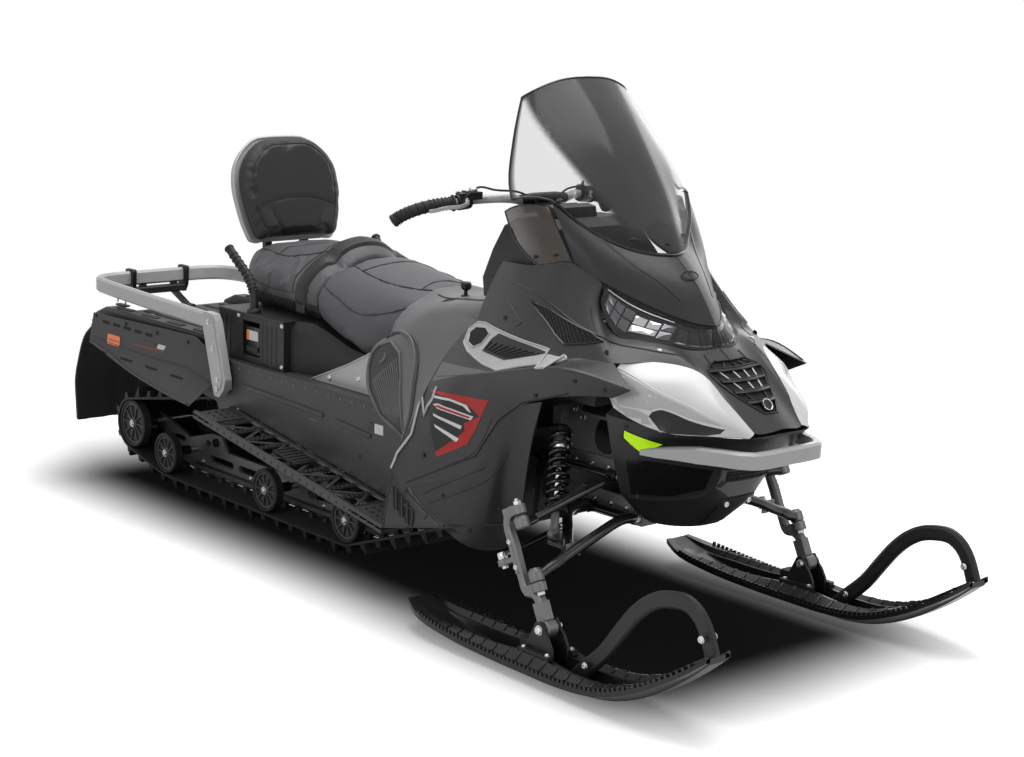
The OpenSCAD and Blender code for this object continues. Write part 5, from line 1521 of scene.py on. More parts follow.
def fender_trim():
    p = Part("fender_trim", "gloss")
    # black return that opens under the bright wedge
    lay_on(p, fender_tree, [(1143, 632), (1150, 644), (1164, 650), (1188, 644), (1222, 631), (1293, 614),
                            (1284, 603), (1258, 596), (1176, 596)],
           "gloss", flank, (0, 1, 0), 0.9, 10)
    for pts in ([(1150, 645), (1164, 651), (1188, 645), (1222, 632), (1290, 616)],
                [(1143, 630), (1152, 616), (1174, 598)]):
        edge = [beside(fender_tree, x, z, 1.0) for x, z in curve(pts, 5)]
        p.both(tube(edge, 2.0, 6, 1, smooth=False), "white")
    fold = [beside(fender_tree, x, z, -0.6)
            for x, z in curve([(1041, 733), (1108, 710), (1170, 680), (1235, 652), (1300, 622)], 6)]
    p.both(sweep(fold, [(-7, -3), (0, 2.2), (5, -3)], ref=(0, -0.7, 0.7)), "white")
    # the grey lower face of the wedge
    lay_on(p, fender_tree, [(1043, 728), (1108, 706), (1170, 676), (1235, 648), (1290, 622), (1222, 634),
                            (1188, 648), (1162, 654), (1146, 646), (1120, 648), (1064, 650)],
           "silver", flank, (0, 1, 0), 0.5, 12)
    lay_on(p, fender_tree, [(1060, 646), (1118, 644), (1141, 634), (1170, 597), (1110, 610), (1056, 636)],
           "silver", flank, (0, 1, 0), 0.5, 12)
    p.done(angle=30)


fender_trim()


def bumper_piece():
    p = Part("bumper_bar", "silver")
    half = [(1114, -251, 537), (1150, -232, 541), (1215, -192, 545), (1290, -150, 545), (1336, -130, 545),
            (1358, -108, 545), (1362, -84, 545)]
    path = half + [(1362, 0, 545)] + [(x, -y, z) for x, y, z in reversed(half)]
    P = spline(path, 6, creases=())
    n = len(P)
    grow = [min(1, 0.32 + 0.68 * min(i, n - 1 - i) / 14) for i in range(n)]
    prof = [(14, -20), (-6, -20), (-14, -12), (-14.6, 6), (-6, 20), (8, 20), (14.6, 14)]
    p.add(sweep(P, prof, ref=(0, 0, 1), scale=grow))
    for s in (-1, 1):
        p.add(prism([(1234, 538.2), (1350, 538.2), (1350, 551.8), (1230, 551.8)], 1, s * 88 - 4,
                    s * 88 + 4))
        p.add(bolt((1246, s * 183.5, 545), (0.5, s * 0.86, 0), 6, 4), "zinc")
    p.done(bevel=1.4, angle=24, replaces=("front_bumper",))


bumper_piece()


def belly_trim():
    p = Part("belly_trim", "black")
    # near-black patch of painted shade for the recess in the flank, the paler frame below it and the small
    # vent, whose opening is painted shade
    lay_on(p, belly_tree, [(1046, 506), (1028, 404), (1110, 408), (1190, 438), (1226, 494), (1160, 500),
                           (1100, 505)], "gloss", flank, (0, 1, 0), 0.7, 18)
    lay_on(p, belly_tree, [(-98, 497), (98, 497), (92, 450), (44, 418), (-44, 418), (-92, 450)], "grey",
           nose, (-1, 0, 0), 0.9, 22, both=False)
    lay_on(p, belly_tree, [(-84, 494), (84, 494), (74, 462), (-74, 462)], "void", nose, (-1, 0, 0), 1.6, 20,
           both=False)
    for z in (466, 478, 490):
        row = [onto(belly_tree, (1700, y, z), (-1, 0, 0), 2.4)
               for y in np.linspace(-80 + (490 - z) * 0.3, 80 - (490 - z) * 0.3, 9)]
        p.add(sweep(row, box_profile(3, 3, 0.8), ref=(0, 0, 1)))
    for y in np.linspace(-70, 70, 6):
        row = [onto(belly_tree, (1700, y, z), (-1, 0, 0), 2.2) for z in (464, 478, 492)]
        p.add(sweep(row, box_profile(3, 3, 0.8), ref=(0, 1, 0)))
    fold = [beside(belly_tree, x, z, -0.4)
            for x, z in curve([(1020, 398), (1110, 402), (1196, 434), (1238, 496)], 6)]
    p.both(sweep(fold, [(-6, -3), (0, 2.6), (6, -3)], ref=(0, -1, 0.3)), "graphite")
    # reflectors beside the nose; the lime one has a painted glow from its material
    lay_on(p, belly_tree, [(1048, 583), (1150, 556), (1090, 521), (1045, 558)], "gloss", flank, (0, 1, 0),
           1.0, 14)
    lay_on(p, belly_tree, [(1054, 579), (1143, 556), (1089, 527), (1050, 560)], "green", flank, (0, 1, 0),
           1.8, 14)
    # skid plate at the foot
    lay_on(p, belly_tree, [(-60, 414), (60, 414), (50, 366), (38, 328), (-38, 328), (-50, 366)], "graphite",
           nose, (-1, 0, 0), 2.4, 18, both=False)
    for y in (-40, 40):
        p.add(bolt(onto(belly_tree, (1700, y, 398), (-1, 0, 0), 2.4), (1, 0, 0.1), 6.5, 3.5), "zinc")
    p.add(block((1128, 0, 352), (26, 64, 6), ((0.9, 0, 0.43), (0, 1, 0), (-0.43, 0, 0.9))))
    for x, z in ((1060, 590), (1180, 585), (1040, 400)):
        p.both(bolt(beside(belly_tree, x, z, 0.2), (0.3, -0.9, 0), 5.5, 3))
    p.done(angle=30)


belly_trim()


def windshield_trim():
    G = windshield_grid
    r, c = G.shape[:2]
    p = Part("windshield_trim", "gloss")
    rim = [G[i, 0] for i in range(r)] + [G[r - 1, j] for j in range(1, c)]
    rim += [G[i, c - 1] for i in range(r - 2, -1, -1)]
    rim = np.array([q + 0.4 * unit(q - core(q)) for q in rim])
    p.add(sweep(rim[::2], ring(2.6, 6), ref=(0.4, 0.1, 1)))
    foot = np.array([q + 1.5 * unit(q - core(q)) for q in G[0]])
    p.add(sweep(foot[::2], box_profile(7, 4, 1), ref=(0.4, 0, 1)))
    for j in (int(c * 0.12), int(c * 0.3), int(c * 0.7), int(c * 0.88)):
        q = G[2, j]
        p.add(bolt(q, unit(q - core(q)), 7, 3.5), "black")
    p.done(angle=30)
    D = deflector_grid
    r, c = D.shape[:2]
    d = Part("deflector_trim", "gloss")
    rim = np.array([q + 0.4 * unit(q - core(q)) for q in D.reshape(-1, 3)[edge_of(r, c)]])
    d.both(sweep(rim, ring(2.2, 6), ref=(0.2, 1, 0.3), closed=True))
    for i, j in ((r - 3, 3), (r - 3, c - 4)):
        q = D[i, j]
        d.both(bolt(q, unit(q - core(q)), 6.5, 3.5), "black")
    d.done(angle=30)


windshield_trim()


# ------------------------------ side panels, knee pads, console and toe guards
def on_flank(tree, points, lift, k=5, smooth=True):
    """A curve of (x, z) points laid on the right flank"""
    P = curve(points, k) if smooth and len(points) > 2 else np.vstack(
        [[arr(a) * (1 - t) + arr(b) * t for t in np.linspace(0, 1, 8)[:-1]]
         for a, b in zip(points, points[1:])] + [[arr(points[-1])]])
    return np.array([beside(tree, x, z, lift) for x, z in P])


def ring_on(tree, outline, lift, n=5):
    """A closed outline of (x, z) points laid on the right flank"""
    loop = []
    for i, a in enumerate(outline):
        b = outline[(i + 1) % len(outline)]
        loop += [beside(tree, a[0] * (1 - t) + b[0] * t, a[1] * (1 - t) + b[1] * t, lift)
                 for t in np.linspace(0, 1, n + 1)[:-1]]
    return np.array(loop)


def side_details():
    p = Part("side_trim", "graphite")
    T = side_tree

    def lay(outline, mat, lift=0.8, step=12):
        p.both(decal(outline, T, flank, (0, 1, 0), step, lift), mat)
    # vent frame with its ribbed insert and the handhold, whose opening is painted shade
    hole = [(505, 740), (521, 757), (567, 762), (597, 752), (588, 726), (560, 713), (522, 720)]
    insert = [(636, 759), (858, 746), (714, 707), (607, 712), (618, 744)]
    frame_line = [(500, 716), (489, 748), (512, 768), (548, 772), (607, 767), (760, 757), (907, 752),
                  (920, 742), (900, 731), (800, 708), (716, 684), (640, 686), (600, 692), (540, 702)]
    lay(frame_line, "silver", 2.0)
    p.both(sweep(ring_on(T, frame_line, 1.0), ring(3.2, 8), ref=(0, 1, 0), closed=True), "silver")
    lay(hole, "void", 2.8, 8)
    p.both(sweep(ring_on(T, hole, 3.0), ring(2.2, 6), ref=(0, 1, 0), closed=True), "silver")
    lay(insert, "black", 2.8, 10)
    for k in range(9):
        t = k / 8
        a = part_way((612, 713), (714, 708), t * 0.95 + 0.02)
        b = part_way((620, 742), (852, 745), t * 0.95 + 0.03)
        p.both(sweep(on_flank(T, [a, b], 4.0, smooth=False)[1:-1], box_profile(3.4, 3.4, 0.8),
                     ref=(0, 1, 0)),
               "black")
    # pale panel behind the frame
    lay([(441, 657), (682, 676), (560, 643), (441, 608)], "grey", 0.7)
    # plain striped graphic
    lay([(450, 590), (570, 597), (693, 604), (653, 527), (624, 477), (560, 444), (517, 425)], "red", 0.8)
    lay([(453, 584), (545, 584), (622, 575), (661, 556), (604, 528), (611, 510), (584, 487), (512, 437),
         (470, 530)], "ink", 1.2)
    lay([(462, 577), (545, 583), (612, 577), (630, 560), (618, 562), (598, 572), (545, 577), (466, 571)],
        "paper", 1.6)
    lay([(478, 556), (500, 562), (640, 552), (630, 541), (500, 549)], "paper", 1.6)
    lay([(484, 552), (502, 558), (628, 549), (622, 544), (500, 552)], "red", 2.0)
    lay([(486, 534), (600, 521), (596, 511), (490, 528)], "paper", 1.6)
    lay([(498, 508), (594, 486), (584, 476), (504, 500)], "paper", 1.6)
    # gloss edge beside the knee, shoulder glint and the joint with the lower panel
    p.both(sweep(on_flank(T, [(436, 668), (432, 640), (428, 604), (398, 500), (364, 400), (358, 370)], 1.6),
                 box_profile(9, 4.5, 1.4), ref=(0.3, 1, 0)), "silver")
    p.both(sweep(on_flank(T, [(452, 622), (560, 645), (690, 674), (780, 695), (960, 729), (1120, 706)],
                          -0.6, 6), [(-6, -2), (0, 2.4), (6, -2)], ref=(0, -1, 0.5)), "charcoal")
    p.both(sweep(on_flank(T, [(415, 336), (530, 392), (655, 452), (728, 560), (795, 613), (945, 661)], 0.4,
                          6, False), ring(2.2, 6), ref=(0, 1, 0)), "gloss")
    p.both(sweep(on_flank(T, [(470, 362), (560, 410), (648, 460), (705, 560)], 0.0, 6), ring(1.6, 6),
                 ref=(0, 1, 0)))
    for x, z in ((980, 700), (1060, 690), (470, 420), (840, 640)):
        p.both(bolt(beside(T, x, z, 0.2), (0, -1, 0), 6, 3), "black")
    p.done(angle=28)
    q = Part("lower_trim", "graphite")
    L = lower_tree

    def low(points, r, mat, lift=0.2, smooth=True):
        q.both(sweep(on_flank(L, points, lift, 6, smooth), ring(r, 6), ref=(0, 1, 0)), mat)
    low([(488, 322), (570, 368), (653, 408), (690, 428)], 2.4, "graphite", 0.0)
    low([(520, 305), (620, 352), (690, 392), (740, 470)], 2.0, "graphite", 0.0)
    low([(418, 330), (500, 290), (588, 258)], 2.2, "gloss", 0.2, False)
    low([(622, 222), (660, 204), (700, 206), (738, 300)], 2.2, "graphite", 0.2)
    for x, z in ((640, 250), (700, 320), (560, 330)):
        q.both(bolt(beside(L, x, z, 0.2), (0, -1, 0), 6, 3), "black")
    q.done(angle=28)


side_details()


def toe_piece():
    net = [
        [(360, 430, 363), (383, 425, 341), (404, 426, 320)],
        [(355, 440, 290), (424, 431, 289), (498, 431, 285)],
        [(347.8, 446, 200), (470, 438, 227), (588, 435.5, 253)]]
    G = dense(side(net), 8, 8)
    p = Part("toe_shields", "graphite")
    p.both(sheet(G, 5))
    tree = tree_of_grid(G)
    # louvre slots of painted shade, each with a fin beside it
    for k in range(4):
        x, z = 372 + 24 * k, 322 - 13 * k
        slot = [(x, z), (x + 14, z - 6), (x + 26, z - 64), (x + 14, z - 62)]
        p.both(decal(slot, tree, flank, (0, 1, 0), 14, 0.8), "void")
        fin = [beside(tree, a, b, 2.0) for a, b in ((x + 16, z - 8), (x + 22, z - 36), (x + 28, z - 64))]
        p.both(sweep(fin, box_profile(5, 5, 1.4), ref=(0, 1, 0)))
    rim = ring_on(tree, [(366, 352), (402, 322), (494, 287), (580, 254), (470, 230), (352, 206),
                         (358, 290)], 0.2, 6)
    p.both(sweep(rim, ring(2.0, 6), ref=(0, 1, 0), closed=True))
    p.done(bevel=1.0, angle=30, replaces=("toe_guards",))


toe_piece()

knee_net = [
    [(180, 288, 690), (260, 262, 748), (400, 250, 770), (500, 262, 772)],
    [(120, 318, 640), (210, 320, 660), (350, 318, 670), (440, 318, 672)],
    [(112, 334, 560), (210, 344, 560), (330, 356, 580), (430, 362, 603)],
    [(190, 345, 470), (250, 350, 470), (310, 362, 478), (394, 396, 484.5)],
    [(300, 340, 424), (312, 345, 422), (326, 352, 420), (358, 430, 366)]]


def knee_piece():
    G = dense(side(knee_net), 8, 8)
    p = Part("knee_shells", "grey")
    p.both(sheet(G, 7))
    tree = tree_of_grid(G)
    # curved ribs of the grip area, inside a raised border
    border = [(150, 655), (200, 672), (255, 650), (290, 590), (318, 500), (328, 440), (304, 430),
              (262, 452), (200, 470), (140, 530), (122, 590), (128, 630)]
    p.both(decal(border, tree, flank, (0, 1, 0), 14, 0.9), "graphite")
    p.both(sweep(ring_on(tree, border, 1.6, 5), ring(4.0, 8), ref=(0, 1, 0), closed=True))
    n = 13
    for k in range(n):
        t = (k + 1) / (n + 1)
        a = part_way((134, 560), (246, 656), t)
        b = part_way((214, 464), (322, 470), t)
        m = part_way(a, b, 0.5)
        pts = [tuple(a), (m[0] + 12, m[1] + 6), tuple(b)]
        p.both(sweep(on_flank(tree, pts, 2.0, 5)[1:-1], ring(2.6, 6), ref=(0, 1, 0)))
    # strap over the top and the gloss band beside the panel
    for off, r, mat in ((0, 5, "grey"), (16, 3, "graphite")):
        band = on_flank(tree, [(150 + off, 676), (210 + off, 700), (280 + off, 690), (330 + off, 640),
                               (360 + off, 560), (366 + off, 470), (350 + off, 415)], 1.0, 6)
        p.both(sweep(band, ring(r, 8), ref=(0, 1, 0)), mat)
    p.done(bevel=1.2, angle=34, replaces=("knee_pads",))


knee_piece()


def loft_rings(rings, k=5, creases=()):
    """Smooth closed-section loft with flat ends"""
    R = arr(rings)
    cols = [spline(R[:, j], k, creases) for j in range(R.shape[1])]
    return skin(np.array(cols).transpose(1, 0, 2))


def console_piece():
    p = Part("console_cover", "grey")
    rings = []
    for x, bottom, top, w_low, w_wide, w_top in ((85.6, 620, 785, 215, 225, 95),
                                                 (150, 560, 778, 250, 275, 130),
                                                 (240, 488, 786, 255, 286, 165),
                                                (330, 488, 800, 255, 290, 190),
                                                (420, 488, 812, 255, 288, 200),
                                                (469, 488, 821, 250, 276, 205)):
        h = top - bottom
        prof = [(w_low, bottom), (w_wide, bottom + h * 0.35), ((w_wide + w_top) / 2 + 6, bottom + h * 0.74),
                (w_top + 4, top - 16), (w_top * 0.8, top - 4), (w_top * 0.4, top)]
        smooth = curve(prof, 4)
        half = [(x, a, b) for a, b in smooth]
        rings.append(half + [(q[0], -q[1], q[2]) for q in reversed(half)])
    v, f = loft_rings(rings, 5)
    p.add((v, f))
    o = p.done(angle=34, replaces=("tank_console",))
    tree = tree_of(o)
    q = Part("console_trim", "graphite")

    def top_at(x, y, lift):
        return onto(tree, (x, y, 1100), (0, 0, -1), lift)
    # filler cap, key knob and the band across the front
    c = top_at(300, 0, 0)
    q.add(lathe([(52, -3), (52, 6), (48, 12), (40, 14), (0, 15)], c, (0, 0, 1), 32), "black")
    for k in range(12):
        a = 2 * math.pi * k / 12
        q.add(block(c + arr((49 * math.cos(a), 49 * math.sin(a), 6)), (8, 8, 10)), "black")
    k = top_at(255, -100, 0)
    q.add(lathe([(13, -2), (13, 3), (6, 4), (5, 16), (11, 19), (15, 24), (15, 36), (12, 40), (0, 40)], k,
                (0.05, 0, 1), 8), "black")
    for s in (-1, 1):
        band = [top_at(x, s * y, 0.6) for x, y in curve([(130, 96), (220, 128), (330, 160), (440, 178)], 6)]
        q.add(sweep(band, ring(2.6, 6), ref=(0, 0, 1)))
    # key slot of painted shade
    slot = [(x, y) for x, y in rounded(214, 270, -154, -128, 8)]
    q.add(decal(slot, tree, lambda u, w: (u, w, 1100), (0, 0, -1), 16, 0.8), "void")
    screen = [(402, -78), (402, 78), (452, 86), (452, -86)]
    q.add(decal(screen, tree, lambda u, w: (u, w, 1100), (0, 0, -1), 20, 0.9), "gloss")
    q.done(bevel=0.6)


console_piece()


def brackets_piece():
    p = Part("foot_gussets", "rack")
    outline = [(-240, 487.8), (235, 487.8), (180, 540), (128, 560), (96, 604), (60, 617), (-60, 559)]
    for s in (-1, 1):
        p.add(prism(outline, 1, s * 262, s * 266.6))
        inset = [(-150, 500), (190, 500), (158, 530), (112, 548), (84, 588), (58, 598), (-50, 546)]
        p.add(prism(inset, 1, s * 266.4, s * 268.6))
        p.add(sweep([(-238, s * 267.6, 489), (-60, s * 267.6, 560), (60, s * 267.6, 617)],
                    box_profile(4, 6, 1), ref=(0, 1, 0)))
        for x, z in ((-10, 526), (112, 520), (60, 580), (-150, 506)):
            p.add(bolt((x, s * 268.2, z), (0, s, 0), 7, 4.5), "zinc")
    p.done(bevel=0.8, replaces=("tank_brackets",))


brackets_piece()


def box_piece():
    p = Part("storage_box", "black")
    H = 285

    def slab(x0, x1, z0, z1, y0, y1, mat=None):
        p.both(block(((x0 + x1) / 2, -(y0 + y1) / 2, (z0 + z1) / 2), (x1 - x0, y1 - y0, z1 - z0)), mat)
    p.add(block((-537.5, 0, 563), (354, 440, 150)))
    slab(-714, -581, 488, 638.6, 219, H)
    slab(-489, -361, 488, 638.6, 219, H)
    slab(-582, -488, 488, 509.5, 219, H)
    slab(-582, -488, 615.5, 638.6, 219, H)
    rings = []
    for x, z, w in ((-361, 639, 260), (-301, 639, 240), (-250, 621, 225), (-150, 587, 215), (-60, 571, 200),
                    (0, 560, 180)):
        rings.append([(x, -w, 488), (x, w, 488), (x, w, z - 26), (x, w - 20, z - 1), (x, 20 - w, z - 1),
                      (x, -w, z - 26)])
    p.add(loft_rings(rings, 1))
    # lip round the top and moulded ribs
    for s in (-1, 1):
        p.add(sweep([(-714, s * (H - 2), 634), (-362, s * (H - 2), 634)], box_profile(7, 9, 2),
                    ref=(0, 0, 1)))
        for x in (-700, -676, -652, -474, -450, -426, -402):
            p.add(sweep([(x, s * (H - 0.5), 500), (x, s * (H - 0.5), 616)], box_profile(5, 4, 1),
                        ref=(0, 1, 0)))
        # pouch in the pocket, its blank label and strap
        p.add(block((-535, s * 262, 556), (72, 34, 84)), "gloss")
        p.add(block((-535, s * 280, 572), (60, 3, 30)), "paper")
        # orange tag, with a painted glow from its material
        p.add(block((-558, s * 281.8, 572), (12, 1.2, 28)), "orange")
        p.add(block((-535, s * 281, 530), (62, 3, 16)), "vinyl_black")
        for x, z in ((-708, 500), (-372, 500), (-372, 626), (-604, 626)):
            p.add(bolt((x, s * H, z), (0, s, 0), 6, 3), "zinc")
    p.done(bevel=2.2, angle=30, replaces=("seat_box",))


box_piece()


def handles_piece():
    p = Part("passenger_grips", "black")
    for s in (-1, 1):
        path = spline([(-556, s * 262, 640), (-556, s * 262, 690), (-566, s * 262, 715),
                       (-590, s * 264, 748), (-630, s * 272, 787), (-664, s * 279, 820)], 6)
        scale = [1.0] * len(path)
        p.add(sweep(path, ring(14.5, 16, 0.86), ref=(0, 1, 0), scale=scale))
        for k in range(9, len(path) - 2, 2):
            d = path[k + 1] - path[k]
            p.add(lathe([(14, -2), (15.6, -1), (15.6, 1), (14, 2)], path[k], d, 18, closed=True), "rubber")
        p.add(lathe([(22, 0), (22, 6), (18, 12), (14, 14)], (-556, s * 262, 639.4), (0, 0, 1), 24))
        p.add(lathe([(0, 0), (15, 0), (15.4, 5), (12, 10), (0, 12)], path[-1], path[-1] - path[-2], 18),
              "rubber")
    p.done(angle=34, replaces=("grab_handles",))


handles_piece()


# ------------------------------ front frame, arms, shocks, spindles and skis
# half stance of the skis, and the kingpins' rake
STANCE = 475
CASTER = math.radians(25.6)
K_AXIS = arr((-math.sin(CASTER), 0, math.cos(CASTER)))
K_X = arr((math.cos(CASTER), 0, math.sin(CASTER)))
K_FOOT = arr((1052, -STANCE, 132))
K_TURN = np.array([K_X, (0, 1, 0), K_AXIS]).T


def pin(s):
    """Point of the right kingpin's axis, s above its foot"""
    return K_FOOT + s * K_AXIS


LOWER_JOINT, UPPER_JOINT = pin(112), pin(246)


def arms_piece():
    p = Part("suspension_arms", "arm")
    neck = LOWER_JOINT + arr((0, 11.4, 4))
    fork = arr((1006, -389, 268))
    # gloss lower arm: two bent tubes that meet at the fork
    p.both(tube([neck + arr((0, 2, 0)), tuple((neck + fork) / 2 + arr((2, 0, 2))), fork, (1012, -300, 306),
                 (1006, -200, 334), (985, -140, 326), (960, -113, 316)], 13.7, 16, 5, ref=(1, 0, 0)))
    p.both(tube([neck + arr((-2, 2, 0)), fork + arr((-2, 0, 0)), (930, -310, 304), (830, -210, 322),
                 (800, -113, 314)], 13.7, 16, 5, ref=(1, 0, 0.2)))
    p.both(rod_shape((753, -113.6, 314), (975, -113.6, 314), 10))
    p.both(rod_shape((916, -356, 280.6), (1004, -356, 280.6), 9))
    for x in (800, 960):
        p.both(lathe([(10.2, -17), (15, -17), (16, 0), (15, 17), (10.2, 17)], (x, -113.6, 314), (1, 0, 0),
                     20, closed=True))
    for at in (LOWER_JOINT, UPPER_JOINT):
        p.both(lathe([(0, -11.6), (15, -11.6), (18.6, -8), (18.6, 14), (15, 19), (11, 23.4), (0, 23.6)], at,
                     K_AXIS, 24), "cast")
    # thin upper arm
    fork_u = UPPER_JOINT + arr((-20, 50, 0))
    p.both(tube([UPPER_JOINT + arr((0, 11.4, 1)), tuple(fork_u + arr((0, 5, 0)))], 12.3, 16, ref=(1, 0, 0),
                smooth=False))
    for x in (960, 690):
        p.both(rod_shape(fork_u, (x, -185.3, 436), 10.8, 16))
        p.both(bush((x, -185.3, 436), (1, 0, 0), 10.2, 15, 14))
    p.both(rod_shape((670, -185.3, 436), (975, -185.3, 436), 10))
    for x, y, z in ((976, -113.6, 314), (976, -185.3, 436)):
        p.both(bolt((x, y, z), (1, 0, 0), 8, 6), "zinc")
    # bracket plate on the lower arm
    p.both(block((1002, -356, 283), (5, 46, 34)), "cast")
    p.done(bevel=0.5, angle=34, replaces=("front_arms",))


arms_piece()


def shocks_piece():
    p = Part("front_dampers", "arm")
    H, F = arr((800, -220, 567)), arr((930, -356, 305))
    d = F - H

    def at(t):
        return H + d * t
    for q in (H, F):
        p.both(bush(q, (1, 0, 0), 8, 14.6, 8.5, 24), "cast")
        p.both(lathe([(0, -8.6), (8.4, -8.6), (8.4, 8.6), (0, 8.6)], q, (1, 0, 0), 16), "zinc")
    p.both(rod_shape(at(0.035), at(0.14), 10.5), "cast")
    p.both(rod_shape(at(0.10), at(0.46), 20), "gloss")
    p.both(rod_shape(at(0.44), at(0.985), 7.5), "chrome")
    p.both(rod_shape(at(0.78), at(0.97), 10.8), "cast")
    for t0, t1, r in ((0.13, 0.165, 30), (0.79, 0.825, 30), (0.30, 0.325, 23), (0.17, 0.185, 24)):
        p.both(rod_shape(at(t0), at(t1), r, 28), "gloss" if r < 30 else "black")
    p.both(coil(at(0.168), at(0.788), 25.2, 9, 4.7, 10, 20), "gloss")
    # bright band round the damper's body
    p.both(lathe([(20.1, 0), (20.7, 1), (20.7, 30), (20.1, 31)], at(0.20), d, 28, closed=True), "zinc")
    # bump rubber
    p.both(rod_shape(at(0.72), at(0.79), 15, 20, 12), "rubber")
    p.done(bevel=0.4, angle=34, replaces=("front_shocks",))


shocks_piece()


def frame_details():
    p = Part("frame_trim", "cast")
    for s in (-1, 1):
        # bolts at the damper's upper mount and through the frame's rails
        for x, y, z in ((772, 176, 578), (772, 150, 552)):
            p.add(bolt((799.9, s * y, z), (1, 0, 0), 7, 4), "zinc")
        for x in (760, 800, 860, 920, 958):
            p.add(bolt((x, s * 168.2, 446), (0, s, 0), 6, 4), "zinc")
            p.add(bolt((x, s * 96.2, 330), (0, s, 0), 6, 4), "zinc")
    for x in (790, 850, 910):
        p.add(bolt((x, 40, 291.8), (0, 0, -1), 6, 4), "zinc")
        p.add(bolt((x, -40, 291.8), (0, 0, -1), 6, 4), "zinc")
    p.done()
    e = Part("engine_fins", "cast")
    for k in range(7):
        e.add(block((640 + 35 * k, 0, 817), (8, 360, 6)))
    e.done(bevel=0.5)


frame_details()


def mirrored(shape):
    """The shape's mirror image on the left side"""
    v, f = shape
    return arr(v) * (1, -1, 1), [tuple(reversed(q)) for q in f]


def spindle_piece(side_name, s):
    body = "spindle_" + side_name
    p = Part("steering_knuckle_" + side_name, "cast", body)

    def put(part, shape, mat=None):
        part.add(mirrored(shape) if s > 0 else shape, mat)

    def on_pin(x, y, z):
        return K_FOOT + K_X * x + arr((0, y, 0)) + K_AXIS * z
    # C-shaped forging: a leg behind the kingpin with a lug at each ball joint
    spine = [on_pin(-2, 0, 258 + 24), on_pin(-30, 0, 282), on_pin(-46, 0, 268), on_pin(-51, 0, 200),
             on_pin(-50, 0, 130), on_pin(-44, 0, 88), on_pin(-22, 0, 76), on_pin(-9, 0, 60),
             on_pin(-9, 0, 8)]
    P = spline(spine, 5)
    prof = [(12.5, -8), (12.5, 8), (7, 12.5), (-7, 12.5), (-12.5, 8), (-12.5, -8), (-7, -12.5), (7, -12.5)]
    put(p, sweep(P, prof, ref=(0, 1, 0), scale=[0.92 + 0.12 * math.sin(i * 0.3) ** 2
                                                for i in range(len(P))]))
    for z0 in (76.0, 270.4):
        put(p, lathe([(8, 0), (17, 0), (18.6, 2), (18.6, 22), (17, 24), (8, 24)], on_pin(0, 0, z0), K_AXIS,
                     28, closed=True))
        put(p, block(on_pin(-28, 0, z0 + 12), (40, 25, 23), K_TURN))
    # recessed face of the leg
    put(p, block(on_pin(-51, -12.6, 182), (12, 3, 96), K_TURN))
    # nuts and bolts on the ball joints
    castle_nut = [(10.5, 0), (10.5, 9), (7, 11), (5, 11), (5, 15), (0, 15)]
    plain_nut = [(10.5, 0), (10.5, 8), (8, 9.5), (0, 9.5)]
    for z0, sgn, nut in ((294.4, 1, castle_nut), (75.9, -1, plain_nut)):
        put(p, lathe(nut, on_pin(0, 0, z0), K_AXIS * sgn, 6), "zinc")
    # foot round the ski's pin
    put(p, lathe([(7.4, -16.8), (18, -16.8), (21, -14), (21, 14), (18, 16.8), (7.4, 16.8)],
                 (K_FOOT[0], -STANCE, 118), (0, 1, 0), 32, closed=True))
    put(p, block(on_pin(-9, 0, 30), (32, 28, 46), K_TURN))
    # steering arm
    eye = arr((882, -STANCE, 240))
    arm = [eye + K_X * 12, eye + K_X * 34, eye + K_X * 66,
           on_pin(-52, 0, float((eye + K_X * 80 - K_FOOT) @ K_AXIS))]
    put(p, sweep(arm, box_profile(17, 15, 3), ref=(0, 0, 1)))
    put(p, lathe([(6, -8), (14, -8), (15, -6), (15, 6), (14, 8), (6, 8)], eye, K_AXIS, 28, closed=True))
    put(p, lathe([(8.5, 0), (8.5, 7), (5, 8), (0, 8)], eye - K_AXIS * 8, -K_AXIS, 6), "zinc")
    # side bolts
    for z in (150, 214):
        put(p, bolt(on_pin(-51, -14, z), (0, -1, 0), 5.5, 4), "zinc")
    p.done(bevel=0.8, angle=32, replaces=("spindle_" + side_name,))
    # tie rod with its ball end, locknut and tube
    t = Part("tie_link_" + side_name, "zinc", "tie_rod_" + side_name)
    middle = eye + K_AXIS * 17.3
    inner = middle + arr((-46, 245, 26))
    d = unit(inner - middle)
    put(t, lathe([(5, 0), (11, 0), (12, 3), (12, 15), (10, 18), (0, 18.3)], eye + K_AXIS * 8.4, K_AXIS, 24))
    put(t, rod_shape(middle, middle + d * 40, 6.6, 16))
    put(t, lathe([(9.5, 0), (9.5, 8)], middle + d * 36, d, 6))
    put(t, rod_shape(middle + d * 44, inner - d * 30, 8, 18), "arm")
    put(t, lathe([(9.5, 0), (9.5, 8)], inner - d * 34, d, 6))
    put(t, rod_shape(inner - d * 30, inner, 7, 16))
    put(t, lathe([(0, -9), (8, -9), (11, -5), (11, 5), (8, 9), (0, 9)], inner - d * 4, (0.2, 0, 1), 20))
    t.done(bevel=0.4, angle=34, replaces=("tie_rod_" + side_name,))


ski_stations = [(560, 58, 62, 46), (620, 36, 48, 70), (760, 10, 32, 84), (900, 0, 24, 84),
                (1050, 0, 22, 84), (1200, 0, 24, 84),
                (1300, 14, 36, 82), (1400, 50, 70, 76), (1500, 108, 122, 66), (1560, 152, 160, 56),
                (1606, 190, 196, 40)]


def rib_height(x):
    """Height of a ski's two long ribs"""
    return 0.5 if x < 700 or x > 1480 else 44 - abs(x - 1060) * 0.085


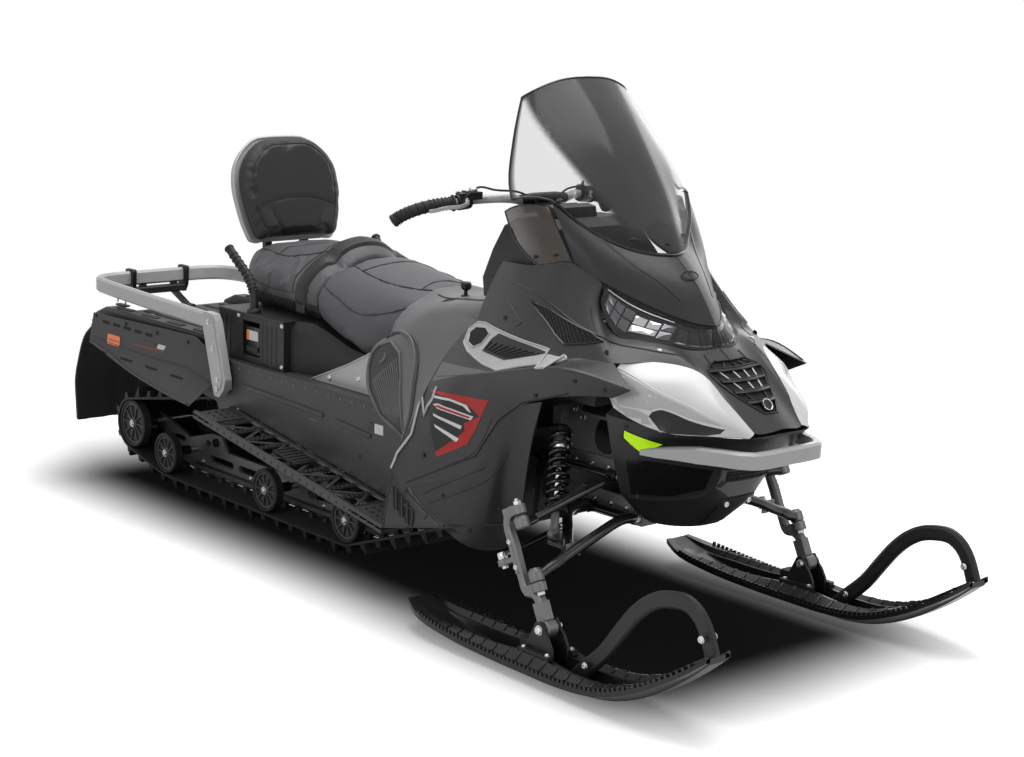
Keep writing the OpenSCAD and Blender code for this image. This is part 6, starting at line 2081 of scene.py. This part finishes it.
def ski_piece(side_name, s):
    body = "ski_" + side_name
    y0 = -STANCE

    def put(part, shape, mat=None):
        part.add(mirrored(shape) if s > 0 else shape, mat)

    p = Part("ski_blade_" + side_name, "ski", body)
    rows_top, rows_low = [], []
    for x, b, e, w in ski_stations:
        bt, et, r = b + 12, e + 12, rib_height(x)
        half_top = [(x, -w, et), (x, -w * 0.9, et + min(r, 6)), (x, -w * 0.62, et + r * 0.6),
                    (x, -38, bt + 1 + r * 0.97), (x, -34, bt + 3 + r), (x, -27, bt + 3 + r),
                    (x, -22, bt + 3)]
        half_low = [(x, -w, e), (x, -w * 0.9, e), (x, -w * 0.62, e - (e - b) * 0.4), (x, -38, b + 6),
                    (x, -33, b + 7), (x, -26, b), (x, -22, b)]
        for rows, half in ((rows_top, half_top), (rows_low, half_low)):
            rows.append(half + [(x, -y, z) for x, y, z in reversed(half)])
    top, low = (np.array([spline([r[j] for r in rows], 5) for j in range(14)]).transpose(1, 0, 2)
                for rows in (rows_top, rows_low))
    low[..., 2] = np.maximum(low[..., 2], 0.0)
    put(p, shell(top + arr((0, y0, 0)), low + arr((0, y0, 0))))
    # raised notched edge along both sides, and cross ribs on the deck
    xs = np.arange(640, 1580, 15)
    edge = np.array([spline([r[0] for r in rows_top], 5), spline([r[13] for r in rows_top], 5)])
    for E in edge:
        for a in xs:
            z = np.interp(a, E[:, 0], E[:, 2])
            y = np.interp(a, E[:, 0], E[:, 1])
            slope = (np.interp(a + 6, E[:, 0], E[:, 2]) - np.interp(a - 6, E[:, 0], E[:, 2])) / 12
            c = math.sqrt(1 + slope * slope)
            turn = np.array([(1 / c, 0, slope / c), (0, 1, 0), (-slope / c, 0, 1 / c)]).T
            put(p, block((a, y0 + y * 0.955, z + 4), (8.5, 6, 9), turn))
    T = tree_of_grid(top + arr((0, y0, 0)))
    for a in np.arange(700, 1500, 44):
        for g in (-1, 1):
            row = [onto(T, (a + 8 * abs(q) / 60, y0 + g * q, 600), (0, 0, -1), 0.4)
                   for q in (42, 50, 58, 66, 74)]
            put(p, sweep(row, box_profile(6, 5, 1), ref=(0, 0, 1)))
    for a in np.arange(760, 1480, 60):
        row = [onto(T, (a, y0 + q, 600), (0, 0, -1), 0.0) for q in (-20, 0, 20)]
        put(p, sweep(row, box_profile(7, 4, 1), ref=(0, 0, 1)))
    # wear bar under the keel
    put(p, block((1000, y0, 1.6), (420, 9, 3)), "zinc")
    # saddle and pin
    for g in (-1, 1):
        put(p, prism([(1007, 40), (1097, 40), (1097, 78), (1082, 104), (1070, 116), (1052, 140),
                      (1036, 133), (1022, 104), (1007, 78)], 1, y0 + g * 26 - 3.8, y0 + g * 26 + 3.8),
                      "black")
        put(p, bolt((1052, y0 + g * 30, 118), (0, g, 0), 10, 8), "zinc")
        put(p, block((1052, y0 + g * 40, 62), (112, 18, 12)), "black")
        for a in (1010, 1094):
            put(p, bolt((a, y0 + g * 40, 68), (0, 0, 1), 6, 5), "zinc")
    put(p, rod_shape((1052, y0 - 37, 118), (1052, y0 + 37, 118), 7), "zinc")
    # rubber damper between the saddle's plates
    put(p, block((1003, y0, 66), (60, 40, 34)), "rubber")
    p.done(bevel=0.7, angle=30, replaces=("ski_" + side_name,))
    q = Part("ski_handle_" + side_name, "black", body)
    path = spline([(1161, 0, 30.1), (1205, 0, 70), (1250, 0, 112), (1300, 0, 176), (1352, 0, 238),
                   (1385, 0, 266), (1420, 0, 286), (1465, 0, 298), (1510, 0, 300), (1542, 0, 284),
                   (1562, 0, 262), (1580, 0, 226), (1590, 0, 199.8)], 3)
    put(q, sweep(path + arr((0, y0, 0)), [(-19.8, -6), (-14, -9.8), (14, -9.8), (19.8, -6), (19.8, 4),
                                          (12, 9.8), (-12, 9.8), (-19.8, 4)], ref=(0, 1, 0)))
    for x, z in ((1205, 70), (1572, 238)):
        for g in (-1, 1):
            put(q, bolt((x, y0 + g * 20, z), (0, g, 0), 7.5, 5), "zinc")
    q.done(bevel=1.0, angle=24, replaces=("ski_loop_" + side_name,))


for side_name, s in (("right", -1), ("left", 1)):
    spindle_piece(side_name, s)
    ski_piece(side_name, s)


# ------------------------------ handlebar and controls
# rake of the steering post, and the bar's clamp
POST = math.radians(27)
P_AXIS = arr((-math.sin(POST), 0, math.cos(POST)))
P_X = arr((math.cos(POST), 0, math.sin(POST)))
P_TURN = np.array([P_X, (0, 1, 0), P_AXIS]).T
CENTRE = arr((446, 0, 1052))


def handlebar_piece():
    p = Part("handlebar_assembly", "silver", "handlebar")
    x_in, y_in, z_in = 372, 245, 1066

    def bar(s):
        return [(446, s * 46, 1062), (448, s * 96, 1076), (382, s * 185, 1072), (x_in, s * y_in, z_in)]
    path = [*reversed(bar(-1)), *bar(1)]
    p.add(tube(path, 11.8, 20, 7, ref=(0.2, 0, 1)))
    p.add(rod_shape(CENTRE + P_AXIS * -260, CENTRE + P_AXIS * 2, 15.8, 28), "arm")
    # riser block with its clamp, pad and bolts
    p.add(block(CENTRE + P_AXIS * 6, (38, 102, 30), P_TURN), "black")
    p.add(block(CENTRE + P_AXIS * 20, (32, 86, 7), P_TURN), "black")
    for dx in (-11, 11):
        for y in (-34, 34):
            p.add(bolt(CENTRE + P_X * dx + arr((0, y, 0)) + P_AXIS * 23.5, P_AXIS, 5, 4), "zinc")
    p.add(sweep([(450, -80, 1073), (452, -40, 1077), (452, 40, 1077), (450, 80, 1073)], ring(15, 12),
                ref=(0, 0, 1)), "vinyl_black")
    for s in (-1, 1):
        inner = arr((x_in, s * y_in, z_in))
        g = spline([(x_in - 0.4, s * 248, z_in - 0.2), (360, s * 275, 1063), (346, s * 305, 1058),
                    (322, s * 350, 1043), (304, s * 374, 1028), (298, s * 384, 1020)], 6)
        p.add(sweep(g, ring(17.4, 18, 0.94), ref=(0.2, 0, 1)), "rubber")
        for k in range(2, len(g) - 2, 2):
            p.add(lathe([(16, -1.4), (18.8, -0.7), (18.8, 0.7), (16, 1.4)], g[k], g[k + 1] - g[k], 18,
                        closed=True), "rubber")
        # end flanges and the hook at the tip
        p.add(lathe([(13, -3), (22, -3), (22.5, 0), (22, 3), (13, 3)], g[0], g[1] - g[0], 24, closed=True),
              "rubber")
        p.add(lathe([(0, 0), (17.4, 0), (18.6, 4), (15, 10), (0, 12)], g[-1] - (g[-1] - g[-2]) * 0.3,
                    g[-1] - g[-2], 20), "rubber")
        # control housing, switches, lever and its pivot
        a, b = arr(bar(s)[2]), inner
        d = unit(b - a)
        mid = a + d * 34
        R = np.array([unit(np.cross(d, (0, 0, 1))), d, unit(np.cross(unit(np.cross(d, (0, 0, 1))), d))]).T
        p.add(lathe([(12.3, -20), (20, -20), (21.6, -14), (21.6, 14), (20, 20), (12.3, 20)], mid, d, 24,
                    closed=True), "black")
        p.add(block(mid + arr((6, 0, 16)), (36, 34, 18), R), "black")
        for k, mat in ((-1, "red" if s < 0 else "paper"), (1, "zinc")):
            p.add(block(mid + d * 9 * k + arr((-10, 0, 24)), (9, 9, 8), R), mat)
        lever = [mid + arr((17, s * 2, 2)), mid + arr((40, s * 14, 2)), (424, s * 254, 1064),
                 (404, s * 300, 1058), (388, s * 330, 1050), (382, s * 336, 1049)]
        p.add(sweep(spline(lever, 5), [(-2.2, -5), (2.2, -5), (3, 0), (2.2, 5), (-2.2, 5), (-3, 0)],
                    ref=(0, 0, 1)), "silver" if s < 0 else "black")
        p.add(lathe([(0, -8), (7, -8), (7, 8), (0, 8)], mid + arr((22, s * 4, 4)), (0, 0, 1), 18), "zinc")
        # cable loop down to the dash
        start = mid + arr((4, -s * 10, 14))
        p.add(tube([tuple(start), tuple(start + arr((26, -s * 20, 26))),
                    tuple(start + arr((52, -s * 52, 20))), (452, s * 76, 1092), (466, s * 40, 1070),
                    (470, s * 24, 1050)], 3.0, 8, 5), "rubber")
    # small box with a bright knob on the right-hand side of the bar
    kb = arr((396, -200, 1096))
    p.add(block(kb - arr((0, 0, 9)), (40, 34, 20)), "black")
    p.add(lathe([(0, 0), (11, 0), (12, 2), (12, 9), (10, 11), (0, 11)], kb, (0, 0, 1), 20), "zinc")
    wire = [(400, -214, 1080), (420, -228, 1098), (424, -246, 1088), (414, -252, 1066), (396, -240, 1052),
            (384, -224, 1054)]
    p.add(tube(wire, 2.6, 8, 5), "rubber")
    p.done(bevel=0.6, angle=34, replaces=("handlebar", "grips", "hand_controls"))


handlebar_piece()


def dash_piece():
    q = Part("gauge_pod", "gloss")
    c = arr((560, 0, 1040))
    q.add(sweep([tuple(c + arr((0, -74, 0))), tuple(c + arr((0, 74, 0)))],
                [(-26, -18), (-30, 10), (-10, 30), (22, 24), (30, -6), (24, -20)], ref=(0, 0, 1)), "black")
    q.add(block(c + arr((-26, 0, 14)), (3, 116, 34), ((0.82, 0, -0.57), (0, 1, 0), (0.57, 0, 0.82))))
    for y in (-40, 0, 40):
        q.add(block(c + arr((-28.4, y, 14)), (1, 26, 18), ((0.82, 0, -0.57), (0, 1, 0), (0.57, 0, 0.82))),
              "grey")
    for s in (-1, 1):
        # round controls, plain plates and screws on the dash
        q.add(lathe([(0, 0), (15, 0), (17, 4), (17, 10), (12, 14), (0, 15)], (470, s * 120, 1004),
                    (-0.8, 0, 0.6), 20), "black")
        q.add(block((463, s * 150, 930), (6, 44, 30)))
        q.add(bolt((441, s * 160, 850), (-1, 0, 0), 6, 3), "zinc")
        q.add(bolt((446, s * 176, 880), (-1, 0, 0), 6, 3), "zinc")
    q.done(bevel=1.0)


dash_piece()


# ------------------------------ seats and backrest, blown up as cloth
def seat_rings(rows, inset=9):
    """Rings of a seat: each row is x, bottom and top, half widths low, middle and high, and crown"""
    rings = []
    for x, bottom, top, wb, wm, wt, crown in rows:
        bottom, top = bottom + inset * 0.6, top - inset
        wb, wm, wt = wb - inset, wm - inset, wt - inset * 0.6
        h = top - bottom
        half = [(wb * 0.5, bottom), (wb, bottom + 6), (wm, bottom + 0.4 * h),
                (0.6 * wm + 0.4 * wt, top - crown - 0.16 * h), (wt, top - crown),
                (wt * 0.5, top - crown * 0.25), (0.0, top)]
        smooth = curve(half, 4)
        right = [(x, a, b) for a, b in smooth]
        rings.append(right + [(q[0], -q[1], q[2]) for q in reversed(right[:-1])])
    return rings


# remesh size in metres, then how the cloth is blown up and how full the padding counts as
VOXEL = 0.007
CLOTH_FRAMES = 20
PRESSURE = 4.0
# distance of a ray's start from a seat's core line, and the heights of the two core lines
OUTSIDE = 600
DRIVER_CORE, RIDER_CORE = 690, 720


def cushion(name, mat, node, shape, cap, limits=None):
    """A stuffed piece: a smaller closed shape, evenly remeshed, swollen as cloth under pressure and held.

    cap is the most a point may travel, and limits are the corners of the room it may fill."""
    start = Part(name + "_start", mat)
    start.add(shape)
    o = shown(name, start.mesh(weld=True))
    r = o.modifiers.new("even", "REMESH")
    r.mode = "VOXEL"
    r.voxel_size = VOXEL
    me = baked(o)
    before = np.zeros(len(me.vertices) * 3)
    me.vertices.foreach_get("co", before)
    before = before.reshape(-1, 3)
    after = before.copy()
    c = o.modifiers.new("cloth", "CLOTH")
    s = c.settings
    s.use_pressure = True
    s.uniform_pressure_force = PRESSURE
    s.effector_weights.gravity = 0
    s.quality = 5
    s.tension_stiffness = s.compression_stiffness = 18
    s.bending_stiffness = 2
    c.collision_settings.use_collision = False
    c.point_cache.frame_start, c.point_cache.frame_end = 1, CLOTH_FRAMES
    for k in range(1, CLOTH_FRAMES + 1):
        bpy.context.scene.frame_set(k)
    ev = o.evaluated_get(bpy.context.evaluated_depsgraph_get()).to_mesh()
    after = np.zeros(len(ev.vertices) * 3)
    ev.vertices.foreach_get("co", after)
    after = after.reshape(-1, 3)
    o.modifiers.clear()
    bpy.context.scene.frame_set(1)
    d = after - before
    length = np.linalg.norm(d, axis=1, keepdims=True)
    after = before + d * np.minimum(1, cap * MM / np.maximum(length, 1e-9))
    if limits is not None:
        lo, hi = arr(limits[0]) * MM, arr(limits[1]) * MM
        after = np.clip(after, lo, hi)
    me.vertices.foreach_set("co", after.ravel())
    me.materials.clear()
    me.materials.append(M[mat])
    me.polygons.foreach_set("material_index", [0] * len(me.polygons))
    me.polygons.foreach_set("use_smooth", [True] * len(me.polygons))
    me.update()
    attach(o, "chassis")
    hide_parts(node)
    return o


def groove(o, lines, depth=3.2, width=8):
    """Stitched channels pressed into a cushion along lines"""
    me = o.data
    pts = np.vstack([spline(q, 3) if len(q) > 2 else arr(q) for q in lines])
    kd = KDTree(len(pts))
    for i, q in enumerate(pts):
        kd.insert(Vector(q), i)
    kd.balance()
    for v in me.vertices:
        _, _, d = kd.find(v.co * 1000)
        if d < width * 2:
            v.co -= v.normal * (depth * MM * math.exp(-(d / width * 1.5) ** 2))
    me.update()


def about(tree, x, cz, a, lift=0.0):
    """Point of a seat's skin at an angle from straight up, seen from its core line"""
    a = math.radians(a)
    o = (x, OUTSIDE * math.sin(a), cz + OUTSIDE * math.cos(a))
    return onto(tree, o, (0, -math.sin(a), -math.cos(a)), lift)


driver_rows = [(-299.5, 640, 832, 205, 222, 140, 30), (-250, 622, 832, 208, 226, 138, 28),
               (-150, 588, 820, 208, 226, 132, 24), (-60, 572, 809, 206, 222, 122, 20),
               (30, 590, 795, 186, 196, 104, 16), (85, 620, 784, 150, 160, 84, 14)]
rider_rows = [(-735, 650, 818, 168, 185, 150, 10), (-690, 640, 824, 185, 202, 154, 12),
              (-560, 640, 828, 200, 220, 156, 16), (-440, 640, 852, 208, 230, 140, 36),
              (-385, 640, 870, 210, 234, 127, 46), (-340, 640, 862, 208, 230, 127, 42),
              (-300.5, 640, 836, 205, 224, 130, 34)]


def pulled_in(rows, by=4):
    """The rows with both ends moved in"""
    rows = [list(r) for r in rows]
    rows[0][0] += by
    rows[-1][0] -= by
    return rows


def make_seats():
    driver = cushion("driver_cushion", "vinyl", "driver_seat",
                     loft_rings(seat_rings(pulled_in(driver_rows)), 4), 14,
                     limits=((-299.2, -230, 560), (86, 230, 842)))
    rider = cushion("rider_cushion", "vinyl", "passenger_seat",
                    loft_rings(seat_rings(pulled_in(rider_rows)), 4), 14,
                    limits=((-738, -238, 639.5), (-300.9, 238, 880)))
    td, tr = tree_of(driver), tree_of(rider)

    def seams(tree, z, points):
        """The same seam on both sides: points are (x, degrees from straight up)"""
        return [[about(tree, x, z, s * a) for x, a in points] for s in (-1, 1)]

    def arch(tree, z, x, bow, rate, reach, step):
        """A seam over the top, bowed along x"""
        return [about(tree, x + bow * math.cos(math.radians(a * rate)), z, a)
                for a in range(-reach, reach + 1, step)]

    d_lines = [*seams(td, DRIVER_CORE, ((-292, 38), (-230, 44), (-140, 50), (-50, 52), (30, 46), (74, 30))),
               *seams(td, DRIVER_CORE, ((-292, 72), (-200, 80), (-100, 88), (0, 84), (70, 70))),
               arch(td, DRIVER_CORE, -206, 26, 1.8, 46, 6),
               arch(td, DRIVER_CORE, 38, -18, 1.8, 44, 6)]
    r_lines = [*seams(tr, RIDER_CORE, ((-726, 56), (-640, 58), (-540, 60), (-450, 50), (-400, 42))),
               *seams(tr, RIDER_CORE, ((-726, 84), (-600, 92), (-450, 92), (-340, 88))),
               arch(tr, RIDER_CORE, -428, 16, 1, 90, 8),
               arch(tr, RIDER_CORE, -600, 10, 1, 58, 8)]
    groove(driver, d_lines)
    groove(rider, r_lines)
    # the passenger seat's foot is darker than its top
    rider.data.materials.append(M["vinyl_dark"])
    foot = [int(q.center.z < 0.690 and abs(q.center.y) > 0.12) for q in rider.data.polygons]
    rider.data.polygons.foreach_set("material_index", foot)
    for o in (driver, rider):
        s = o.modifiers.new("smooth", "SUBSURF")
        s.levels = s.render_levels = 1
    p = Part("seat_seams", "vinyl_dark")
    td, tr = tree_of(driver), tree_of(rider)
    for tree, lines, cz in ((td, d_lines, DRIVER_CORE), (tr, r_lines, RIDER_CORE)):
        for q in lines:
            pts = []
            for w in spline(q, 4):
                away = unit(w - arr((w[0], 0, cz)))
                pts.append(onto(tree, w + away * 30, -away, 1.3))
            p.add(sweep(pts, ring(1.5, 6), ref=(0.1, 0.2, 1)))
    # raised black band over the crest between the seats
    rings = []
    for a in np.linspace(-104, 104, 43):
        row = []
        for dx, h in ((-34, 0.5), (-28, 7), (-8, 9), (14, 8), (22, 0.5)):
            row.append(about(tr, -352 + dx - 16 * abs(a) / 104, RIDER_CORE, a, h))
        row.append(about(tr, -352 - 6 - 16 * abs(a) / 104, RIDER_CORE, a, -3))
        rings.append(row)
    p.add(skin(rings), "vinyl_black")
    for a0 in (-100, 100):
        q = about(tr, -372, RIDER_CORE, a0, 3)
        p.add(block(q, (44, 14, 40)), "black")
    p.done(angle=40)


make_seats()

# lean of the backrest
LEAN = math.radians(14)


def rest(s, y, out):
    """Point of the backrest: s up its slope, and out from its back plane"""
    return (-742 - s * math.sin(LEAN) + out * math.cos(LEAN), y,
            824 + s * math.cos(LEAN) + out * math.sin(LEAN))


rest_outline = [(0, 150), (40, 170), (110, 186), (180, 192), (240, 180), (290, 144), (325, 88)]


def rest_loop(inset):
    """Closed outline of the backrest as (height, half width) points, pulled in by inset"""
    side_pts = curve([(0, 120), *rest_outline, (329, 52), (330, 0)], 5)
    c = arr((168, 0))
    out = []
    for s, w in side_pts:
        d = arr((s, w)) - c
        k = max(0.0, 1 - inset / max(np.linalg.norm(d), 1e-6))
        out.append(tuple(c + d * k))
    left = [(s, -w) for s, w in reversed(out[:-1])]
    return out + left


def make_backrest():
    rings = []
    for out, inset in ((10.5, 30), (12, 10), (22, 5), (40, 6), (52, 13), (59, 34)):
        rings.append([rest(s, y, out) for s, y in rest_loop(inset)])
    pad = cushion("backrest_cushion", "vinyl_dark", "backrest", skin(rings), 7)
    front = arr((math.cos(LEAN), 0, math.sin(LEAN)))
    T = tree_of(pad)

    def face(s, y, lift=0.0):
        return onto(T, arr(rest(s, y, 200)), -front, lift)
    lines = [[face(96 + 34 * (1 - (y / 150) ** 2), y) for y in np.linspace(-158, 158, 17)],
             [face(s, 60 + 40 * (s - 10) / 90) for s in (14, 40, 70, 100)],
             [face(s, -60 - 40 * (s - 10) / 90) for s in (14, 40, 70, 100)]]
    loop = [(168 + (s - 168) * 0.80, w * 0.80) for s, w in rest_loop(0)]
    lines.append([face(s, y) for s, y in [*loop, loop[0]]][::3])
    groove(pad, lines, 3.0, 8)
    me = pad.data
    me.materials.append(M["vinyl_black"])
    idx = []
    for q in me.polygons:
        c = q.center * 1000
        s = (c.z - 824) * math.cos(LEAN) - (c.x + 742) * math.sin(LEAN)
        inner = ((s - 168) / (170 * 0.80)) ** 2 + (c.y / (192 * 0.80)) ** 2 < 1 and s > 96
        low = 14 < s < 96 + 34 * (1 - (c.y / 150) ** 2) and abs(c.y) < 60 + 40 * (s - 10) / 90
        idx.append(1 if inner or low else 0)
    me.polygons.foreach_set("material_index", idx)
    sm = pad.modifiers.new("smooth", "SUBSURF")
    sm.levels = sm.render_levels = 1
    T2 = tree_of(pad)
    p = Part("backrest_seams", "vinyl_black")
    for q in lines:
        pts = [onto(T2, arr(w) + front * 40, -front, 1.1) for w in spline(q, 3)]
        p.add(sweep(pts, ring(1.4, 6), ref=(0.3, 0, 1)))
    p.done(angle=40)
    # pale moulded shell behind, its rim standing proud round the cushion
    q = Part("backrest_back", "silver")
    rings = [[rest(s, y, out) for s, y in rest_loop(inset)]
             for out, inset in ((5.4, 2), (2, 0), (-12, 3), (-20, 14), (-24, 40))]
    q.add(skin(rings))
    rim = [rest(s, y, 6) for s, y in rest_loop(2)]
    q.add(sweep(rim, ring(4.2, 8), ref=front, closed=True))
    for y in (-70, 70):
        q.add(block((-772, y, 702), (19.6, 23.6, 284)), "black")
        for z in (600, 640, 800):
            q.add(bolt((-782, y, z), (-1, 0, 0), 7, 4), "zinc")
        q.add(block((-776, y, 856), (30, 40, 40)), "black")
    q.add(block((-772, 0, 532), (59.6, 199.6, 56)), "black")
    # ribs on the rear face
    for s0 in (70, 110, 150, 190, 230):
        w = 110 if s0 < 200 else 90
        q.add(sweep([rest(s0, -w, -25), rest(s0, w, -25)], box_profile(6, 5, 1.5), ref=front))
    q.done(bevel=1.2, angle=34, replaces=("backrest_shell",))


make_backrest()
